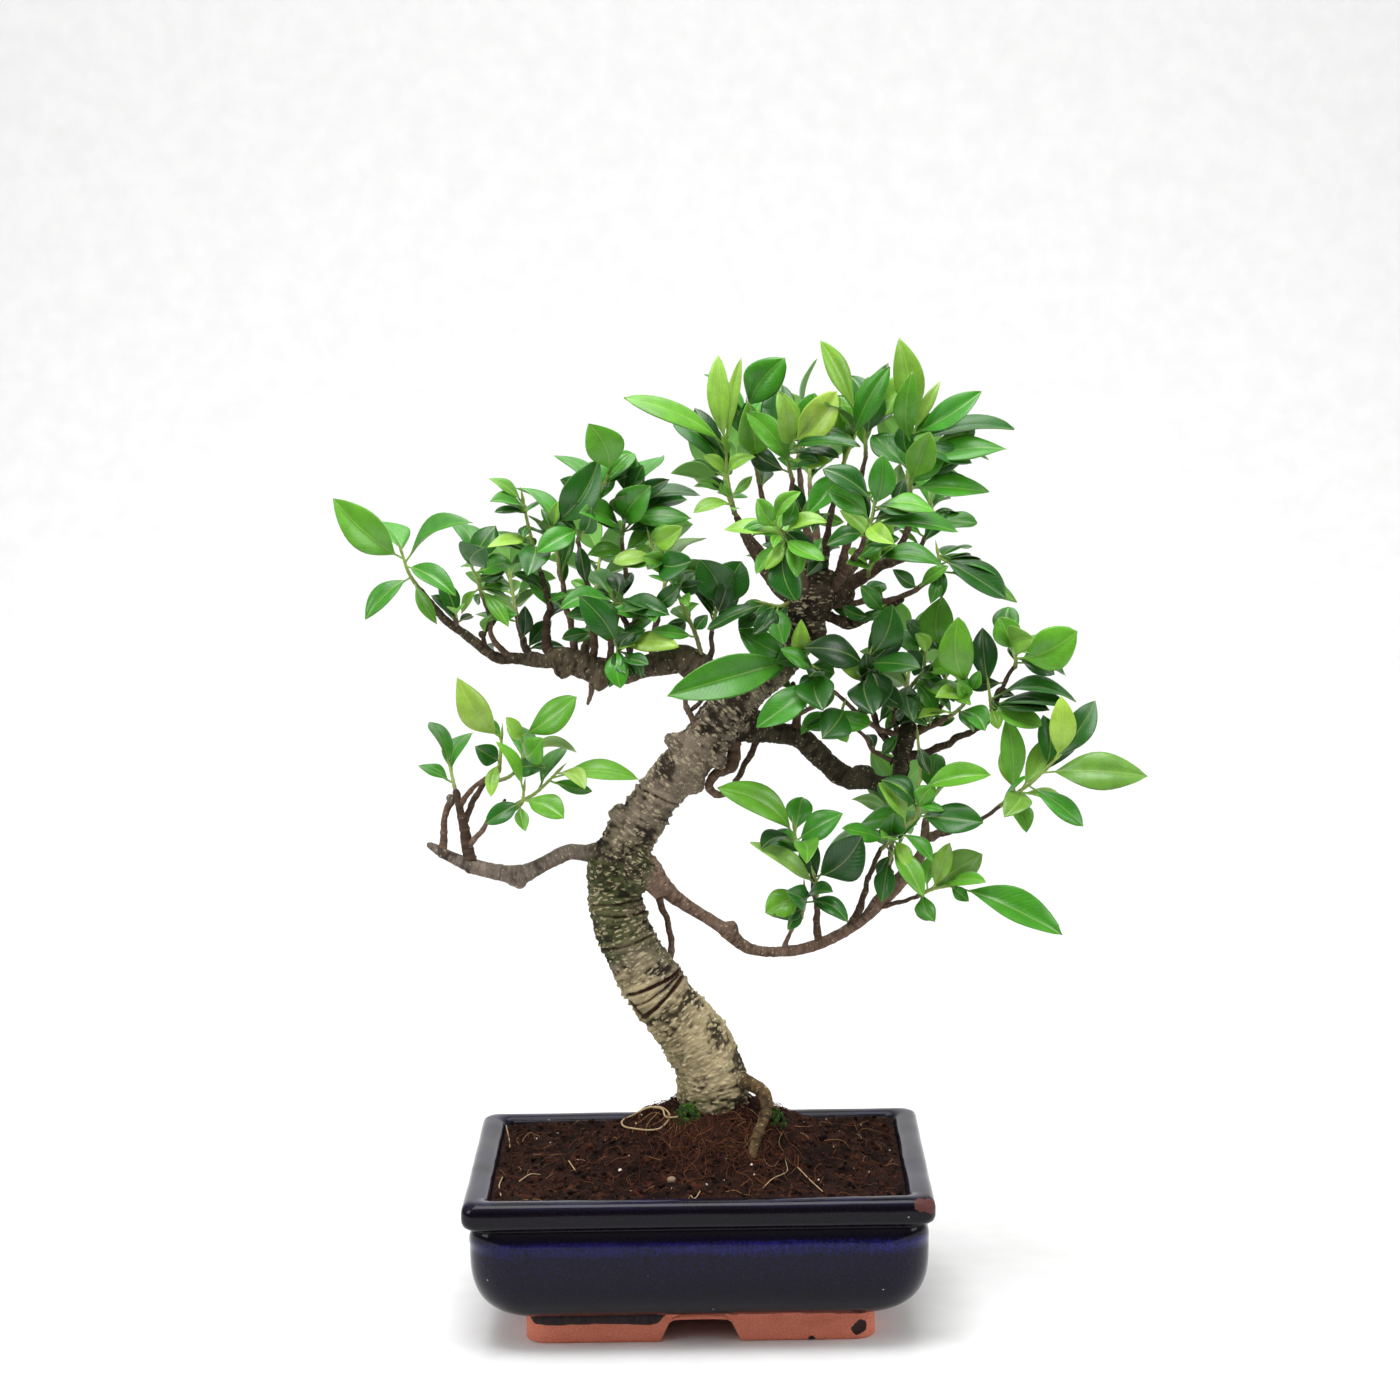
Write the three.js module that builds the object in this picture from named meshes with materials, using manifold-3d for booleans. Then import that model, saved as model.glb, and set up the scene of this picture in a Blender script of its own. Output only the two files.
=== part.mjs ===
// Bonsai fig tree (Ficus) in a glazed rectangular pot.
// Millimetres, +Z up, +X to the right of the tree's front, +Y to its back.
// The pieces are drawn round the middle of the pot's foot; at the end the whole object
// moves so that the middle of its box's underside is the origin.
import * as THREE from 'three';
import { mergeVertices } from 'three/addons/utils/BufferGeometryUtils.js';
import Module from 'manifold-3d';

const wasm = await Module();
wasm.setup();

// ---------------------------------------------------------------- driving dimensions
const POT_LENGTH = 260;         // over the rim, along X
const POT_DEPTH = 195;          // over the rim, along Y
const POT_HEIGHT = 89.5;
const RIM_WIDTH = 14;           // flat of the rolled rim, outside to opening
const RIM_HEIGHT = 16;
const NECK_INSET = 5;           // groove under the rim
const BELLY_INSET = 3;          // widest line of the belly, inside the rim's outline
const FOOT_INSET = 32;          // foot ring, inside the rim's outline
const FOOT_HEIGHT = 17.5;
const FOOT_WIDTH = 12;          // thickness of the foot ring
const FLOOR_THICKNESS = 8;
const RIM_CORNER = 7;           // corner radii in plan
const BELLY_CORNER = 25;
const FOOT_CORNER = 12;
const FOOT_INNER_CORNER = 5;
const NOTCH_WIDTH = 45;         // arch in the middle of each side of the foot
const NOTCH_TOP_WIDTH = 26;
const DRAIN_HOLE = 18;
const DRAIN_SPACING = 100;
const SCREEN_SIZE = 30;         // plastic screen over each drain hole
const SCREEN_THICKNESS = 1.5;
const SCREEN_SLOT = 4;

const SOIL_BELOW_RIM = 5;
const MOUND_HEIGHT = 40;
const MOUND_REACH_X = 68;
const MOUND_REACH_Y = 42;
const MOUND_SHARPNESS = 1.2;    // above 1 the mound is flatter on top and steeper beside it
const MOUND_CENTRE_X = 9;
const MOSS_THICKNESS = 7;
const MOSS_SUNK = 6;            // depth of a cushion's middle below the ground

const TREE_HEIGHT = 433;        // from the foot of the trunk to the topmost leaf
const LIMB_THICKNESS = 1;       // factor on every limb's thickness
const LEAF_WIDTH = 1;           // factor on every leaf's width
const LEAF_THICKNESS = 0.9;     // at the midrib
const LEAF_ARCH = 0.1;          // rise of the blade over its length
const PETIOLE_WIDTH = 1.5;
const STEM_START = 2.6;         // green stem, at its twig and at its tip
const STEM_END = 1.6;
const STEM_STEP = 9;            // longest straight stretch of a green stem
const GAP = 0.35;               // clearance between pieces that touch

// The tree's points below are in millimetres on a tree of this height that grows out of
// the mound at this level; grown() moves them to the height and level in use.
const DRAWN_HEIGHT = 433;
const DRAWN_LEVEL = 118;

const SCALE = TREE_HEIGHT / DRAWN_HEIGHT;
const SOIL_LEVEL = POT_HEIGHT - SOIL_BELOW_RIM;
const ROOT_LEVEL = SOIL_LEVEL + MOUND_HEIGHT - 2;
const FLOOR_TOP = FOOT_HEIGHT + FLOOR_THICKNESS;

const grown = ([x, y, z]) =>
  new THREE.Vector3(x * SCALE, y * SCALE, (z - DRAWN_LEVEL) * SCALE + ROOT_LEVEL);

// ---------------------------------------------------------------- solids and meshes
function solidOf(geometry) {
  const bare = geometry.clone();
  bare.deleteAttribute('normal');
  bare.deleteAttribute('uv');
  const merged = mergeVertices(bare, 1e-4);
  const vertProperties = new Float32Array(merged.attributes.position.array);
  const triVerts = new Uint32Array(merged.index.array);
  return new wasm.Manifold(new wasm.Mesh({ numProp: 3, vertProperties, triVerts }));
}

function largestPiece(solid) {
  const pieces = solid.decompose();
  return pieces.reduce((best, piece) => (piece.volume() > best.volume() ? piece : best));
}

function join(solids) {
  return solids.reduce((sum, solid) => sum.add(solid));
}

function meshOf(name, solid, color, roughness, metalness = 0) {
  const { vertProperties, triVerts } = solid.getMesh();
  const geometry = new THREE.BufferGeometry();
  geometry.setAttribute('position', new THREE.BufferAttribute(vertProperties, 3));
  geometry.setIndex(new THREE.BufferAttribute(triVerts, 1));
  geometry.computeVertexNormals();
  const material = new THREE.MeshStandardMaterial({ color, roughness, metalness });
  const mesh = new THREE.Mesh(geometry, material);
  mesh.name = name;
  return mesh;
}

// A cylinder whose rings are moved one by one: place(along, angle, onAxis) gives the new
// point of each vertex, with along running from 0 at the bottom to 1 at the top.
function shapedCylinder(sides, steps, pointed, place) {
  const geometry = new THREE.CylinderGeometry(pointed ? 0 : 1, 1, 1, sides, steps);
  const position = geometry.attributes.position;
  for (let i = 0; i < position.count; i += 1) {
    const across = Math.hypot(position.getX(i), position.getZ(i));
    const angle = Math.atan2(position.getX(i), position.getZ(i));
    const point = place(position.getY(i) + 0.5, angle, across < 1e-6);
    position.setXYZ(i, point.x, point.y, point.z);
  }
  return geometry;
}

// ---------------------------------------------------------------- pot
// A rounded rectangle at a height, given by its half sizes and corner radius.
const section = (z, inset, corner) => ({
  z,
  halfX: POT_LENGTH / 2 - inset,
  halfY: POT_DEPTH / 2 - inset,
  corner,
});

function loft(sections, cornerSteps = 3) {
  const sides = 4 * (cornerSteps + 1);
  return shapedCylinder(sides, sections.length - 1, false, (along, angle, onAxis) => {
    const { z, halfX, halfY, corner } = sections[Math.round(along * (sections.length - 1))];
    if (onAxis) return new THREE.Vector3(0, 0, z);
    const index = (Math.round((angle / (2 * Math.PI)) * sides) + sides) % sides;
    const quarter = Math.floor(index / (cornerSteps + 1));
    const turn = ((index % (cornerSteps + 1)) / cornerSteps + quarter) * (Math.PI / 2);
    const signX = quarter === 0 || quarter === 3 ? 1 : -1;
    const signY = quarter < 2 ? 1 : -1;
    const x = signX * (halfX - corner) + corner * Math.cos(turn);
    const y = signY * (halfY - corner) + corner * Math.sin(turn);
    return new THREE.Vector3(x, y, z);
  });
}

const upright = (sections) => solidOf(loft(sections));

function potOutline() {
  const rimBottom = POT_HEIGHT - RIM_HEIGHT;
  const bellyZ = FOOT_HEIGHT + (rimBottom - FOOT_HEIGHT) * 0.78;
  const sections = [section(0, FOOT_INSET + 1, FOOT_CORNER)];
  sections.push(section(1, FOOT_INSET, FOOT_CORNER));
  const steps = 7;
  for (let i = 0; i <= steps; i += 1) {
    const rise = i / steps;
    const swell = 1 - (1 - Math.sin(rise * Math.PI / 2)) ** 1.5;
    const inset = FOOT_INSET + (BELLY_INSET - FOOT_INSET) * swell;
    const corner = FOOT_CORNER + (BELLY_CORNER - FOOT_CORNER) * swell;
    const z = FOOT_HEIGHT + (bellyZ - FOOT_HEIGHT) * rise ** 1.6;
    sections.push(section(z, inset, corner));
  }
  sections.push(section(rimBottom - 3, BELLY_INSET + 1.5, BELLY_CORNER));
  sections.push(section(rimBottom - 1, NECK_INSET + 1, BELLY_CORNER * 0.7));
  sections.push(section(rimBottom + 1, NECK_INSET, RIM_CORNER * 1.4));
  sections.push(section(rimBottom + 3, 1, RIM_CORNER));
  sections.push(section(POT_HEIGHT - 5, 0, RIM_CORNER));
  sections.push(section(POT_HEIGHT - 1.5, 1, RIM_CORNER));
  sections.push(section(POT_HEIGHT, 3.5, RIM_CORNER));
  return sections;
}

// The hollow of the pot, drawn in by a clearance for what fills it.
function potHollow(clearance, top) {
  const corner = RIM_CORNER + 2;
  return [
    section(FLOOR_TOP + clearance, FOOT_INSET + 3 + clearance, BELLY_CORNER - clearance),
    section(FLOOR_TOP + 8, RIM_WIDTH + 9 + clearance, BELLY_CORNER - clearance),
    section(FLOOR_TOP + 20, RIM_WIDTH + 2 + clearance, corner + 8 - clearance),
    section(FLOOR_TOP + 34, RIM_WIDTH + clearance, corner - clearance),
    section(top, RIM_WIDTH + clearance, corner - clearance),
  ];
}

function footNotch(length, turned) {
  const half = NOTCH_WIDTH / 2;
  const shape = new THREE.Shape();
  shape.moveTo(-half, -1);
  shape.lineTo(half, -1);
  shape.lineTo(NOTCH_TOP_WIDTH / 2 + 3, FOOT_HEIGHT - 5);
  shape.quadraticCurveTo(NOTCH_TOP_WIDTH / 2, FOOT_HEIGHT - 2, NOTCH_TOP_WIDTH / 2 - 5, FOOT_HEIGHT - 2);
  shape.lineTo(5 - NOTCH_TOP_WIDTH / 2, FOOT_HEIGHT - 2);
  shape.quadraticCurveTo(-NOTCH_TOP_WIDTH / 2, FOOT_HEIGHT - 2, -NOTCH_TOP_WIDTH / 2 - 3, FOOT_HEIGHT - 5);
  const settings = { depth: length, bevelEnabled: false, curveSegments: 3 };
  const geometry = new THREE.ExtrudeGeometry(shape, settings);
  geometry.translate(0, 0, -length / 2);
  geometry.rotateX(Math.PI / 2);
  if (turned) geometry.rotateZ(Math.PI / 2);
  return solidOf(geometry);
}

const drainPlaces = [-DRAIN_SPACING / 2, DRAIN_SPACING / 2];

function potSolid() {
  const innerFoot = FOOT_INSET + FOOT_WIDTH;
  const recess = [
    section(-1, innerFoot, FOOT_INNER_CORNER),
    section(FOOT_HEIGHT - 2, innerFoot, FOOT_INNER_CORNER),
  ];
  let pot = upright(potOutline());
  pot = pot.subtract(upright(potHollow(0, POT_HEIGHT + 1)));
  pot = pot.subtract(upright(recess));
  pot = pot.subtract(footNotch(POT_DEPTH, false));
  pot = pot.subtract(footNotch(POT_LENGTH, true));
  for (const x of drainPlaces) {
    const hole = new THREE.CylinderGeometry(DRAIN_HOLE / 2, DRAIN_HOLE / 2, FLOOR_TOP * 3, 16);
    hole.rotateX(Math.PI / 2);
    hole.translate(x, 0, 0);
    pot = pot.subtract(solidOf(hole));
  }
  return pot;
}

function screenSolid(x) {
  const z = FLOOR_TOP + GAP + SCREEN_THICKNESS / 2;
  const plate = new THREE.BoxGeometry(SCREEN_SIZE, SCREEN_SIZE, SCREEN_THICKNESS);
  plate.translate(x, 0, z);
  let screen = solidOf(plate);
  for (const offset of [-9, -3, 3, 9]) {
    const slot = new THREE.BoxGeometry(SCREEN_SLOT, SCREEN_SIZE - 8, SCREEN_THICKNESS * 3);
    slot.translate(x + (offset * SCREEN_SIZE) / 30, 0, z);
    screen = screen.subtract(solidOf(slot));
  }
  return screen;
}

// ---------------------------------------------------------------- limbs
// Each point of a limb is [x, y, z, thickness].
const TRUNK = [
  [9, 2, 74, 34], [10, 1, 92, 44], [10, 0, 106, 42], [9, 0, 122, 41], [6, -1, 140, 39],
  [-2, -2, 155, 36], [-13, -3, 170, 34], [-24, -3, 186, 33], [-34, -2, 202, 32], [-41, 0, 218, 32],
  [-45, 2, 236, 30], [-45, 3, 252, 30], [-39, 3, 266, 30], [-29, 2, 281, 27], [-18, 0, 297, 25],
  [-6, -2, 311, 26], [6, -3, 324, 28], [17, -3, 338, 27], [28, -2, 351, 25], [42, 0, 362, 20],
  [56, 2, 373, 17], [65, 3, 388, 18], [67, 4, 402, 26], [68, 4, 412, 28],
];

const BRANCHES = {
  left: [
    [27, -2, 350, 18], [16, -3, 360, 18], [5, -3, 368, 17], [-6, -4, 373, 17], [-15, -4, 371, 15],
    [-27, -4, 369, 13], [-38, -4, 366, 14], [-50, -3, 367, 15], [-61, -2, 370, 15], [-72, 0, 374, 12],
    [-82, 2, 372, 8], [-100, 4, 374, 7], [-108, 4, 374, 6.5], [-115, 4, 378, 6], [-128, 3, 389, 5.5],
    [-136, 2, 395, 5], [-143, 0, 403, 4.5], [-151, -2, 414, 4],
  ],
  lower_left: [
    [-42, 3, 258, 18], [-54, 2, 262, 13], [-62, 1, 262, 9.5], [-70, 0, 263, 9], [-86, 0, 256, 8.5],
    [-94, 0, 252, 9.5], [-100, 0, 250, 11.5], [-107, 0, 251, 9.5], [-124, 1, 255, 9], [-138, 1, 261, 7],
    [-145, 1, 265, 6], [-150, 1, 268, 4],
  ],
  lower_right: [
    [-38, 2, 262, 18], [-27, 0, 253, 15], [-18, -2, 243, 11], [-9, -3, 235, 8.5], [3, -4, 227, 7],
    [14, -5, 220, 7.5], [20, -5, 215, 8.5], [28, -5, 208, 7], [38, -6, 205, 6], [60, -6, 206, 6.5],
    [80, -5, 213, 6.5], [99, -3, 225, 7], [104, -2, 231, 8.5], [112, 0, 238, 8.5], [119, 1, 246, 8.5],
    [124, 2, 251, 8], [129, 3, 258, 6], [131, 4, 266, 5.5], [132, 5, 277, 4.5],
  ],
  upper_right: [
    [18, -1, 336, 22], [33, 2, 334, 20], [43, 4, 331, 15], [52, 6, 328, 12], [60, 8, 326, 12.5],
    [68, 9, 319, 13], [76, 9, 311, 12], [84, 9, 304, 13], [92, 8, 301, 12], [100, 7, 300, 10],
    [109, 6, 298, 9.5], [116, 5, 300, 9], [118, 4, 308, 9], [119, 4, 316, 10], [121, 3, 327, 11],
  ],
  crown_left: [
    [64, 2, 402, 13], [52, 0, 410, 9], [45, -2, 418, 7], [39, -3, 428, 5.5], [32, -4, 440, 4.4],
    [27, -4, 452, 3.6],
  ],
  crown_right: [
    [74, 4, 404, 14], [84, 4, 410, 10], [95, 2, 416, 8], [106, 0, 423, 6.5], [114, -2, 428, 5.5],
    [120, -3, 438, 4.4], [124, -4, 450, 3.6], [124, -5, 462, 3],
  ],
};

const TWIGS = [
  // left branch
  [[-100, 4, 374, 4.4], [-107, 2, 380, 3.8], [-111, 1, 386, 3.4], [-113, 0, 398, 3], [-116, 0, 409, 2.8]],
  [[-115, 4, 378, 3.6], [-117, 4, 388, 2.6]],
  [[-131, 3, 391, 3.4], [-131, 0, 399, 2.6]],
  [[-74, 0, 374, 9], [-80, 4, 379, 7], [-81, 6, 390, 5.4], [-79, 6, 403, 4.2], [-84, 5, 424, 3]],
  [[-66, 0, 372, 5.6], [-66, 2, 388, 4.4], [-70, 3, 402, 3.6], [-72, 3, 418, 3]],
  [[-56, -3, 370, 5.6], [-54, -4, 386, 4.4], [-56, -6, 402, 3.8], [-58, -6, 420, 3.2], [-62, -5, 440, 2.8]],
  [[-46, -2, 368, 5], [-44, 2, 386, 4.2], [-40, 5, 402, 3.6], [-36, 7, 420, 3.2], [-38, 8, 438, 2.8]],
  [[-34, -5, 368, 5], [-35, -6, 384, 4.4], [-35, -6, 393, 3.8], [-40, -6, 402, 3]],
  [[-35, -6, 391, 3.4], [-28, -8, 397, 2.8], [-22, -9, 402, 2.2]],
  [[9, -2, 368, 5], [12, 0, 380, 3.4], [12, 2, 387, 3]],
  [[-54, -3, 364, 6], [-56, -4, 356, 3.6], [-58, -4, 348, 2.2]],
  [[-90, 3, 372, 6], [-95, 24, 380, 4.4], [-100, 48, 392, 3]],
  [[-60, 0, 372, 7], [-58, 25, 384, 4.6], [-55, 50, 400, 3]],
  [[-22, 0, 371, 6], [-20, 24, 386, 4.4], [-16, 46, 402, 3]],
  // trunk
  [[3, -6, 333, 4.6], [-2, -8, 344, 4], [-3, -8, 352, 3], [-2, -8, 359, 2.4]],
  [[-2, -8, 343, 3.2], [5, -9, 349, 2.8], [9, -9, 357, 2.4]],
  [[24, 0, 326, 10], [23, -3, 312, 8], [13, -5, 307, 6.6], [9, -6, 301, 5.4], [13, -7, 296, 5],
    [20, -7, 297, 4]],
  [[38, 3, 328, 4.4], [31, 0, 313, 4], [24, -4, 303, 3.6]],
  [[-24, 4, 246, 7], [-19, 7, 232, 4.6], [-15, 7, 218, 4], [-14, 4, 204, 4.4], [-16, 0, 194, 5]],
  // lower left branch
  [[-127, 1, 255, 9], [-129, 1, 266, 8], [-130, 0, 276, 6.5], [-132, 0, 288, 5], [-134, 0, 298, 5]],
  [[-132, 0, 290, 4], [-124, -2, 301, 3.2], [-116, -4, 307, 3], [-109, -5, 311, 2.6]],
  [[-130, 1, 280, 4.6], [-126, 4, 290, 4], [-120, 7, 300, 3.4], [-118, 8, 304, 3]],
  [[-129, 1, 266, 5], [-122, -3, 275, 3.4], [-115, -6, 283, 3], [-108, -8, 286, 2.8], [-100, -10, 290, 2.4]],
  [[-114, -6, 283, 3], [-110, -6, 288, 2.6], [-106, -6, 294, 2]],
  [[-143, 1, 263, 6], [-142, 2, 274, 4.8], [-140, 3, 286, 4.2], [-137, 3, 293, 5]],
  // lower right branch
  [[70, -5, 209, 6], [69, -6, 224, 4.2], [68, -8, 240, 3.6], [66, -9, 254, 2.8]],
  [[50, -6, 205, 4.4], [54, -9, 216, 2.6], [60, -12, 226, 2.2]],
  [[88, -4, 218, 6], [95, -6, 233, 4.2], [98, -8, 246, 3.6], [106, -10, 264, 2.8]],
  [[104, -2, 230, 5], [107, 2, 243, 3.6], [110, 5, 252, 3]],
  [[103, -3, 229, 4], [115, -7, 232, 2.8], [126, -11, 237, 2.4]],
  [[131, 4, 266, 5.4], [138, 2, 269, 5.5], [143, 0, 272, 4.4]],
  [[141, 1, 270, 4], [152, -3, 274, 2.9], [161, -5, 279, 2.7], [172, -6, 286, 2.4]],
  [[112, 0, 238, 7], [112, 22, 246, 4.4], [114, 42, 258, 3]],
  // upper right branch
  [[58, 7, 329, 7], [60, 5, 345, 4], [58, 4, 357, 3]],
  [[60, 6, 339, 3.6], [70, 3, 344, 2.2]],
  [[119, 4, 315, 8], [130, 2, 316, 5.6], [150, 0, 325, 4.6], [165, -2, 333, 3.6], [176, -6, 356, 2.8],
    [182, -7, 366, 2.4]],
  [[121, 3, 326, 7], [130, 0, 330, 5], [144, -3, 337, 3.4]],
  [[121, 3, 326, 6], [129, 6, 331, 4.2], [142, 11, 342, 3]],
  [[118, 3, 326, 5], [104, -4, 332, 3.2], [95, -9, 340, 2.9], [85, -14, 350, 2.6], [75, -18, 359, 2.2]],
  [[118, 4, 314, 6], [109, 6, 325, 4.6], [104, 8, 334, 4], [102, 9, 346, 3]],
  [[116, 3, 311, 4], [103, 0, 318, 2.8], [96, -3, 329, 2.4], [84, -6, 336, 2]],
  [[118, 3, 325, 5], [114, 1, 334, 3.8], [115, 1, 342, 3.4]],
  [[120, 4, 326, 4.6], [120, 6, 340, 3], [123, 9, 352, 2.6]],
  [[121, 4, 325, 6], [122, 28, 334, 4.4], [124, 52, 345, 3]],
  // crown
  [[50, 0, 411, 6], [47, 4, 426, 5], [43, 8, 456, 3.6], [40, 8, 470, 2.8]],
  [[62, 2, 410, 8], [58, -4, 428, 5.4], [56, -8, 444, 4.2], [58, -10, 474, 2.8]],
  [[68, 5, 412, 9], [68, 8, 430, 6], [66, 12, 448, 4.6], [62, 15, 482, 3]],
  [[74, 3, 410, 8], [76, -3, 428, 5.2], [78, -7, 444, 4.4], [84, -12, 474, 3]],
  [[80, 4, 408, 9], [86, 6, 424, 6.4], [90, 9, 440, 5], [100, 12, 484, 2.8]],
  [[104, 0, 422, 5], [116, 4, 425, 3.8], [128, 8, 430, 3.2], [134, 10, 440, 2.8]],
  [[78, 4, 402, 7], [90, 2, 402, 4.8], [100, 0, 405, 4], [112, -2, 404, 3.6], [130, -4, 412, 3.2],
    [139, -5, 417, 2.8]],
  [[76, 4, 396, 7], [88, 3, 391, 7], [96, 2, 392, 5.4], [110, 0, 399, 4.2], [119, -3, 404, 3.6]],
  [[66, 0, 408, 8], [62, -18, 422, 5], [58, -30, 432, 3.8], [55, -40, 440, 3]],
  [[80, 0, 410, 7], [88, -18, 424, 4.6], [94, -32, 436, 3.6], [98, -42, 446, 3]],
  [[68, 8, 408, 10], [70, 28, 424, 6.4], [72, 44, 438, 5], [70, 70, 462, 3]],
  [[62, 6, 408, 8], [46, 26, 424, 5], [34, 40, 438, 4], [26, 50, 450, 3]],
  [[78, 8, 408, 8], [96, 26, 424, 5], [110, 38, 438, 4], [120, 48, 450, 3]],
];

const ROOTS = [
  [[20, -8, 134, 11], [30, -14, 130, 8.4], [38, -18, 125, 7.4], [39, -25, 117, 6.8], [35, -31, 108, 6.4],
    [32, -36, 100, 6], [29, -41, 86, 5]],
  [[2, -6, 100, 22], [-13, -15, 94, 13], [-28, -25, 82, 9], [-42, -34, 66, 5]],
  [[4, 6, 100, 22], [-14, 17, 93, 13], [-30, 28, 80, 9], [-46, 40, 64, 5]],
  [[15, 6, 98, 22], [34, 15, 89, 13], [53, 26, 77, 8], [72, 36, 60, 5]],
  [[10, -6, 96, 18], [14, -22, 89, 10], [18, -38, 74, 5]],
];

function limbGeometry(points, sides, growth) {
  const curve = new THREE.CatmullRomCurve3(points.map(grown), false, 'centripetal');
  const last = points.length - 1;
  const run = curve.getPoint(1).sub(curve.getPoint(0)).normalize();
  const reference = Math.abs(run.y) > 0.7 ? new THREE.Vector3(1, 0, 0) : new THREE.Vector3(0, 1, 0);
  return shapedCylinder(sides, last, false, (along, angle, onAxis) => {
    const centre = curve.getPoint(along);
    const tangent = curve.getTangent(along);
    if (along < 1e-6) centre.addScaledVector(tangent, -growth);
    if (along > 1 - 1e-6) centre.addScaledVector(tangent, growth);
    if (onAxis) return centre;
    const thickness = points[Math.round(along * last)][3] * SCALE * LIMB_THICKNESS;
    const radius = thickness / 2 + growth;
    const side = new THREE.Vector3().crossVectors(reference, tangent).normalize();
    const front = new THREE.Vector3().crossVectors(side, tangent);
    centre.addScaledVector(front, radius * Math.cos(angle));
    return centre.addScaledVector(side, radius * Math.sin(angle));
  });
}

function woodSolid(growth) {
  const limbs = [solidOf(limbGeometry(TRUNK, 10, growth))];
  for (const points of Object.values(BRANCHES)) limbs.push(solidOf(limbGeometry(points, 6, growth)));
  for (const points of ROOTS) limbs.push(solidOf(limbGeometry(points, 5, growth)));
  for (const points of TWIGS) limbs.push(solidOf(limbGeometry(points, 4, growth)));
  return join(limbs);
}

// ---------------------------------------------------------------- soil and moss
function soilHeight(x, y) {
  const reach = ((x - MOUND_CENTRE_X) / MOUND_REACH_X) ** 2 + (y / MOUND_REACH_Y) ** 2;
  const waves = 0.9 * Math.sin(x / 13 + 1) * Math.cos(y / 11) + 0.5 * Math.sin(x / 5.3 + y / 7);
  return SOIL_LEVEL + MOUND_HEIGHT * Math.exp(-(reach ** MOUND_SHARPNESS)) + waves;
}

function groundSolid(lift) {
  const block = new THREE.BoxGeometry(POT_LENGTH, POT_DEPTH, 1, 15, 12, 1);
  const position = block.attributes.position;
  for (let i = 0; i < position.count; i += 1) {
    const top = soilHeight(position.getX(i), position.getY(i)) + lift;
    position.setZ(i, position.getZ(i) > 0 ? top : 0);
  }
  return solidOf(block);
}

function soilSolid(woodPocket) {
  const clearance = GAP;
  let soil = groundSolid(0).intersect(upright(potHollow(clearance, POT_HEIGHT * 2)));
  for (const x of drainPlaces) {
    const size = SCREEN_SIZE + 2 * clearance;
    const depth = SCREEN_THICKNESS + 4 * clearance;
    const pocket = new THREE.BoxGeometry(size, size, depth);
    pocket.translate(x, 0, FLOOR_TOP + depth / 2);
    soil = soil.subtract(solidOf(pocket));
  }
  return largestPiece(soil.subtract(woodPocket));
}

// Low cushions of moss round the foot of the trunk: [x, y, half length, half depth].
const MOSS = {
  moss_left: [-6, -20, 9, 7],
  moss_right: [43, -15, 8, 7],
};

function mossSolid([x, y, halfLength, halfDepth], woodPocket) {
  const dome = new THREE.SphereGeometry(1, 14, 8);
  dome.scale(halfLength, halfDepth, MOSS_THICKNESS + MOSS_SUNK);
  const slope = (soilHeight(x + 4, y) - soilHeight(x - 4, y)) / 8;
  const fall = (soilHeight(x, y + 4) - soilHeight(x, y - 4)) / 8;
  const position = dome.attributes.position;
  for (let i = 0; i < position.count; i += 1) {
    const lean = position.getX(i) * slope + position.getY(i) * fall;
    position.setZ(i, position.getZ(i) + lean);
  }
  dome.translate(x, y, soilHeight(x, y) - MOSS_SUNK);
  return largestPiece(solidOf(dome).subtract(groundSolid(GAP)).subtract(woodPocket));
}

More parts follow.
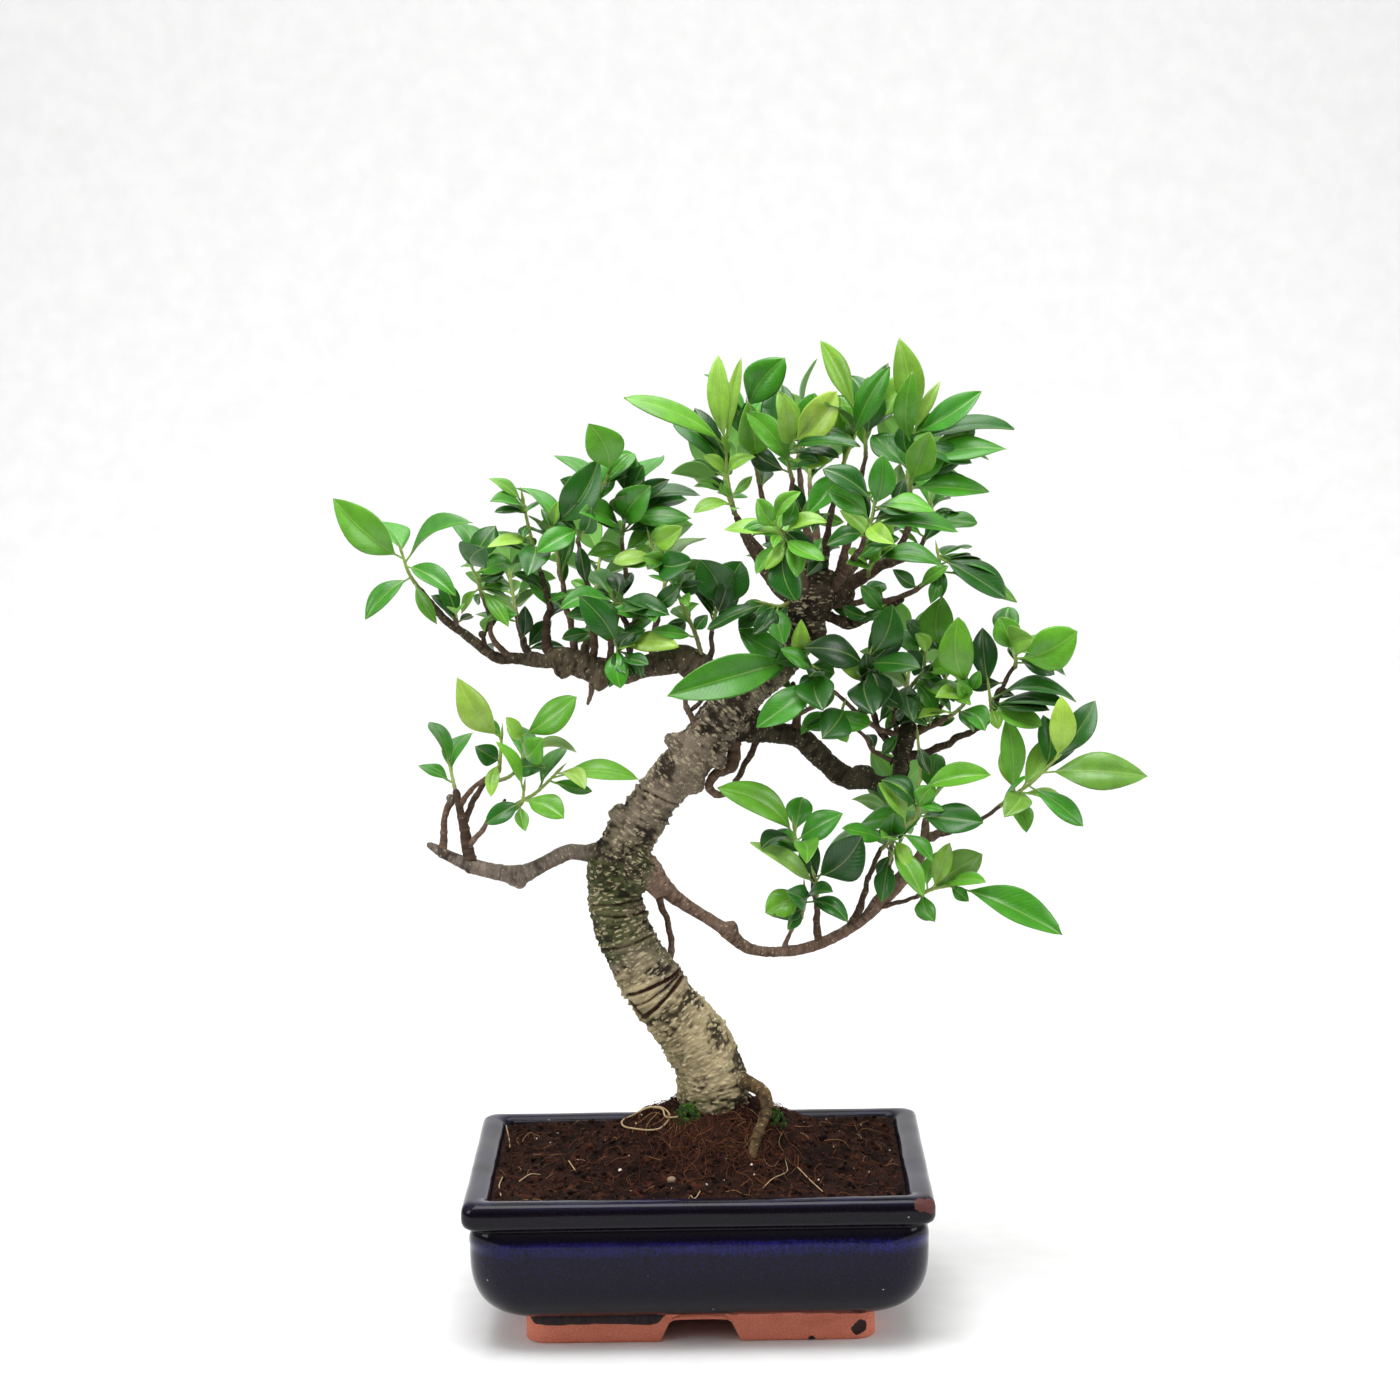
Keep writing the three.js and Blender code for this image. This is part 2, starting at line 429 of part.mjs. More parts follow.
// ---------------------------------------------------------------- leafy shoots
// A shoot is a green stem with its leaves. Each leaf is [share of the stem's length where
// its stalk starts, tip x, tip y, tip z, width, roll]. A leaf with roll 0 shows its upper
// side to the front (-Y), with roll 90 to the sky, and with roll 180 to the back.
const SHOOTS = {
  // far left pad
  left_tip_shoot: {
    stem: [
      [-151, -2, 414], [-157, -3, 424], [-160, -4, 434],
    ],
    leaves: [
      [0.9, -196, -22, 468, 24, 20], [0.7, -129, -26, 413, 16, 50], [0.4, -181, -12, 399, 18, 60],
      [0.8, -120, -8, 452, 20, 65], [0.95, -176, 28, 450, 22, 100],
    ],
  },
  left_pad_shoot_1: {
    stem: [
      [-116, 0, 409], [-119, -2, 420], [-122, -4, 428],
    ],
    leaves: [
      [0.9, -112, -28, 440, 23, 8], [1, -108, 4, 449, 20, 55], [0.5, -98, -10, 428, 16, 45],
      [0.9, -134, 30, 448, 20, 110],
    ],
  },
  left_pad_shoot_2: {
    stem: [
      [-84, 5, 424], [-87, 4, 436], [-90, 3, 450], [-92, 2, 462],
    ],
    leaves: [
      [0.98, -111, 0, 476, 16, 70], [0.85, -110, -12, 464, 16, 60], [0.5, -112, -16, 439, 14, 62],
      [0.35, -89, -30, 424, 20, 12], [0.8, -74, 30, 470, 20, 110], [0.45, -106, 36, 440, 20, 110],
    ],
  },
  left_back_shoot: {
    stem: [
      [-100, 48, 392], [-102, 54, 402], [-104, 58, 414],
    ],
    leaves: [
      [1, -122, 76, 440, 22, 150], [0.9, -88, 78, 438, 22, 150], [0.6, -130, 64, 416, 20, 130],
      [0.5, -78, 66, 412, 20, 130], [0.3, -104, 84, 398, 20, 150],
    ],
  },

  // left of the trunk
  inner_left_shoot_1: {
    stem: [
      [-62, -5, 440], [-58, -7, 452], [-50, -8, 466], [-44, -8, 478],
    ],
    leaves: [
      [1, -54, -20, 507, 24, 14], [0.7, -30, 10, 488, 20, 50], [0.35, -26, -24, 474, 22, 25],
      [0.6, -76, 26, 486, 22, 100], [0.2, -84, -20, 436, 18, 40],
    ],
  },
  inner_left_shoot_2: {
    stem: [
      [-72, 3, 418], [-74, 1, 434], [-76, 0, 450],
    ],
    leaves: [
      [1, -50, -16, 485, 24, 18], [0.8, -98, 26, 468, 20, 100], [0.5, -86, 42, 446, 20, 110],
    ],
  },
  inner_left_shoot_3: {
    stem: [
      [-38, 8, 438], [-36, 6, 450], [-34, 4, 462],
    ],
    leaves: [
      [0.4, -20, -16, 472, 22, 18], [0.2, -66, -14, 462, 20, 35], [1, -38, 12, 492, 18, 62],
      [0.5, 0, -10, 452, 18, 50], [0.8, 7, 6, 464, 16, 65], [0.95, -14, 36, 484, 22, 100],
    ],
  },
  inner_left_shoot_4: {
    stem: [
      [6, -9, 377], [3, -11, 388], [-3, -11, 402], [-9, -10, 416], [-18, -8, 430], [-21, -6, 440],
    ],
    leaves: [
      [0.98, -3, -20, 449, 15, 20], [0.85, 2, -28, 431, 19, 12], [0.85, -42, -14, 429, 16, 55],
      [0.14, -21, -18, 391, 15, 60], [0.7, 10, 24, 438, 20, 100],
    ],
  },
  inner_left_shoot_5: {
    stem: [
      [12, 2, 387], [14, 0, 396], [16, -2, 404],
    ],
    leaves: [
      [0.95, 6, -12, 430, 25, 6], [0.8, 29, -8, 427, 25, 6], [0.5, 4, 30, 416, 22, 110],
    ],
  },
  inner_left_shoot_6: {
    stem: [
      [-40, -6, 402], [-42, -8, 408],
    ],
    leaves: [
      [0.6, -11, -22, 400, 17, 42], [0.9, -58, 22, 420, 18, 90], [0.4, -72, -18, 404, 16, 45],
    ],
  },
  inner_left_shoot_7: {
    stem: [
      [-37, -10, 372], [-39, -12, 376], [-41, -13, 382],
    ],
    leaves: [
      [1, -61, -24, 412, 20, 12], [0.9, -39, -26, 360, 15, 28], [0.8, -6, -26, 383, 16, 35],
      [0.95, -25, -6, 391, 14, 50],
    ],
  },
  left_branch_back_shoot: {
    stem: [
      [-55, 50, 400], [-54, 56, 410], [-52, 62, 424],
    ],
    leaves: [
      [1, -70, 78, 452, 22, 150], [0.9, -34, 80, 448, 22, 150], [0.6, -82, 62, 424, 20, 130],
      [0.5, -28, 66, 420, 20, 130], [0.3, -54, 84, 404, 20, 150],
    ],
  },
  centre_back_shoot: {
    stem: [
      [-16, 46, 402], [-14, 52, 412], [-12, 56, 424],
    ],
    leaves: [
      [1, -28, 74, 450, 22, 150], [0.9, 6, 76, 446, 22, 150], [0.5, 14, 62, 416, 20, 130],
      [0.3, -14, 84, 406, 20, 150],
    ],
  },

  // crown
  crown_shoot_1: {
    stem: [
      [27, -4, 452], [24, -5, 464], [22, -6, 478], [22, -7, 492],
    ],
    leaves: [
      [1, -34, -26, 521, 24, 55], [0.55, -8, 4, 506, 22, 48], [0.98, 18, -8, 543, 14, 20],
    ],
  },
  crown_shoot_2: {
    stem: [
      [40, 8, 470], [38, 6, 482], [35, 4, 496], [34, 3, 510],
    ],
    leaves: [
      [1, 55, -12, 541, 24, 14], [0.3, 34, -22, 518, 20, 10], [0.9, 10, 32, 530, 22, 110],
      [0.7, 50, 38, 518, 22, 110],
    ],
  },
  crown_shoot_3: {
    stem: [
      [58, -10, 474], [56, -11, 484], [57, -12, 494],
    ],
    leaves: [
      [0.95, 53, -4, 529, 22, 10], [0.3, 33, -24, 512, 18, 32], [1, 83, -26, 523, 22, 18],
      [0.8, 98, -30, 493, 20, 62], [0.25, 73, -28, 484, 16, 40],
    ],
  },
  crown_shoot_4: {
    stem: [
      [62, 15, 482], [64, 18, 492], [66, 20, 502],
    ],
    leaves: [
      [1, 74, 34, 538, 20, 110], [0.6, 40, 38, 514, 20, 120], [0.8, 92, 40, 510, 20, 120],
      [0.5, 72, 12, 520, 20, 40],
    ],
  },
  crown_shoot_5: {
    stem: [
      [84, -12, 474], [88, -14, 486], [93, -15, 498], [94, -16, 508],
    ],
    leaves: [
      [1, 74, -20, 551, 17, 58], [0.3, 79, -4, 516, 20, 30], [0.6, 112, -30, 536, 18, 40],
      [0.2, 66, -30, 456, 18, 50],
    ],
  },
  crown_shoot_6: {
    stem: [
      [100, 12, 484], [100, 10, 492], [100, 8, 500],
    ],
    leaves: [
      [0.6, 101, 2, 529, 20, 14], [0.98, 128, -8, 526, 20, 24], [0.8, 84, 46, 526, 22, 120],
      [0.7, 120, 46, 512, 22, 120],
    ],
  },
  crown_shoot_7: {
    stem: [
      [124, -5, 462], [124, -6, 476], [124, -7, 488], [125, -8, 498],
    ],
    leaves: [
      [1, 118, -12, 551, 19, 18], [0.98, 163, -16, 521, 20, 40], [0.2, 134, -28, 500, 19, 12],
      [0.85, 182, -4, 499, 20, 62], [0.5, 177, -18, 489, 20, 48], [0.15, 167, -14, 465, 20, 50],
      [0.4, 104, 12, 496, 20, 40],
    ],
  },
  crown_shoot_8: {
    stem: [
      [134, 10, 440], [135, 9, 448], [136, 10, 455],
    ],
    leaves: [
      [0.9, 160, 40, 466, 22, 110], [0.7, 128, 44, 476, 22, 110], [0.4, 162, 6, 446, 20, 60],
    ],
  },
  crown_front_shoot_1: {
    stem: [
      [55, -40, 440], [52, -43, 446], [48, -45, 452],
    ],
    leaves: [
      [0.2, 59, -52, 410, 21, 16], [0.5, 76, -50, 453, 15, 58], [0.35, 74, -58, 433, 16, 62],
      [0.95, 38, -54, 467, 14, 30], [0.6, 20, -40, 449, 16, 58],
    ],
  },
  crown_front_shoot_2: {
    stem: [
      [98, -42, 446], [101, -46, 456], [102, -48, 464],
    ],
    leaves: [
      [0.8, 106, -56, 490, 17, 8], [0.7, 135, -52, 458, 18, 58], [0.95, 74, -46, 482, 18, 40],
      [0.25, 148, -44, 446, 20, 60],
    ],
  },
  crown_front_shoot_3: {
    stem: [
      [100, -3, 418], [101, -10, 426], [104, -16, 432],
    ],
    leaves: [
      [0.6, 141, -24, 425, 18, 55], [1, 84, -22, 457, 16, 50],
    ],
  },
  crown_front_shoot_4: {
    stem: [
      [56, -4, 404], [50, -12, 403], [43, -16, 405],
    ],
    leaves: [
      [1, 10, -24, 392, 16, 68], [0.5, 27, -20, 392, 20, 45], [0.6, 52, -34, 384, 16, 30],
    ],
  },
  crown_right_shoot: {
    stem: [
      [139, -5, 417], [140, -8, 424], [139, -9, 430],
    ],
    leaves: [
      [0.9, 176, -18, 406, 24, 52], [0.3, 183, -4, 402, 22, 58], [0.8, 158, 24, 430, 20, 100],
    ],
  },
  crown_back_shoot_1: {
    stem: [
      [70, 70, 462], [70, 74, 474], [70, 76, 486],
    ],
    leaves: [
      [1, 54, 94, 516, 22, 150], [0.95, 90, 94, 512, 22, 150], [0.6, 42, 90, 488, 22, 130],
      [0.5, 98, 92, 484, 22, 130], [0.3, 70, 106, 470, 22, 150],
    ],
  },
  crown_back_shoot_2: {
    stem: [
      [26, 50, 450], [22, 54, 462], [20, 56, 474],
    ],
    leaves: [
      [1, 0, 72, 502, 22, 150], [0.95, 38, 78, 504, 22, 150], [0.5, -10, 64, 472, 22, 130],
      [0.3, 20, 86, 458, 20, 150],
    ],
  },
  crown_back_shoot_3: {
    stem: [
      [120, 48, 450], [124, 52, 462], [126, 54, 474],
    ],
    leaves: [
      [1, 110, 72, 504, 22, 150], [0.95, 150, 74, 498, 22, 150], [0.5, 156, 64, 468, 22, 130],
      [0.3, 126, 86, 456, 20, 150],
    ],
  },
  trunk_top_shoot: {
    stem: [
      [58, -8, 374], [62, -13, 373], [66, -16, 371],
    ],
    leaves: [
      [0.5, -13, -44, 358, 26, 14], [0.7, 46, -22, 373, 14, 40], [0.35, 27, -16, 391, 19, 28],
      [0.95, 82, -16, 364, 18, 20],
    ],
  },

  // right pad
  right_pad_shoot_1: {
    stem: [
      [102, 9, 346], [100, 0, 356], [98, -8, 366], [100, -12, 374],
    ],
    leaves: [
      [0.75, 63, -32, 382, 22, 28], [0.3, 77, -18, 376, 18, 40], [1, 113, -20, 404, 21, 10],
      [0.6, 101, -38, 345, 22, 20], [0.85, 130, -26, 370, 20, 48], [0.5, 84, 26, 370, 20, 100],
    ],
  },
  right_pad_shoot_2: {
    stem: [
      [75, -18, 359], [72, -20, 363], [69, -21, 367],
    ],
    leaves: [
      [0.9, 73, -46, 349, 25, 4], [0.5, 36, -34, 338, 22, 45], [1, 50, -36, 382, 14, 40],
    ],
  },
  right_pad_shoot_3: {
    stem: [
      [84, -6, 336], [84, -10, 342], [85, -14, 346],
    ],
    leaves: [
      [0.95, 72, -44, 333, 22, 5], [0.9, 99, -26, 337, 20, 38],
    ],
  },
  right_pad_shoot_4: {
    stem: [
      [123, 9, 352], [127, 4, 358], [131, 0, 364], [132, -2, 372],
    ],
    leaves: [
      [0.7, 121, -16, 378, 15, 28], [0.6, 151, -16, 365, 18, 45], [0.25, 156, -20, 347, 18, 58],
      [0.2, 124, -22, 338, 16, 20], [0.8, 108, 22, 384, 20, 80],
    ],
  },
  right_pad_shoot_5: {
    stem: [
      [142, 11, 342], [144, 10, 354], [143, 9, 366], [142, 8, 374],
    ],
    leaves: [
      [1, 142, 4, 405, 22, 8], [0.4, 152, -10, 346, 15, 20], [0.9, 122, 12, 391, 18, 50],
      [0.8, 126, 44, 384, 22, 120], [0.5, 164, 42, 372, 22, 120],
    ],
  },
  right_pad_shoot_6: {
    stem: [
      [144, -3, 337], [150, -6, 342], [155, -8, 348], [157, -9, 354],
    ],
    leaves: [
      [1, 149, -24, 397, 23, 14], [0.3, 164, -20, 332, 16, 42],
    ],
  },
  right_pad_shoot_7: {
    stem: [
      [169, -3, 340], [168, -7, 347], [167, -9, 354],
    ],
    leaves: [
      [1, 164, -2, 388, 17, 28], [0.6, 215, -18, 347, 22, 72], [0.3, 205, -30, 345, 18, 68],
      [0.35, 193, -22, 335, 18, 50],
    ],
  },
  right_pad_shoot_8: {
    stem: [
      [182, -7, 366], [182, -9, 371], [180, -11, 376],
    ],
    leaves: [
      [0.5, 215, -24, 388, 27, 8], [0.95, 172, -18, 396, 18, 14], [0.9, 190, -38, 386, 19, 16],
      [0.8, 180, 10, 398, 17, 50], [0.6, 200, 22, 380, 20, 110], [0.25, 211, -2, 360, 18, 72],
    ],
  },
  right_pad_back_shoot: {
    stem: [
      [124, 52, 345], [126, 58, 356], [128, 62, 368],
    ],
    leaves: [
      [1, 112, 80, 396, 22, 150], [0.95, 148, 78, 390, 22, 150], [0.6, 98, 72, 366, 20, 130],
      [0.5, 156, 68, 358, 20, 130], [0.3, 126, 86, 348, 20, 150],
    ],
  },

  // lower right branch
  low_right_shoot_1: {
    stem: [
      [66, -9, 254], [62, -11, 262], [58, -13, 270], [57, -14, 276],
    ],
    leaves: [
      [0.8, 14, -26, 303, 22, 40], [0.75, 84, -28, 288, 19, 32], [0.9, 62, 4, 292, 17, 40],
      [0.7, 72, -36, 250, 16, 40], [0.25, 38, 2, 268, 17, 45],
    ],
  },
  low_right_shoot_2: {
    stem: [
      [69, -7, 236], [70, -13, 243], [68, -17, 250],
    ],
    leaves: [
      [1, 94, -36, 277, 27, 8], [0.6, 32, -26, 272, 18, 58], [0.8, 98, 18, 274, 20, 110],
    ],
  },
  low_right_shoot_3: {
    stem: [
      [60, -12, 226], [62, -14, 233], [62, -16, 241],
    ],
    leaves: [
      [0.95, 40, -24, 231, 20, 28], [0.3, 49, -36, 249, 16, 28], [0.6, 86, -28, 226, 14, 50],
      [0.7, 82, -14, 245, 16, 60],
    ],
  },
  low_right_shoot_4: {
    stem: [
      [106, -10, 264], [112, -12, 270], [119, -14, 277], [126, -15, 284], [127, -14, 299],
      [128, -12, 312], [127, -10, 326],
    ],
    leaves: [
      [0.4, 162, -30, 282, 22, 32], [0.1, 83, -26, 279, 15, 50], [0.38, 90, -4, 274, 19, 48],
      [0.14, 112, -30, 288, 17, 14], [0.28, 104, -22, 304, 15, 42], [0.42, 105, -18, 306, 17, 50],
      [0.45, 136, -20, 302, 14, 15], [0.6, 167, -20, 307, 18, 45], [0.1, 128, -34, 241, 15, 45],
    ],
  },
  low_right_shoot_5: {
    stem: [
      [110, 5, 252], [112, 0, 258], [115, -2, 263],
    ],
    leaves: [
      [0.3, 108, -22, 243, 14, 10], [0.7, 98, 28, 270, 18, 110], [0.95, 128, 20, 280, 18, 100],
    ],
  },
  low_right_shoot_6: {
    stem: [
      [126, -11, 237], [135, -12, 241], [146, -13, 243],
    ],
    leaves: [
      [1, 206, -30, 217, 24, 48], [0.3, 164, 2, 258, 22, 38],
    ],
  },
  low_right_shoot_7: {
    stem: [
      [172, -6, 286], [182, -8, 294], [191, -10, 301], [198, -11, 308], [204, -12, 314],
    ],
    leaves: [
      [0.75, 254, -26, 306, 25, 28], [1, 206, -24, 352, 17, 18], [0.95, 227, -4, 346, 18, 22],
      [0.4, 173, -36, 286, 17, 38], [0.5, 219, -20, 277, 18, 58], [0.25, 177, -10, 339, 16, 42],
      [0.35, 213, 8, 284, 17, 60], [0.8, 198, -2, 338, 16, 50], [0.1, 187, -20, 274, 14, 58],
    ],
  },
  low_right_back_shoot: {
    stem: [
      [114, 42, 258], [116, 48, 268], [118, 52, 280],
    ],
    leaves: [
      [1, 104, 68, 308, 22, 150], [0.95, 140, 68, 300, 22, 150], [0.6, 92, 60, 280, 20, 130],
      [0.5, 144, 60, 272, 20, 130], [0.3, 120, 76, 258, 20, 150],
    ],
  },
  low_right_end_shoot: {
    stem: [
      [132, 5, 277], [134, 8, 284], [137, 10, 290],
    ],
    leaves: [
      [0.9, 164, 22, 300, 18, 100], [1, 140, 26, 312, 18, 110], [0.5, 112, 20, 296, 18, 100],
    ],
  },

  // lower left branch
  low_left_shoot_1: {
    stem: [
      [-109, -5, 311], [-108, -6, 320], [-107, -7, 330],
    ],
    leaves: [
      [1, -130, -22, 367, 20, 22], [0.3, -121, -22, 328, 14, 14],
    ],
  },
  low_left_shoot_2: {
    stem: [
      [-100, -10, 290], [-96, -11, 294], [-95, -12, 300],
    ],
    leaves: [
      [1, -109, -24, 331, 14, 62], [0.6, -72, -24, 287, 19, 48],
    ],
  },
  low_left_shoot_3: {
    stem: [
      [-118, 8, 304], [-110, 5, 304], [-103, 2, 307], [-98, 0, 313], [-95, -2, 320], [-96, -3, 330],
    ],
    leaves: [
      [1, -64, -14, 354, 21, 32], [0.72, -83, -20, 332, 18, 18], [0.35, -87, -20, 312, 14, 35],
      [0.6, -104, 30, 332, 18, 110],
    ],
  },
  low_left_shoot_4: {
    stem: [
      [-106, -9, 288], [-98, -6, 293], [-90, -4, 297], [-84, -4, 302], [-77, -5, 309],
    ],
    leaves: [
      [0.9, -30, -12, 306, 19, 58], [0.6, -72, 22, 320, 16, 100],
    ],
  },
  low_left_shoot_5: {
    stem: [
      [-134, 0, 298], [-136, 6, 304], [-138, 10, 312],
    ],
    leaves: [
      [0.9, -150, 30, 334, 18, 110], [0.6, -124, 34, 330, 18, 110], [0.4, -156, 14, 312, 16, 80],
    ],
  },
};

const LEAF_STATIONS = [0, 0.16, 0.45, 0.76, 1];
const LEAF_OUTLINE = [0, 0.1, 1, 0.78, 0];
const LEAF_STEPS = LEAF_STATIONS.length - 1;

// The midrib runs from the stalk's foot to the tip and bows towards the upper side. Each
// ring has three corners: the blade's two edges and the midrib's keel under them.
function leafGeometry(foot, tip, width, roll, growth, from) {
  const run = new THREE.Vector3().subVectors(tip, foot);
  const length = run.length();
  run.normalize();
  const facing = new THREE.Vector3(0, -Math.cos(roll), Math.sin(roll));
  const side = new THREE.Vector3().crossVectors(run, facing).normalize();
  const upper = new THREE.Vector3().crossVectors(side, run);
  return shapedCylinder(3, LEAF_STEPS, true, (along, angle, onAxis) => {
    const station = Math.round(along * LEAF_STEPS);
    const share = Math.max(LEAF_STATIONS[station], from);
    const bow = LEAF_ARCH * length * 4 * share * (1 - share);
    const centre = foot.clone().addScaledVector(run, share * length).addScaledVector(upper, bow);
    if (station === LEAF_STEPS) return centre.addScaledVector(run, growth);
    if (onAxis) return centre;
    const half = Math.max(PETIOLE_WIDTH, LEAF_OUTLINE[station] * width) / 2 + growth * 2;
    const depth = station < 2 ? PETIOLE_WIDTH : LEAF_THICKNESS;
    const keel = Math.abs(angle) < 0.1;
    if (keel) return centre.addScaledVector(upper, -depth - growth);
    return centre.addScaledVector(side, -Math.sign(angle) * half).addScaledVector(upper, growth);
  });
}

// A leaf that would touch its surroundings turns about its foot, first towards the front
// or back, then sideways. In a crowded place it stays smaller, or grows from a place
// higher or lower on the stem.
const SLIDES = [0, 0.12, -0.12, 0.24, -0.24, 0.36, -0.36];
const SIZES = [1, 0.85, 0.7, 0.55];
const SWINGS = [0, 10, -10, 20, -20];
const TILTS = [0, 8, -8, 16, -16, 24, -24, 32, -32, 40, -40, 50, -50, 60, -60];

function turnedTip(foot, tip, size, swing, tilt) {
  const run = new THREE.Vector3().subVectors(tip, foot).multiplyScalar(size);
  run.applyAxisAngle(new THREE.Vector3(0, 1, 0), THREE.MathUtils.degToRad(swing));
  const level = new THREE.Vector3(-run.z, 0, run.x).normalize();
  run.applyAxisAngle(level, THREE.MathUtils.degToRad(tilt));
  return run.add(foot);
}

function* leafPlaces(curve, share, tip) {
  for (const slide of SLIDES) {
    const foot = curve.getPointAt(THREE.MathUtils.clamp(share + slide, 0.1, 1));
    for (const size of SIZES) {
      for (const swing of SWINGS) {
        for (const tilt of TILTS) yield { foot, size, tip: turnedTip(foot, tip, size, swing, tilt) };
      }
    }
  }
}

function touches(probe, box, other) {
  for (let axis = 0; axis < 3; axis += 1) {
    if (box.min[axis] > other.box.max[axis] || box.max[axis] < other.box.min[axis]) return false;
  }
  return !probe.intersect(other.solid).isEmpty();
}

function growLeaf(shoot, [share, x, y, z, width, roll], obstacles) {
  const facing = THREE.MathUtils.degToRad(roll);
  const shape = ({ foot, tip, size }, growth, from) =>
    solidOf(leafGeometry(foot, tip, width * LEAF_WIDTH * SCALE * size, facing, growth, from));
  for (const place of leafPlaces(shoot.curve, share, grown([x, y, z]))) {
    const whole = shape(place, GAP, 0);
    const box = whole.boundingBox();
    const blade = shape(place, GAP, 0.22);
    const blocked = obstacles.some((other) => {
      const own = other.owner === shoot || other.owner === null;
      return touches(own ? blade : whole, box, other);
    });
    if (!blocked) return shape(place, 0, 0);
  }
  throw new Error(`no room for a leaf at ${x}, ${y}, ${z}`);
}

function stemGeometry(curve, steps) {
  const thickness = (along) => (STEM_START + (STEM_END - STEM_START) * along) * SCALE;
  return shapedCylinder(4, steps, false, (along, angle, onAxis) => {
    const centre = curve.getPointAt(along);
    if (onAxis) return centre;
    const tangent = curve.getTangentAt(along);
    const side = new THREE.Vector3().crossVectors(new THREE.Vector3(0, 1, 0), tangent).normalize();
    const front = new THREE.Vector3().crossVectors(side, tangent);
    centre.addScaledVector(front, (thickness(along) / 2) * Math.cos(angle));
    return centre.addScaledVector(side, (thickness(along) / 2) * Math.sin(angle));
  });
}

// Every stem grows first; then every shoot's first leaf unfolds, then every second leaf.
function growShoots(woodGrown) {
  const obstacles = [{ solid: woodGrown, box: woodGrown.boundingBox(), owner: null }];
  const shoots = Object.entries(SHOOTS).map(([name, { stem, leaves }]) => {
    const curve = new THREE.CatmullRomCurve3(stem.map(grown), false, 'centripetal');
    const solid = solidOf(stemGeometry(curve, Math.ceil(curve.getLength() / STEM_STEP)));
    return { name, curve, leaves, solids: [solid] };
  });
  for (const shoot of shoots) {
    const [solid] = shoot.solids;
    obstacles.push({ solid, box: solid.boundingBox(), owner: shoot });
  }
  const mostLeaves = Math.max(...shoots.map(({ leaves }) => leaves.length));
  for (let rank = 0; rank < mostLeaves; rank += 1) {
    for (const shoot of shoots.filter(({ leaves }) => leaves.length > rank)) {
      const solid = growLeaf(shoot, shoot.leaves[rank], obstacles);
      shoot.solids.push(solid);
      obstacles.push({ solid, box: solid.boundingBox(), owner: shoot });
    }
  }
  return shoots;
}

// ---------------------------------------------------------------- the object
const wood = woodSolid(0);
const woodGrown = woodSolid(GAP);
const bonsai = new THREE.Group();
bonsai.add(meshOf('pot', potSolid(), '#1f2233', 0.22));
bonsai.add(meshOf('drain_screen_left', screenSolid(drainPlaces[0]), '#222222', 0.6));
bonsai.add(meshOf('drain_screen_right', screenSolid(drainPlaces[1]), '#222222', 0.6));
bonsai.add(meshOf('soil', soilSolid(woodGrown), '#3a2a1e', 0.95));
for (const [name, cushion] of Object.entries(MOSS)) {
  bonsai.add(meshOf(name, mossSolid(cushion, woodGrown), '#5a6b2a', 0.95));
}
bonsai.add(meshOf('trunk_and_branches', wood, '#7d6f60', 0.85));
for (const { name, solids } of growShoots(woodGrown)) {
  bonsai.add(meshOf(name, largestPiece(join(solids).subtract(woodGrown)), '#3f8f2e', 0.4));
}

const extent = new THREE.Box3().setFromObject(bonsai);
bonsai.position.set(-(extent.min.x + extent.max.x) / 2, -(extent.min.y + extent.max.y) / 2, -extent.min.z);

export default bonsai;
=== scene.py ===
# %% [markdown]
# # A fig bonsai in a glazed pot
# The object is a small fig tree, about 55 cm tall with its pot. A bent trunk carries
# horizontal pads of glossy leaves, and it stands in a dark blue glazed pot of peaty soil.
# The solids of the part come first. They fix the frame in which every piece is built, so
# the only thing this script works out about place is how far the pot's middle lies from
# the frame's origin.

import itertools
import math

import bmesh
import bpy
import numpy as np
from mathutils import Matrix, Vector, kdtree


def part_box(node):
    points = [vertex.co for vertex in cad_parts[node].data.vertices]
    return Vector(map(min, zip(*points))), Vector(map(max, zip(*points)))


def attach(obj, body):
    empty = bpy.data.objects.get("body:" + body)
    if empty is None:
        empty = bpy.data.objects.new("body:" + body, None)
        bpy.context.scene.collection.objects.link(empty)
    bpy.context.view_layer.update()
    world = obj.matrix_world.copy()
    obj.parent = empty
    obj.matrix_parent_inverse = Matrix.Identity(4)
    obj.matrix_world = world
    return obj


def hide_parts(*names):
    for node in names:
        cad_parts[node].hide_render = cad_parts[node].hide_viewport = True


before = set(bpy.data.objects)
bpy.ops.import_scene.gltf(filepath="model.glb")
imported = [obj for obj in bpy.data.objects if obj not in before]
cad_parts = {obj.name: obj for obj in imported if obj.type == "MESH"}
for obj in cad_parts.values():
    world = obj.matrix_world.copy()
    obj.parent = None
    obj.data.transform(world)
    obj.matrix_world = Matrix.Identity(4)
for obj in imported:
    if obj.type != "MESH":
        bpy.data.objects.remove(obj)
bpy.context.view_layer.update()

# %% The drawing's origin
# Every table below is in millimetres: X to the right, Y to the back and Z up, with the
# zero of X and Y in the pot's middle and the rim's top at Z 85.
MM, RIM_TOP = 0.001, 85.0
pot_low, pot_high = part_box("pot")
middle = [(pot_low.x + pot_high.x) / 2, (pot_low.y + pot_high.y) / 2]
SHIFT = np.array([*middle, pot_high.z - RIM_TOP * MM])
FOOT_LEVEL = (pot_low.z - SHIFT[2]) / MM
print("the drawing's zero, in metres:", SHIFT, "and the foot's level:", FOOT_LEVEL)


def to_metres(points):
    """Drawing millimetres to metres in the row frame."""
    return np.asarray(points, float) * MM + SHIFT


# %% [markdown]
# ## Small tools for meshes
# Most pieces here are many small closed shapes: leaves, stems, crumbs, roots. One Bundle
# gathers their points and faces, together with the values that the finishes read later,
# and turns them into a single mesh. A loop of Blender operators would be far slower.

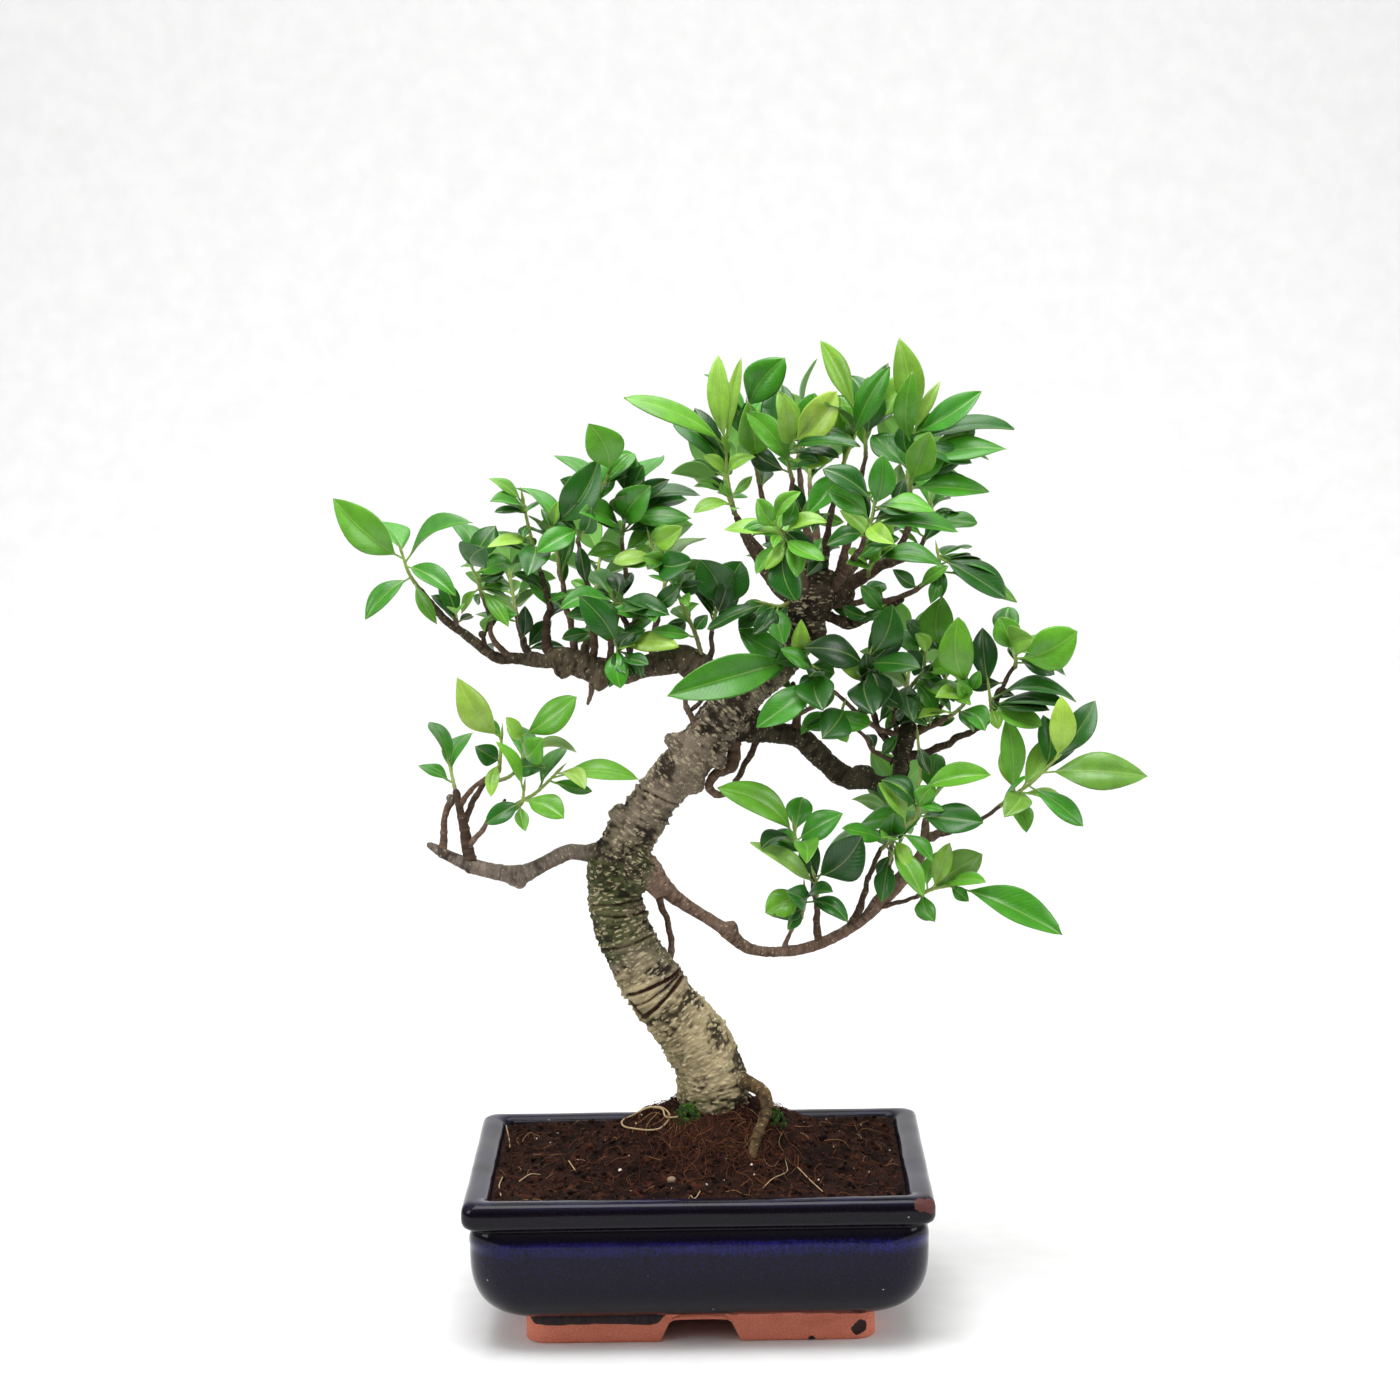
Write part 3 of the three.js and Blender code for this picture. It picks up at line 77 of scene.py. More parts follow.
# %% A bundle of closed shapes
class Bundle:
    """Points, faces and per-point values, gathered shape by shape into one mesh."""

    def __init__(self):
        self.points, self.faces, self.values, self.count = [], [], {}, 0

    def add(self, points, faces, **values):
        points = np.asarray(points, float)
        self.points.append(points)
        self.faces += [tuple(self.count + corner for corner in face) for face in faces]
        for name, value in values.items():
            value = np.asarray(value, float)
            if len(np.atleast_1d(value)) != len(points) or value.ndim == 0:
                value = np.tile(value, (len(points), 1)).reshape(len(points), -1).squeeze()
            self.values.setdefault(name, []).append(value)
        self.count += len(points)

    def build(self, name, material, slot, replaced=()):
        """Makes the piece, lets it ride on the root and hides the model's parts that it replaces."""
        mesh = bpy.data.meshes.new(name)
        mesh.from_pydata(to_metres(np.vstack(self.points)).tolist(), [], self.faces)
        for key, parts in self.values.items():
            set_values(mesh, key, np.concatenate(parts))
        return finished(mesh, name, material, replaced)


def set_values(mesh, name, values):
    """Stores one number, vector or colour for each point under a name."""
    values = np.asarray(values, np.float32)
    kind = {1: "FLOAT", 2: "FLOAT_VECTOR"}[values.ndim]
    layer = mesh.attributes.new(name, kind, "POINT")
    layer.data.foreach_set("value" if values.ndim == 1 else "vector", values.ravel())


def finished(mesh, name, material, replaced=()):
    """Links a mesh as a smooth-shaded piece of the object."""
    mesh.validate()
    mesh.shade_smooth()
    mesh.materials.append(material)
    made = bpy.data.objects.new(name, mesh)
    bpy.context.scene.collection.objects.link(made)
    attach(made, "root")
    if replaced:
        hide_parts(*replaced)
    print(f"{name}: {len(mesh.vertices)} points, {len(mesh.polygons)} faces")
    return made


def unit(vectors):
    """Vectors made one long."""
    vectors = np.asarray(vectors, float)
    return vectors / np.maximum(np.linalg.norm(vectors, axis=-1, keepdims=True), 1e-9)


def ease(low, high, values):
    """0 below low, 1 above high, and a smooth rise between them."""
    share = np.clip((np.asarray(values, float) - low) / (high - low), 0, 1)
    return share * share * (3 - 2 * share)


# %% [markdown]
# ## Curves and tubes
# Trunk, branches, roots and stems are all tubes along a smooth curve. The curve is a
# centripetal Catmull-Rom spline, because it runs through every point of the tables and
# makes no loops where points lie close together.

# %% A smooth path with even steps
# Fine steps between two points of a table, before they are evened out.
SPLINE_STEPS = 24


def smooth_path(points, step):
    """Even steps along the smooth curve through the points. Columns after z ride along."""
    points = np.array(points, float)
    knots = np.vstack([2 * points[0] - points[1], points, 2 * points[-1] - points[-2]])
    gaps = np.maximum(np.linalg.norm(np.diff(knots[:, :3], axis=0), axis=1), 1e-6) ** 0.5
    share = np.linspace(0, 1, SPLINE_STEPS, endpoint=False)[:, None]
    fine = []
    for i in range(1, len(knots) - 2):
        before, here, after = gaps[i - 1 : i + 2]
        a, b, c, d = knots[i - 1 : i + 3]
        leave = ((b - a) / before - (c - a) / (before + here) + (c - b) / here) * here
        arrive = ((c - b) / here - (d - b) / (here + after) + (d - c) / after) * here
        bend = 3 * (c - b) - 2 * leave - arrive
        twist = 2 * (b - c) + leave + arrive
        fine.append(b + leave * share + bend * share**2 + twist * share**3)
    fine = np.vstack(fine + [points[-1:]])
    lengths = np.r_[0, np.cumsum(np.linalg.norm(np.diff(fine[:, :3], axis=0), axis=1))]
    at = np.linspace(0, lengths[-1], max(2, round(lengths[-1] / step) + 1))
    return np.stack([np.interp(at, lengths, column) for column in fine.T], axis=1)


def path_frames(centres):
    """Tangent, side and front at each point of a path, carried along without twisting."""
    tangents = unit(np.gradient(centres, axis=0))
    reference = np.array([0.0, 1.0, 0.0])
    if abs(tangents[0] @ reference) > 0.8:
        reference = np.array([1.0, 0.0, 0.0])
    sides = np.zeros_like(centres)
    side = unit(np.cross(reference, tangents[0]))
    for i, tangent in enumerate(tangents):
        side = unit(side - tangent * (side @ tangent))
        sides[i] = side
    return tangents, sides, np.cross(tangents, sides)


# %% A closed tube
# Rings of a round end: width and reach beyond the path's end, as shares of the radius.
CAP_STEPS = ((0.92, 0.38), (0.7, 0.71), (0.38, 0.92))


def tube(path, sides):
    """A closed, round-ended tube along x, y, z, thickness. Gives points, faces and the
    share of the path at each point."""
    centres, radii = path[:, :3], path[:, 3] / 2
    tangents, side, front = path_frames(centres)
    rings = []
    for width, reach in reversed(CAP_STEPS):
        rings.append((centres[0] - tangents[0] * radii[0] * reach, radii[0] * width, 0, 0.0))
    for i in range(len(centres)):
        rings.append((centres[i], radii[i], i, i / (len(centres) - 1)))
    for width, reach in CAP_STEPS:
        rings.append((centres[-1] + tangents[-1] * radii[-1] * reach, radii[-1] * width, -1, 1.0))
    turn = np.arange(sides) * 2 * math.pi / sides
    points, share = [centres[0] - tangents[0] * radii[0]], [0.0]
    for centre, radius, i, along in rings:
        ring = np.outer(np.cos(turn), side[i]) + np.outer(np.sin(turn), front[i])
        points.extend(centre + ring * radius)
        share.extend([along] * sides)
    points.append(centres[-1] + tangents[-1] * radii[-1])
    share.append(1.0)
    faces = []
    last = len(points) - 1
    for k in range(sides):
        after = (k + 1) % sides
        faces.append((0, 1 + after, 1 + k))
        for row in range(len(rings) - 1):
            low, high = 1 + row * sides, 1 + (row + 1) * sides
            faces.append((low + k, low + after, high + after, high + k))
        top = 1 + (len(rings) - 1) * sides
        faces.append((top + k, top + after, last))
    return np.array(points), faces, np.array(share)


# %% [markdown]
# ## Random numbers on a lattice
# Bark, soil and glaze all need roughness that is the same on every run. Lattice noise
# turns a point into a smooth random number, and cells give the distance to the nearest
# of many scattered dots, which is how crumbs and corky warts are spread.

# %% Smooth noise and scattered dots
def hashed(cells, seed):
    """A random number from 0 to 1 for each whole-numbered cell."""
    cells = cells.astype(np.int64)
    key = cells[..., 0] * 73856093 ^ cells[..., 1] * 19349663 ^ cells[..., 2] * 83492791
    key = (key ^ (seed * 2654435761)) & 0xFFFFFFFF
    key = ((key ^ (key >> 15)) * 2246822519) & 0xFFFFFFFF
    key = ((key ^ (key >> 13)) * 3266489917) & 0xFFFFFFFF
    return (key ^ (key >> 16)) / 0xFFFFFFFF


def ripple(points, seed):
    """Smooth noise from -1 to 1 with bumps about one unit across."""
    points = np.asarray(points, float)
    base = np.floor(points)
    part = points - base
    part = part * part * (3 - 2 * part)
    total = np.zeros(len(points))
    for corner in itertools.product((0, 1), repeat=3):
        weight = np.prod(np.where(corner, part, 1 - part), axis=1)
        total += weight * hashed(base + np.array(corner), seed)
    return total * 2 - 1


def dots(points, seed):
    """Distance to the nearest scattered dot, one a cell, and that dot's own number."""
    points = np.asarray(points, float)
    base = np.floor(points)
    nearest, number = np.full(len(points), 9.0), np.zeros(len(points))
    for corner in itertools.product((-1, 0, 1), repeat=3):
        cell = base + np.array(corner)
        place = np.stack([hashed(cell, seed + k) for k in (1, 2, 3)], axis=1)
        distance = np.linalg.norm(cell + place - points, axis=1)
        closer = distance < nearest
        nearest = np.where(closer, distance, nearest)
        number = np.where(closer, hashed(cell, seed + 4), number)
    return nearest, number


# %% [markdown]
# ## Shader maths in plain Python
# A finish is easier to read as sums than as a drawing of nodes. A Wire is one output of
# a node. Adding or multiplying wires adds the nodes that do it: Math nodes for numbers,
# Vector Math for places, Mix nodes for colours.

# %% The Wire class
class Wire:
    """One output socket. Arithmetic on it adds the nodes that work it out."""

    def __init__(self, tree, socket=None):
        self.tree, self.socket = tree, socket

    def node(self, kind, settings=None, inputs=None, output=0):
        """Any other node: its settings are set first, then its sockets are filled."""
        made = self.tree.nodes.new(kind)
        for name, value in (settings or {}).items():
            setattr(made, name, value)
        for key, value in (inputs or {}).items():
            if isinstance(value, Wire):
                self.tree.links.new(value.socket, made.inputs[key])
            else:
                made.inputs[key].default_value = value
        return Wire(self.tree, made.outputs[output])

    def combine(self, operation, first, second):
        """One sum of two wires or numbers, by the kind of socket that takes part."""
        kinds = {value.socket.type for value in (first, second) if isinstance(value, Wire)}
        if "RGBA" in kinds:
            settings = {"data_type": "RGBA", "blend_type": operation}
            inputs = {0: 1.0, 6: first, 7: second}
            return self.node("ShaderNodeMix", settings, inputs, 2)
        if "VECTOR" in kinds:
            kind = "ShaderNodeVectorMath"
        else:
            kind = "ShaderNodeMath"
        return self.node(kind, {"operation": operation}, {0: first, 1: second})

    def __add__(self, other):
        return self.combine("ADD", self, other)

    def __radd__(self, other):
        return self.combine("ADD", other, self)

    def __sub__(self, other):
        return self.combine("SUBTRACT", self, other)

    def __rsub__(self, other):
        return self.combine("SUBTRACT", other, self)

    def __mul__(self, other):
        return self.combine("MULTIPLY", self, other)

    def __rmul__(self, other):
        return self.combine("MULTIPLY", other, self)

    def within(self, low, high):
        """0 below low, 1 above high, smooth between. Works downhill when low > high."""
        settings = {"interpolation_type": "SMOOTHSTEP"}
        if low > high:
            return 1 - self.within(high, low)
        return self.node("ShaderNodeMapRange", settings, {0: self, 1: low, 2: high})

    def blend(self, first, second):
        """This wire as a mask between two colours: first at 0, second at 1."""
        inputs = {0: self, 6: first, 7: second}
        return self.node("ShaderNodeMix", {"data_type": "RGBA"}, inputs, 2)


# %% Colours, named values and noise as wires
def rgb(code):
    """A hex colour as the linear numbers that a shader needs."""
    parts = [int(code[i : i + 2], 16) / 255 for i in (1, 3, 5)]
    return tuple(((v + 0.055) / 1.055) ** 2.4 if v > 0.04045 else v / 12.92 for v in parts) + (1.0,)


class Finish:
    """A new material with its Principled shader, ready for wires."""

    def __init__(self, name, **constants):
        self.material = bpy.data.materials.new(name)
        self.material.use_nodes = True
        self.tree = self.material.node_tree
        self.shader = self.tree.nodes["Principled BSDF"]
        for key, value in constants.items():
            self.shader.inputs[key.replace("_", " ")].default_value = value
        self.wire = Wire(self.tree)
        self.place = self.wire.node("ShaderNodeTexCoord", output=3)

    def value(self, name):
        """A number stored on the mesh."""
        return self.wire.node("ShaderNodeAttribute", {"attribute_name": name}, output=2)

    def vector(self, name):
        """A vector or colour stored on the mesh."""
        return self.wire.node("ShaderNodeAttribute", {"attribute_name": name}, output=1)

    def grain(self, per_metre, detail=3.0, roughness=0.55, place=None):
        """Noise with so many bumps to the metre."""
        place = place or self.place
        inputs = {"Vector": place, "Scale": per_metre, "Detail": detail, "Roughness": roughness}
        return self.wire.node("ShaderNodeTexNoise", None, inputs)

    def speckle(self, per_metre, place=None, output="Distance", **inputs):
        """Scattered dots: distance to the nearest, or its colour."""
        inputs = {"Vector": place or self.place, "Scale": per_metre, **inputs}
        return self.wire.node("ShaderNodeTexVoronoi", None, inputs, output)

    def feed(self, **wires):
        """Links wires to the shader's sockets."""
        for key, wire in wires.items():
            self.tree.links.new(wire.socket, self.shader.inputs[key.replace("_", " ")])
        return self.material

    def relief(self, height, depth_mm):
        """A Bump node whose full height is depth_mm."""
        inputs = {"Height": height, "Distance": depth_mm * MM, "Strength": 1.0}
        return self.wire.node("ShaderNodeBump", None, inputs)


# %% [markdown]
# ## The pot
# The real pot is pressed clay: a rolled rim, a groove, a swelling belly and a foot ring
# with an arched notch in the middle of each side. It could be cut from a block with
# booleans, but those leave long thin faces that spoil a glossy glaze. Instead one strip of
# the profile is repeated round a rounded rectangle, and the notches are made by lifting
# the foot's lower edge, so that every face stays a clean quad.

# %% The pot's sizes
HALF_LENGTH, HALF_DEPTH = 130.0, 97.5
BELLY_LEVEL, BELLY_INSET = 57.0, 3.0
FOOT_INSET, FOOT_HEIGHT, FOOT_WIDTH = 32.0, 17.5, 12.0
FLOOR_TOP = 21.0
RIM_CORNER, BELLY_CORNER, FOOT_CORNER, FOOT_INNER_CORNER = 7.0, 25.0, 12.0, 5.0
NOTCH_HEIGHT = 15.5
# Half widths of the notch's arch, from its foot to its crown, and how high each one is.
NOTCH_ARCH = [(24.0, 0.0), (22.5, 0.0), (21.2, 2.6), (19.8, 5.6), (18.4, 8.6), (16.9, 11.4),
              (15.4, 13.5), (13.4, 14.8), (11.0, 15.4), (7.0, 15.5), (0.0, 15.5)]
CORNER_STEPS = 12
SIDE_STEPS = 14


def notch_rise(across):
    """How high the foot's lower edge is lifted at this distance from a side's middle."""
    widths = [width for width, _ in NOTCH_ARCH][::-1]
    rises = [rise for _, rise in NOTCH_ARCH][::-1]
    return np.interp(np.abs(across), widths, rises)


# %% One turn round the pot
def outline(inset, corner):
    """Points of a rounded rectangle, and for each its distance from the side's middle."""
    half = np.array([HALF_LENGTH - inset, HALF_DEPTH - inset])
    arch = [width for width, _ in NOTCH_ARCH]
    points, middles = [], []
    for quarter in range(4):
        turn = quarter * math.pi / 2
        out = np.array([math.cos(turn), math.sin(turn)])
        along = np.array([-out[1], out[0]])
        reach, span = abs(half @ out), abs(half @ along) - corner
        plain = np.linspace(span, arch[0], SIDE_STEPS, endpoint=False)[1:]
        places = np.concatenate([plain, arch])
        places = np.concatenate([-places, places[:-1][::-1]])
        for place in places:
            points.append(out * reach + along * place)
            middles.append(place)
        centre = out * (reach - corner) + along * span
        for step in range(CORNER_STEPS + 1):
            angle = step / CORNER_STEPS * math.pi / 2
            points.append(centre + corner * (out * math.cos(angle) + along * math.sin(angle)))
            middles.append(span)
    return np.array(points), np.array(middles)


# %% The profile from the recess, over the rim, to the floor inside
def pot_profile():
    """Rows of (inset, height, corner, share of the notch's lift) from below to inside."""
    recess, inner, corner = FOOT_INSET + FOOT_WIDTH, FOOT_INNER_CORNER, FOOT_CORNER
    rows = [(recess + 12, NOTCH_HEIGHT, inner, 0), (recess + 1.5, NOTCH_HEIGHT, inner, 0)]
    rows += [(recess, NOTCH_HEIGHT - 0.8, inner, 0), (recess, 9, inner, 0.5), (recess, 1, inner, 1)]
    rows += [(recess - 1, 0, inner, 1), (FOOT_INSET + 6, 0, corner - 4, 1)]
    rows += [(FOOT_INSET + 1.4, 0, corner, 1), (FOOT_INSET + 0.5, 0.4, corner, 1)]
    rows += [(FOOT_INSET, 1.2, corner, 0.95), (FOOT_INSET, 5.5, corner, 0.75)]
    rows += [(FOOT_INSET, 10, corner, 0.45), (FOOT_INSET, 14, corner, 0.14)]
    rows += [(FOOT_INSET + 0.2, 16.7, corner, 0)]
    rows = [(inset, z + FOOT_LEVEL, corner, lift) for inset, z, corner, lift in rows]
    belly_start = FOOT_HEIGHT + FOOT_LEVEL
    for rise in np.linspace(0.01, 1, 20):
        swell = 1 - (1 - math.sin(rise * math.pi / 2)) ** 1.5
        inset = FOOT_INSET + (BELLY_INSET - FOOT_INSET) * swell
        corner = FOOT_CORNER + (BELLY_CORNER - FOOT_CORNER) * swell
        rows.append((inset, belly_start + (BELLY_LEVEL - belly_start) * rise**1.6, corner, 0))
    bend = [(3.1, 60), (3.5, 63), (4.2, 65.2), (5.2, 67), (5.9, 68.2), (5.7, 69.3)]
    rows += [(inset, z, BELLY_CORNER * 0.8 - (z - 60) * 0.9, 0) for inset, z in bend]
    roll = [(4.6, 70), (2.6, 70.8), (1, 72.2), (0.2, 74.4), (0, 77), (0.1, 80), (0.6, 82)]
    roll += [(1.6, 83.6), (3.2, 84.7), (5.4, 85), (8.2, 84.9), (10.8, 84.3), (12.6, 83.1), (13.6, 81.2)]
    rows += [(inset, z, RIM_CORNER, 0) for inset, z in roll]
    inside = RIM_CORNER + 2
    rows += [(14, 78.5, inside, 0), (14, 70, inside, 0), (14, 57, inside, 0)]
    rows += [(16, 42, inside + 8, 0), (23, 30, BELLY_CORNER, 0), (29, 23.5, BELLY_CORNER, 0)]
    rows += [(35, FLOOR_TOP, BELLY_CORNER, 0), (50, FLOOR_TOP, BELLY_CORNER * 0.6, 0)]
    return rows


# %% Build the pot and cut the drain holes
GLAZE_LINE = 11.4
DRAIN_X, DRAIN_RADIUS, DRAIN_SIDES = 50.0, 9.0, 40
DRILL_LENGTH, DRILL_LEVEL = 60.0, 20.0


def glaze_edge(points):
    """How far a point is above the wavy line where the glaze stops on the foot."""
    x, y, z = points.T
    wave = 1.6 * ripple(np.stack([x / 26, y / 26, z * 0], 1), 3)
    wave += 0.5 * ripple(np.stack([x / 6, y / 6, z * 0], 1), 4)
    front_left = ease(-18, -26, x) * ease(-20, -50, y) * ease(-97, -92, x)
    return z - (GLAZE_LINE + wave - 5.5 * front_left)


def pot_mesh():
    """The pot's skin as rows of quads, closed by two flat pieces of floor."""
    rows = [outline(inset, corner) + (z, lift) for inset, z, corner, lift in pot_profile()]
    around = len(rows[0][0])
    points = []
    for flat, middles, z, lift in rows:
        above = z - FOOT_LEVEL
        heights = z + lift * notch_rise(middles) * (1 - above / FOOT_HEIGHT if above > 1.5 else 1)
        points.append(np.column_stack([flat, heights]))
    points = np.vstack(points)
    faces = []
    for row in range(len(rows) - 1):
        for k in range(around):
            after = (k + 1) % around
            low, high = row * around, (row + 1) * around
            faces.append((low + k, low + after, high + after, high + k))
    faces.append(tuple(range(around))[::-1])
    faces.append(tuple((len(rows) - 1) * around + k for k in range(around)))
    return points, faces


pot_points, pot_faces = pot_mesh()
mesh = bpy.data.meshes.new("pot_skin")
mesh.from_pydata(pot_points.tolist(), [], pot_faces)
skin = bpy.data.objects.new("pot_skin", mesh)
bpy.context.scene.collection.objects.link(skin)
drills = []
for x in (-DRAIN_X, DRAIN_X):
    bpy.ops.mesh.primitive_cylinder_add(
        vertices=DRAIN_SIDES, radius=DRAIN_RADIUS, depth=DRILL_LENGTH, location=(x, 0, DRILL_LEVEL)
    )
    drills.append(bpy.context.object)
    cut = skin.modifiers.new("drain", "BOOLEAN")
    cut.operation = "DIFFERENCE"
    cut.object = drills[-1]
bpy.context.view_layer.update()
drained = bpy.data.meshes.new_from_object(skin.evaluated_get(bpy.context.evaluated_depsgraph_get()))
for used in [skin, *drills]:
    bpy.data.objects.remove(used)
print("pot after drilling:", len(drained.vertices), "points")


def coordinates(mesh):
    """A mesh's points as rows of numbers."""
    flat = np.zeros(len(mesh.vertices) * 3, np.float32)
    mesh.vertices.foreach_get("co", flat)
    return flat.reshape(-1, 3).astype(float)


def normals(mesh):
    """A mesh's point normals as rows of numbers."""
    flat = np.zeros(len(mesh.vertices) * 3, np.float32)
    mesh.vertex_normals.foreach_get("vector", flat)
    return flat.reshape(-1, 3).astype(float)


# %% [markdown]
# The clay is slightly uneven, and the glaze lies on it as a thick skin that ends in a
# rounded, wavy edge above the unglazed foot. Both are real shape, so they are pushed into
# the mesh, and the height above the glaze's edge is stored for the finish.

# %% Unevenness and the glaze's edge
def lay_glaze(mesh):
    """Moves the pot's points for hand-made unevenness and for the thickness of glaze."""
    points, out = coordinates(mesh), normals(mesh)
    above = glaze_edge(points)
    uneven = 0.35 * ripple(points / 38, 11) + 0.12 * ripple(points / 14, 12)
    thickness = 0.45 * ease(-0.6, 0.9, above)
    outside = ease(42, 34, inset_of(points))
    steady = ease(0.0, 3.0, points[:, 2] - FOOT_LEVEL)
    moved = points + out * (uneven * steady + thickness * outside)[:, None]
    moved[:, 0] = np.clip(moved[:, 0], -HALF_LENGTH - 0.3, HALF_LENGTH + 0.3)
    mesh.vertices.foreach_set("co", to_metres(moved).astype(np.float32).ravel())
    set_values(mesh, "above_glaze_edge", above)
    set_values(mesh, "drawn", points)


def inset_of(points):
    """Distance of a point inside the rim's straight sides."""
    return np.minimum(HALF_LENGTH - np.abs(points[:, 0]), HALF_DEPTH - np.abs(points[:, 1]))


lay_glaze(drained)

# %% [markdown]
# ## Glaze and terracotta
# The glaze is almost black where it is thick, and it breaks to cobalt in streaks on the
# belly's shoulder, where it ran thin while it was melted. It turns brown just above its
# lower edge and in a few worn spots. Everything varies with height and noise, so one
# colour built in layers does it. The clay below is salmon red, dry and slightly gritty.

# %% The pot's finish
def pot_finish():
    glaze = Finish("blue black glaze over terracotta", Coat_Roughness=0.04, Specular_IOR_Level=0.15)
    drawn = glaze.vector("drawn")
    height = glaze.wire.node("ShaderNodeSeparateXYZ", None, {0: drawn}, 2)
    across = glaze.wire.node("ShaderNodeSeparateXYZ", None, {0: drawn}, 0)
    streaks = glaze.grain(1.0, 6, 0.7, drawn * (0.035, 0.035, 0.5))
    curtain = glaze.grain(1.0, 5, 0.75, drawn * (0.45, 0.45, 0.06))
    mottle = glaze.grain(1.0, 5, 0.7, drawn * (0.8, 0.8, 0.8))
    shoulder = height.within(45, 58) * height.within(67, 61)
    band = (shoulder * (streaks * 0.7 + curtain * 0.9 + mottle * 0.5)).within(0.72, 1.35)
    right = across.within(-90, 120) * 0.5 + 0.6
    body = mottle.within(0.3, 0.75).blend(rgb("#07060b"), rgb("#120c18"))
    cobalt = mottle.within(0.3, 0.7).blend(rgb("#131140"), rgb("#2a2a82"))
    colour = (band * right).blend(body, cobalt)
    veil = (height.within(18, 52) * height.within(68, 58) * mottle.within(0.3, 0.75)) * 0.6
    colour = veil.blend(colour, rgb("#120f3c"))
    warm = height.within(15, 11.5) * curtain.within(0.3, 0.7) * 0.7
    colour = warm.blend(colour, rgb("#3d2322"))
    rim = height.within(81, 84.5) * streaks.within(0.35, 0.7) * 0.5
    colour = rim.blend(colour, rgb("#27264f"))
    specks = glaze.speckle(1.0, drawn * (0.06, 0.06, 0.06)).within(0.034, 0.022)
    colour = specks.blend(colour, rgb("#9a978f"))
    clay = glaze.grain(1.0, 6, 0.75, drawn * (0.9, 0.9, 0.9))
    terracotta = clay.within(0.3, 0.75).blend(rgb("#d2705a"), rgb("#ec9a80"))
    stain = glaze.grain(1.0, 3, 0.5, drawn * (0.07, 0.07, 0.2)).within(0.45, 0.75) * 0.4
    terracotta = stain.blend(terracotta, rgb("#c2634a"))
    spots = spot_mask(glaze, drawn, FOOT_SPOTS)
    chip = spot_mask(glaze, drawn, RIM_CHIPS)
    covered = glaze.value("above_glaze_edge").within(-0.15, 0.15)
    covered = glaze.wire.node("ShaderNodeMath", {"operation": "MAXIMUM"}, {0: covered, 1: spots})
    thin = glaze.value("above_glaze_edge").within(2.6, 0.2) * 0.55
    colour = thin.blend(colour, rgb("#3a2a25"))
    colour = covered.blend(terracotta, colour)
    colour = chip.blend(colour, rgb("#55322e"))
    sheen = covered * (1 - chip * 0.55)
    roughness = 0.82 - sheen * 0.68 + mottle * sheen * 0.05
    grit = (clay * (1 - covered) * 0.6) + mottle * 0.04
    relief = glaze.relief(grit, 0.25)
    glaze.feed(Base_Color=colour, Roughness=roughness, Normal=relief, Coat_Weight=sheen * 0.06)
    return glaze.material


# Spots where glaze dripped on the clay, and worn spots in the glaze: x, y, z, radius.
FOOT_SPOTS = [(89.5, -65, 3.2, 4.0), (87.5, -65.5, 1.6, 3.2), (62, -65.5, -3.6, 1.8), (-40, 66, 2, 3)]
RIM_CHIPS = [(122.0, -96, 82, 3.6), (127.0, -94.5, 81, 4.2), (72, -76, 13.5, 1.6)]


def spot_mask(finish, place, spots):
    """1 inside any of the rough-edged round spots."""
    rough = finish.grain(1.0, 4, 0.7, place * (0.5, 0.5, 0.5))
    mask = 0
    for x, y, z, radius in spots:
        apart = finish.wire.node(
            "ShaderNodeVectorMath", {"operation": "DISTANCE"}, {0: place, 1: (x, y, z)}, 1
        )
        mask = (apart + rough * 3 - 1.5).within(radius + 0.3, radius - 0.3) + mask
    return mask.within(0, 1)


finished(drained, "pot_glazed", pot_finish(), ["pot"])

# %% The plastic screens over the drain holes
def screen_finish():
    plastic = Finish("black screen plastic", IOR=1.46)
    grain = plastic.grain(900, 4, 0.6)
    colour = grain.within(0.3, 0.7).blend(rgb("#141414"), rgb("#242423"))
    earth = plastic.grain(160, 3, 0.6).within(0.55, 0.7) * 0.5
    colour = earth.blend(colour, rgb("#3a2a1f"))
    return plastic.feed(Base_Color=colour, Roughness=grain * 0.2 + 0.45, Normal=plastic.relief(grain, 0.1))


screen_plastic = screen_finish()
for node in ("drain_screen_left", "drain_screen_right"):
    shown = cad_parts[node]
    shown.data.materials.clear()
    shown.data.materials.append(screen_plastic)

# %% [markdown]
# ## The soil
# Peat is crumbs on crumbs, so the surface is built at three sizes: the mound round the
# trunk, lumps pushed into a fine grid, and loose crumbs scattered on top. Dry feeder roots
# lie over it. A particle system could scatter them, but plain seeded random numbers give
# the same bed on every run and each root can follow the ground.

# %% The height of the ground
SOIL_LEVEL, MOUND_HEIGHT, MOUND_SHARPNESS = 80.0, 40.0, 1.2
MOUND_X, MOUND_REACH_X, MOUND_REACH_Y = 9.0, 68.0, 42.0
SOIL_INSET = 14.4


def ground(x, y):
    """Height of the smooth ground under the crumbs."""
    x, y = np.asarray(x, float), np.asarray(y, float)
    reach = ((x - MOUND_X) / MOUND_REACH_X) ** 2 + (y / MOUND_REACH_Y) ** 2
    waves = 0.9 * np.sin(x / 13 + 1) * np.cos(y / 11) + 0.5 * np.sin(x / 5.3 + y / 7)
    banked = 2.2 * ease(30, 80, y) + 1.0
    return SOIL_LEVEL + MOUND_HEIGHT * np.exp(-(reach**MOUND_SHARPNESS)) + waves + banked


def crumbly(x, y):
    """Height of the ground with its lumps."""
    flat = np.stack([x, y, np.zeros_like(x)], 1)
    big, _ = dots(flat / 9.0, 21)
    small, _ = dots(flat / 3.6, 31)
    lumps = 3.4 * (0.55 - big) + 2.2 * (0.5 - small) + 1.3 * ripple(flat / 5, 41)
    inside_y = ease(0, 6, HALF_DEPTH - SOIL_INSET - np.abs(y))
    inside_x = ease(0, 6, HALF_LENGTH - SOIL_INSET - np.abs(x))
    share = 0.4 + 0.6 * inside_x * inside_y
    return ground(x, y) + (lumps + 0.7 * ripple(flat / 1.6, 42)) * share - 0.6


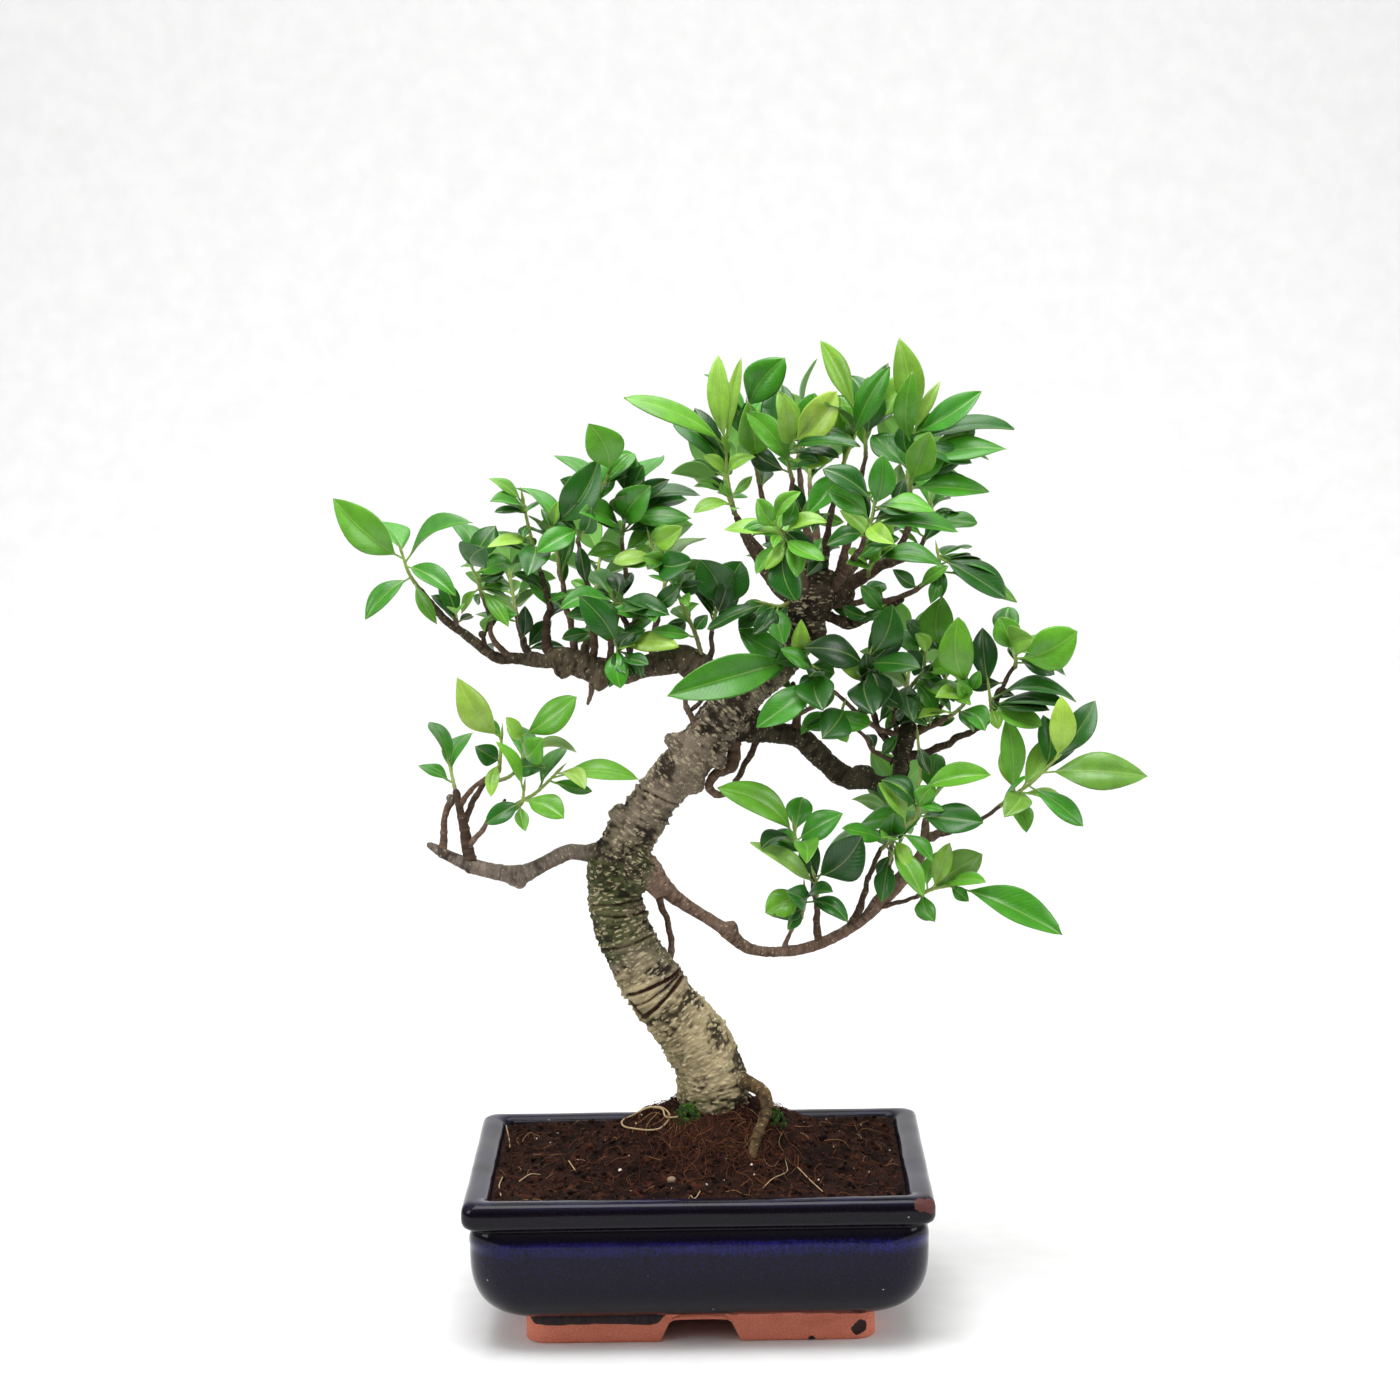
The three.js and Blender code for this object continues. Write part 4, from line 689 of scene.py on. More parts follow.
# %% A table of that height, for everything that lies on the ground
TABLE_STEP = 1.0
table_x = np.arange(-HALF_LENGTH, HALF_LENGTH + 1, TABLE_STEP)
table_y = np.arange(-HALF_DEPTH, HALF_DEPTH + 1, TABLE_STEP)
spread_x, spread_y = np.meshgrid(table_x, table_y)
height_table = crumbly(spread_x.ravel(), spread_y.ravel()).reshape(spread_x.shape)


def bed_height(x, y):
    """Height of the crumbly ground at one place, read from the table."""
    column, row = (x + HALF_LENGTH) / TABLE_STEP, (y + HALF_DEPTH) / TABLE_STEP
    return height_table[round(row), round(column)]


# %% Ground grid with a hidden lower part
def soil_bed():
    """A fine grid of ground, closed below along the hollow of the pot."""
    half_x, half_y, step = HALF_LENGTH - SOIL_INSET, HALF_DEPTH - SOIL_INSET, 1.25
    columns, rows = round(2 * half_x / step), round(2 * half_y / step)
    x, y = np.meshgrid(np.linspace(-half_x, half_x, columns), np.linspace(-half_y, half_y, rows))
    x, y = x.ravel(), y.ravel()
    corner = RIM_CORNER + 2
    over = np.stack([np.abs(x) - (half_x - corner), np.abs(y) - (half_y - corner)], 1)
    reach = np.linalg.norm(np.maximum(over, 0), axis=1)
    outside = (over.min(1) > 0) & (reach > corner)
    shrink = np.where(outside, corner / np.maximum(reach, 1e-6), 1)
    x = np.where(outside, np.sign(x) * (half_x - corner + over[:, 0] * shrink), x)
    y = np.where(outside, np.sign(y) * (half_y - corner + over[:, 1] * shrink), y)
    top = np.stack([x, y, crumbly(x, y)], 1)
    index = np.arange(rows * columns).reshape(rows, columns)
    quads = np.stack([index[:-1, :-1], index[:-1, 1:], index[1:, 1:], index[1:, :-1]], -1)
    faces = [tuple(quad) for quad in quads.reshape(-1, 4).tolist()]
    edge = np.concatenate([index[0, :-1], index[:-1, -1], index[-1, :0:-1], index[:0:-1, 0]])
    points, ring = [top], edge
    for inward, z in [(0.4, 58), (3, 42), (9, 32), (18, 24)]:
        scale = np.array([(half_x - inward) / half_x, (half_y - inward) / half_y])
        low = np.column_stack([top[edge][:, :2] * scale, np.full(len(edge), float(z))])
        fresh = sum(map(len, points)) + np.arange(len(edge))
        after = np.roll(fresh, -1)
        faces += zip(ring.tolist(), fresh.tolist(), after.tolist(), np.roll(ring, -1).tolist())
        points.append(low)
        ring = fresh
    faces.append(tuple(ring[::-1].tolist()))
    return np.vstack(points), faces


# %% Crumbs
def crumb_shape():
    """Points and faces of one small round shape."""
    ball = bmesh.new()
    bmesh.ops.create_icosphere(ball, subdivisions=2, radius=1)
    points = np.array([corner.co[:] for corner in ball.verts])
    faces = [tuple(corner.index for corner in face.verts) for face in ball.faces]
    ball.free()
    return points, faces


CRUMB_POINTS, CRUMB_FACES = crumb_shape()
random = np.random.default_rng(7)


def scatter_crumb(bundle, centre, size, shade, rough=0.35):
    """One lumpy crumb, turned and stretched at random."""
    stretch = size * random.uniform(0.65, 1.15, 3)
    turn = np.linalg.qr(random.normal(size=(3, 3)))[0]
    turn *= np.sign(np.linalg.det(turn))
    shape = CRUMB_POINTS * (1 + rough * ripple(CRUMB_POINTS * 1.6 + centre, 51)[:, None])
    bundle.add((shape * stretch) @ turn.T + centre, CRUMB_FACES, shade=shade)


def bed_place(margin=2.5):
    """A random place on the ground."""
    x = random.uniform(-1, 1) * (HALF_LENGTH - SOIL_INSET - margin)
    y = random.uniform(-1, 1) * (HALF_DEPTH - SOIL_INSET - margin)
    return x, y


CRUMBS = 2600
soil = Bundle()
bed_points, bed_faces = soil_bed()
soil.add(bed_points, bed_faces, shade=0.35 + 0.25 * ripple(bed_points / 7, 61))
for _ in range(CRUMBS):
    x, y = bed_place()
    size = 0.45 + 1.3 * random.random() ** 2.2
    height = bed_height(x, y) + size * 0.25
    scatter_crumb(soil, np.array([x, y, height]), size, random.random())
print("crumbs on the soil:", CRUMBS)

# %% [markdown]
# ## Soil finish
# Wet peat is a dark, dull brown with warmer fibres and some lighter crumbs. The crumbs'
# own shade is stored when they are scattered, and fine noise breaks it up.

# %% Peat, root, grit and moss finishes
def soil_finish():
    peat = Finish("damp peat", IOR=1.22)
    shade = peat.value("shade")
    fine = peat.grain(700, 6, 0.7)
    warm = peat.grain(150, 5, 0.65)
    colour = (shade * 0.6 + fine * 0.6).within(0.3, 1.0).blend(rgb("#0e0706"), rgb("#47291d"))
    colour = (warm.within(0.54, 0.72) * 0.5).blend(colour, rgb("#6b3a22"))
    flecks = peat.speckle(420).within(0.13, 0.08)
    colour = (flecks * 0.45).blend(colour, rgb("#9a6a45"))
    relief = peat.relief(fine + warm * 0.6, 1.2)
    return peat.feed(Base_Color=colour, Roughness=fine * 0.2 + 0.78, Normal=relief)


def fibre_finish():
    root = Finish("dry feeder root", IOR=1.3)
    grain = root.grain(1400, 4, 0.6)
    colour = root.vector("tint") * (grain.within(0.2, 0.8).blend(rgb("#b0b0b0"), rgb("#ffffff")))
    return root.feed(Base_Color=colour, Roughness=grain * 0.15 + 0.62, Normal=root.relief(grain, 0.15))


def grit_finish():
    grit = Finish("perlite and grit", IOR=1.4)
    grain = grit.grain(900, 5, 0.7)
    tone = grit.value("shade")
    colour = (grain * 0.4 + tone * 0.7).within(0.2, 0.9).blend(rgb("#8d7560"), rgb("#e6dfd2"))
    return grit.feed(Base_Color=colour, Roughness=grain * 0.2 + 0.65, Normal=grit.relief(grain, 0.3))


def moss_finish():
    moss = Finish("moss", IOR=1.3)
    grain = moss.grain(520, 4, 0.6)
    tone = moss.value("shade")
    colour = (tone * 0.8 + grain * 0.3).within(0.15, 0.95).blend(rgb("#1c2a0c"), rgb("#4f7a24"))
    tips = tone.within(0.8, 1.0) * 0.5
    colour = tips.blend(colour, rgb("#86a544"))
    return moss.feed(Base_Color=colour, Roughness=grain * 0.2 + 0.7, Normal=moss.relief(grain, 0.3))


soil_material, root_material = soil_finish(), fibre_finish()
grit_material, moss_material = grit_finish(), moss_finish()
soil.build("soil_bed", soil_material, "soil", ["soil"])

# %% [markdown]
# ## Feeder roots, grit and the root loop
# The roots are hair-thin, curl as they dry and mostly lie on the ground. Each one is a
# tube whose direction wanders a little at every step. In front of the trunk a mat of
# short reddish roots hangs down the mound.

# %% Wandering roots
TAN, AMBER, RUST, PALE = [rgb(code)[:3] for code in ("#b58757", "#774a2a", "#552b1b", "#d6b98b")]
DARK_RUST = rgb("#3b1c10")[:3]
ROOT_STEP = 2.2


def wander(x, y, heading, length, thickness, lift, curl):
    """A root's path over the ground, thin towards its end."""
    count = max(4, round(length / ROOT_STEP))
    path, bend = [], random.normal() * curl
    for i in range(count):
        bend = bend * 0.8 + random.normal() * curl
        heading += bend
        x += math.cos(heading) * ROOT_STEP
        y += math.sin(heading) * ROOT_STEP
        if abs(x) > HALF_LENGTH - SOIL_INSET - 1 or abs(y) > HALF_DEPTH - SOIL_INSET - 1:
            break
        rise = lift * math.sin(math.pi * i / (count - 1))
        path.append([x, y, bed_height(x, y) + 0.25 + rise, thickness * (1 - 0.6 * i / count)])
    if len(path) < 3:
        return None
    path = np.array(path)
    path[1:-1, 2] = (path[:-2, 2] + 2 * path[1:-1, 2] + path[2:, 2]) / 4 + 0.15
    return path


def lay_root(bundle, path, tint, sides=5):
    """Adds one root to the bundle."""
    if path is not None:
        points, faces, _ = tube(smooth_path(path, 1.3), sides)
        bundle.add(points, faces, tint=np.array(tint) * random.uniform(0.75, 1.15))


# Loose roots all over, a mat of them down the mound, and a collar round the trunk.
LOOSE_ROOTS, MAT_ROOTS, COLLAR_ROOTS = 330, 420, 130
FRONTWARD = -1.57
fibres = Bundle()
for _ in range(LOOSE_ROOTS):
    x, y = bed_place(6)
    path = wander(x, y, random.uniform(0, 6.28), random.uniform(5, 22), random.uniform(0.22, 0.5),
                  random.uniform(0, 1.6), 0.2)
    lay_root(fibres, path, [TAN, AMBER, RUST, AMBER, RUST, RUST, AMBER][random.integers(7)])
for _ in range(MAT_ROOTS):
    x = MOUND_X + random.normal() * 15
    y = -17 - abs(random.normal()) * 13
    heading = FRONTWARD + random.normal() * 0.8
    path = wander(x, y, heading, random.uniform(8, 26), random.uniform(0.3, 0.75),
                  random.uniform(0.2, 2.6), 0.2)
    lay_root(fibres, path, [RUST, DARK_RUST, AMBER, DARK_RUST, RUST, RUST][random.integers(6)])
for _ in range(COLLAR_ROOTS):
    turn = random.uniform(0, 2 * math.pi)
    x = MOUND_X + 30 * math.cos(turn) * random.uniform(0.8, 1.7)
    y = 27 * math.sin(turn) * random.uniform(0.8, 1.4)
    path = wander(x, y, turn + random.normal() * 0.8, random.uniform(8, 24), random.uniform(0.25, 0.6),
                  random.uniform(0.2, 3.0), 0.25)
    lay_root(fibres, path, [RUST, AMBER, TAN, RUST][random.integers(4)])

# %% The loop of thicker root left of the trunk
LOOP = [(-8, -22), (-18, -20), (-20, -14), (-25, -7), (-31, 2), (-37, 3), (-43, 4), (-42, -12),
        (-35, -20), (-27, -24), (-21, -24), (-16, -19), (-20, -11), (-28, -4), (-36, -2)]
loop_path = [[x, y, ground(x, y) + 2.0 + 0.8 * math.sin(i), 1.0] for i, (x, y) in enumerate(LOOP)]
lay_root(fibres, np.array(loop_path), PALE, 8)
# Pale stray roots, each a line of places on the ground.
STRAYS = [[(36, -64), (42, -57), (47, -53), (50, -47), (49, -41)], [(56, -44), (62, -49), (69, -69)],
          [(-101, -40), (-95, -32), (-90, -27)], [(-110, -64), (-112, -46), (-111, -31)],
          [(-74, -17), (-70, -29)], [(77, -18), (80, 20), (83, 51)], [(-4, -80), (-1, -76), (1, -70)],
          [(-115, 71), (-112, 50), (-110, 24)], [(18, -29), (25, -37), (31, -34)]]
for stray in STRAYS:
    path = [[x, y, bed_height(x, y) + 1.2, 0.6 - 0.06 * i] for i, (x, y) in enumerate(stray)]
    lay_root(fibres, np.array(path), PALE, 6)
over_rim = [[-6, -82, bed_height(-6, -82) + 1, 0.7], [-4, -86, 86.3, 0.6], [-3, -89, 85.9, 0.5]]
lay_root(fibres, np.array(over_rim), PALE, 6)
fibres.build("feeder_roots", root_material, "soil")

# %% Perlite and one pebble
GRAINS = 70
grit = Bundle()
for _ in range(GRAINS):
    x, y = bed_place(4)
    size = 0.3 + 0.4 * random.random()
    scatter_crumb(grit, np.array([x, y, bed_height(x, y) + size * 0.6]), size, random.uniform(0.4, 1))
for x, y, size in ((-44, -41, 1.1), (46, -14, 1.3), (30, -46, 0.8)):
    scatter_crumb(grit, np.array([x, y, bed_height(x, y) + 1.2]), size, 1.0)
scatter_crumb(grit, np.array([-15, -55, bed_height(-15, -55) + 0.9]), 3.1, 0.0, 0.2)
grit.build("perlite_grains", grit_material, "soil")

# %% [markdown]
# ## Moss
# Moss at the foot of the trunk is a cushion of tiny leafy shoots. Each shoot is a rosette
# of thin pointed blades, and the cushion's own solid says where they stand.

# %% Moss cushions
def blade(bundle, foot, tip, width, shade):
    """One pointed moss blade: a thin four-sided spike that swells in its middle."""
    run = tip - foot
    side = unit(np.cross(run, random.normal(size=3))) * width
    deep = unit(np.cross(run, side)) * width * 0.6
    middle = foot + run * 0.35
    points = [foot, middle + side, middle + deep, middle - side, middle - deep, tip]
    faces = [(0, 2, 1), (0, 3, 2), (0, 4, 3), (0, 1, 4), (5, 1, 2), (5, 2, 3), (5, 3, 4), (5, 4, 1)]
    bundle.add(points, faces, shade=shade)


def moss_cushion(name, node, tufts):
    """A cushion of rosettes over the place of its solid, thinner at the edge."""
    low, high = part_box(node)
    low, high = (np.array(low) - SHIFT) / MM, (np.array(high) - SHIFT) / MM
    middle, half = (low + high)[:2] / 2, (high - low)[:2] / 2
    cushion = Bundle()
    for _ in range(tufts):
        reach, turn = random.random() ** 0.5, random.uniform(0, 2 * math.pi)
        flat = middle + half * 0.96 * reach * np.array([math.cos(turn), math.sin(turn)])
        dome = 5.4 * (1 - reach**2) + 0.4
        base = np.array([*flat, ground(*flat) + dome - 1.2])
        tall, shade = random.uniform(1.2, 2.2), random.random() * 0.7
        for spoke in range(7):
            angle = spoke * 2.4 + random.uniform(0, 1)
            lean = 0.35 + 0.11 * spoke
            out = np.array([math.cos(angle) * lean, math.sin(angle) * lean, 1.0])
            blade(cushion, base, base + unit(out) * tall, 0.24, shade + 0.3 * random.random())
        scatter_crumb(cushion, base - [0, 0, 0.5], 1.3, shade * 0.4)
    cushion.build(name, moss_material, "moss", [node])


moss_cushion("moss_cushion_left", "moss_left", 110)
moss_cushion("moss_cushion_right", "moss_right", 90)

# %% [markdown]
# ## Trunk, branches and roots
# The wood is one living surface: branches swell where they leave the trunk, and the bark
# runs over every joint. Tubes set side by side would show their seams. So the limbs are
# drawn as tubes, fused by a voxel remesh, softened, and then given their bark by moving
# each point in or out. Each row below is x, y, z and thickness.

# %% The limbs
TRUNK = [
    [9, 2, 74, 34], [10, 1, 92, 44], [10, 0, 106, 42], [9, 0, 122, 41], [6, -1, 140, 39],
    [-2, -2, 155, 36], [-13, -3, 170, 34], [-24, -3, 186, 33], [-34, -2, 202, 32], [-41, 0, 218, 32],
    [-45, 2, 236, 30], [-45, 3, 252, 30], [-39, 3, 266, 30], [-29, 2, 281, 27], [-18, 0, 297, 25],
    [-6, -2, 311, 26], [6, -3, 324, 28], [17, -3, 338, 27], [28, -2, 351, 25], [42, 0, 362, 20],
    [56, 2, 373, 17], [65, 3, 388, 18], [67, 4, 402, 26], [68, 4, 412, 28],
]

BRANCHES = {
    "left": [
        [27, -2, 350, 18], [16, -3, 360, 18], [5, -3, 368, 17], [-6, -4, 373, 17], [-15, -4, 371, 15],
        [-27, -4, 369, 13], [-38, -4, 366, 14], [-50, -3, 367, 15], [-61, -2, 370, 15], [-72, 0, 374, 12],
        [-82, 2, 372, 8], [-100, 4, 374, 7], [-108, 4, 374, 6.5], [-115, 4, 378, 6], [-128, 3, 389, 5.5],
        [-136, 2, 395, 5], [-143, 0, 403, 4.5], [-151, -2, 414, 4],
    ],
    "lower_left": [
        [-42, 3, 258, 18], [-54, 2, 262, 13], [-62, 1, 262, 9.5], [-70, 0, 263, 9], [-86, 0, 256, 8.5],
        [-94, 0, 252, 9.5], [-100, 0, 250, 11.5], [-107, 0, 251, 9.5], [-124, 1, 255, 9], [-138, 1, 261, 7],
        [-145, 1, 265, 6], [-150, 1, 268, 4],
    ],
    "lower_right": [
        [-38, 2, 262, 18], [-27, 0, 253, 15], [-18, -2, 243, 11], [-9, -3, 235, 8.5], [3, -4, 227, 7],
        [14, -5, 220, 7.5], [20, -5, 215, 8.5], [28, -5, 208, 7], [38, -6, 205, 6], [60, -6, 206, 6.5],
        [80, -5, 213, 6.5], [99, -3, 225, 7], [104, -2, 231, 8.5], [112, 0, 238, 8.5], [119, 1, 246, 8.5],
        [124, 2, 251, 8], [129, 3, 258, 6], [131, 4, 266, 5.5], [132, 5, 277, 4.5],
    ],
    "upper_right": [
        [18, -1, 336, 22], [33, 2, 334, 20], [43, 4, 331, 15], [52, 6, 328, 12], [60, 8, 326, 12.5],
        [68, 9, 319, 13], [76, 9, 311, 12], [84, 9, 304, 13], [92, 8, 301, 12], [100, 7, 300, 10],
        [109, 6, 298, 9.5], [116, 5, 300, 9], [118, 4, 308, 9], [119, 4, 316, 10], [121, 3, 327, 11],
    ],
    "crown_left": [
        [64, 2, 402, 13], [52, 0, 410, 9], [45, -2, 418, 7], [39, -3, 428, 5.5], [32, -4, 440, 4.4],
        [27, -4, 452, 3.6],
    ],
    "crown_right": [
        [74, 4, 404, 14], [84, 4, 410, 10], [95, 2, 416, 8], [106, 0, 423, 6.5], [114, -2, 428, 5.5],
        [120, -3, 438, 4.4], [124, -4, 450, 3.6], [124, -5, 462, 3],
    ],
}


# %% The twigs
def number_rows(line):
    """Rows of numbers from one line: commas between rows, spaces within a row."""
    return [[float(word) for word in row.split()] for row in line.split(",")]


# A twig to a line: x, y, z and thickness at each of its points.
TWIG_TABLE = """
# left branch
-100 4 374 4.4, -107 2 380 3.8, -111 1 386 3.4, -113 0 398 3, -116 0 409 2.8
-115 4 378 3.6, -117 4 388 2.6
-131 3 391 3.4, -131 0 399 2.6
-74 0 374 9, -80 4 379 7, -81 6 390 5.4, -79 6 403 4.2, -84 5 424 3
-66 0 372 5.6, -66 2 388 4.4, -70 3 402 3.6, -72 3 418 3
-56 -3 370 5.6, -54 -4 386 4.4, -56 -6 402 3.8, -58 -6 420 3.2, -62 -5 440 2.8
-46 -2 368 5, -44 2 386 4.2, -40 5 402 3.6, -36 7 420 3.2, -38 8 438 2.8
-34 -5 368 5, -35 -6 384 4.4, -35 -6 393 3.8, -40 -6 402 3
-35 -6 391 3.4, -28 -8 397 2.8, -22 -9 402 2.2
9 -2 368 5, 12 0 380 3.4, 12 2 387 3
-54 -3 364 6, -56 -4 356 3.6, -58 -4 348 2.2
-90 3 372 6, -95 24 380 4.4, -100 48 392 3
-60 0 372 7, -58 25 384 4.6, -55 50 400 3
-22 0 371 6, -20 24 386 4.4, -16 46 402 3
# trunk
3 -6 333 4.6, -2 -8 344 4, -3 -8 352 3, -2 -8 359 2.4
-2 -8 343 3.2, 5 -9 349 2.8, 9 -9 357 2.4
24 0 326 10, 23 -3 312 8, 13 -5 307 6.6, 9 -6 301 5.4, 13 -7 296 5, 20 -7 297 4
38 3 328 4.4, 31 0 313 4, 24 -4 303 3.6
-24 4 246 7, -19 7 232 4.6, -15 7 218 4, -14 4 204 4.4, -16 0 194 5
# lower left branch
-127 1 255 9, -129 1 266 8, -130 0 276 6.5, -132 0 288 5, -134 0 298 5
-132 0 290 4, -124 -2 301 3.2, -116 -4 307 3, -109 -5 311 2.6
-130 1 280 4.6, -126 4 290 4, -120 7 300 3.4, -118 8 304 3
-129 1 266 5, -122 -3 275 3.4, -115 -6 283 3, -108 -8 286 2.8, -100 -10 290 2.4
-114 -6 283 3, -110 -6 288 2.6, -106 -6 294 2
-143 1 263 6, -142 2 274 4.8, -140 3 286 4.2, -137 3 293 5
# lower right branch
70 -5 209 6, 69 -6 224 4.2, 68 -8 240 3.6, 66 -9 254 2.8
50 -6 205 4.4, 54 -9 216 2.6, 60 -12 226 2.2
88 -4 218 6, 95 -6 233 4.2, 98 -8 246 3.6, 106 -10 264 2.8
104 -2 230 5, 107 2 243 3.6, 110 5 252 3
103 -3 229 4, 115 -7 232 2.8, 126 -11 237 2.4
131 4 266 5.4, 138 2 269 5.5, 143 0 272 4.4
141 1 270 4, 152 -3 274 2.9, 161 -5 279 2.7, 172 -6 286 2.4
112 0 238 7, 112 22 246 4.4, 114 42 258 3
# upper right branch
58 7 329 7, 60 5 345 4, 58 4 357 3
60 6 339 3.6, 70 3 344 2.2
119 4 315 8, 130 2 316 5.6, 150 0 325 4.6, 165 -2 333 3.6, 176 -6 356 2.8, 182 -7 366 2.4
121 3 326 7, 130 0 330 5, 144 -3 337 3.4
121 3 326 6, 129 6 331 4.2, 142 11 342 3
118 3 326 5, 104 -4 332 3.2, 95 -9 340 2.9, 85 -14 350 2.6, 75 -18 359 2.2
118 4 314 6, 109 6 325 4.6, 104 8 334 4, 102 9 346 3
116 3 311 4, 103 0 318 2.8, 96 -3 329 2.4, 84 -6 336 2
118 3 325 5, 114 1 334 3.8, 115 1 342 3.4
120 4 326 4.6, 120 6 340 3, 123 9 352 2.6
121 4 325 6, 122 28 334 4.4, 124 52 345 3
# crown
50 0 411 6, 47 4 426 5, 43 8 456 3.6, 40 8 470 2.8
62 2 410 8, 58 -4 428 5.4, 56 -8 444 4.2, 58 -10 474 2.8
68 5 412 9, 68 8 430 6, 66 12 448 4.6, 62 15 482 3
74 3 410 8, 76 -3 428 5.2, 78 -7 444 4.4, 84 -12 474 3
80 4 408 9, 86 6 424 6.4, 90 9 440 5, 100 12 484 2.8
104 0 422 5, 116 4 425 3.8, 128 8 430 3.2, 134 10 440 2.8
78 4 402 7, 90 2 402 4.8, 100 0 405 4, 112 -2 404 3.6, 130 -4 412 3.2, 139 -5 417 2.8
76 4 396 7, 88 3 391 7, 96 2 392 5.4, 110 0 399 4.2, 119 -3 404 3.6
66 0 408 8, 62 -18 422 5, 58 -30 432 3.8, 55 -40 440 3
80 0 410 7, 88 -18 424 4.6, 94 -32 436 3.6, 98 -42 446 3
68 8 408 10, 70 28 424 6.4, 72 44 438 5, 70 70 462 3
62 6 408 8, 46 26 424 5, 34 40 438 4, 26 50 450 3
78 8 408 8, 96 26 424 5, 110 38 438 4, 120 48 450 3
"""
TWIGS = [number_rows(line) for line in TWIG_TABLE.strip().splitlines() if line[0] != "#"]

# %% The roots
ROOTS = [
    [[20, -8, 134, 11], [30, -14, 130, 8.4], [38, -18, 125, 7.4], [39, -25, 117, 6.8], [35, -31, 108, 6.4],
        [32, -36, 100, 6], [29, -41, 86, 5]],
    [[2, -6, 100, 22], [-13, -15, 94, 13], [-28, -25, 82, 9], [-42, -34, 66, 5]],
    [[4, 6, 100, 22], [-14, 17, 93, 13], [-30, 28, 80, 9], [-46, 40, 64, 5]],
    [[15, 6, 98, 22], [34, 15, 89, 13], [53, 26, 77, 8], [72, 36, 60, 5]],
    [[10, -6, 96, 18], [14, -22, 89, 10], [18, -38, 74, 5]],
]

# %% Knobs, old cuts and scars
# Knobs where branches were once cut: x, y, z, width.
KNOBS = [(-42, -4, 285, 12), (-30, -12, 252, 19), (-22, -8, 245, 14), (9, -12, 341, 12),
         (-9, -9, 327, 12), (14, -11, 316, 12), (-100, 0, 249, 14), (20, -5, 218, 11),
         (-117, 3, 388, 5), (-137, 3, 294, 6), (122, 2, 247, 11), (122, 3, 328, 12),
         (52, 0, 412, 12), (86, 3, 408, 14), (89, 3, 391, 9), (-32, -13, 256, 18),
         (-33, -14, 247, 13), (0, 4, 301, 14), (-54, 2, 252, 12), (62, -4, 398, 16),
         (74, 0, 416, 15), (60, 6, 420, 12), (70, -6, 388, 13), (58, 1, 378, 13),
         (96, 7, 303, 14), (-72, -1, 368, 12), (-52, -4, 362, 12), (-88, 2, 374, 9),
         (0, -9, 368, 12)]
# Lines that training wire cut into the trunk, seen from the front: ends as x, z.
SCARS = [((-38, 179), (-30, 169)), ((-30, 169), (-6, 193)), ((-39, 182), (-9, 195))]
# Rings right round the trunk: a point on the ring as x, z, and its slope seen from the front.
RINGS = [((-41, 211), 0.3), ((-45, 235), 0.06), ((-46, 228), 0.02), ((-22, 297), -0.48), ((-18, 187), 0.7)]


LIMB_STEP = 2.0
# Columns of a sample: place, thickness, tangent, side, front, length so far, limb.
PLACE, TANGENT, SIDE, FRONT = slice(0, 3), slice(4, 7), slice(7, 10), slice(10, 13)
THICKNESS, ALONG, LIMB = 3, 13, 14


def limb_samples(limbs):
    """One row of numbers at each even step along every limb."""
    rows = []
    for number, points in enumerate(limbs.values()):
        path = smooth_path(points, LIMB_STEP)
        tangents, sides, fronts = path_frames(path[:, :3])
        along = np.arange(len(path)) * LIMB_STEP
        label = np.full(len(path), number)
        rows.append(np.column_stack([path, tangents, sides, fronts, along, label]))
    return np.vstack(rows)


LIMBS = {"trunk": TRUNK, **BRANCHES, **{f"root_{i}": points for i, points in enumerate(ROOTS)}}
samples = limb_samples(LIMBS)
print("limbs:", len(LIMBS), "samples:", len(samples))

# %% Fuse the limbs
VOXEL = 0.85
TRUNK_SIDES, LIMB_SIDES = 20, 14


def fused_limbs():
    """All limbs and knobs as one closed skin, in drawing millimetres."""
    rough = Bundle()
    for name, points in LIMBS.items():
        path = smooth_path(points, LIMB_STEP)
        path[:, 3] *= 1 + 0.05 * ripple(path[:, :3] / 11, 71)
        body, faces, _ = tube(path, TRUNK_SIDES if name == "trunk" else LIMB_SIDES)
        rough.add(body, faces)
    for x, y, z, width in KNOBS:
        shape = CRUMB_POINTS * (1 + 0.25 * ripple(CRUMB_POINTS * 1.3 + x, 72)[:, None])
        rough.add(shape * width * 0.5 + [x, y, z], CRUMB_FACES)
    mesh = bpy.data.meshes.new("rough_wood")
    mesh.from_pydata((np.vstack(rough.points) * MM).tolist(), [], rough.faces)
    draft = bpy.data.objects.new("rough_wood", mesh)
    bpy.context.scene.collection.objects.link(draft)
    fuse = draft.modifiers.new("fuse", "REMESH")
    fuse.mode = "VOXEL"
    fuse.voxel_size = VOXEL * MM
    soften = draft.modifiers.new("soften", "SMOOTH")
    soften.factor = 0.5
    soften.iterations = 5
    bpy.context.view_layer.update()
    fused = bpy.data.meshes.new_from_object(draft.evaluated_get(bpy.context.evaluated_depsgraph_get()))
    bpy.data.objects.remove(draft)
    print("fused wood:", len(fused.vertices), "points")
    return fused


wood = fused_limbs()

# %% [markdown]
# To put bark on the skin, each point has to know which limb it lies on, how far along it
# is, and where it is round the limb. Measuring to the limbs' surfaces, not their middles,
# keeps a thick trunk's bark from being claimed by a thin branch inside it.

# %% Where each point lies on the limbs
# Points measured in one go, and the gap between two limbs when they are laid end to end.
BATCH, LIMB_SPACING = 4000, 500


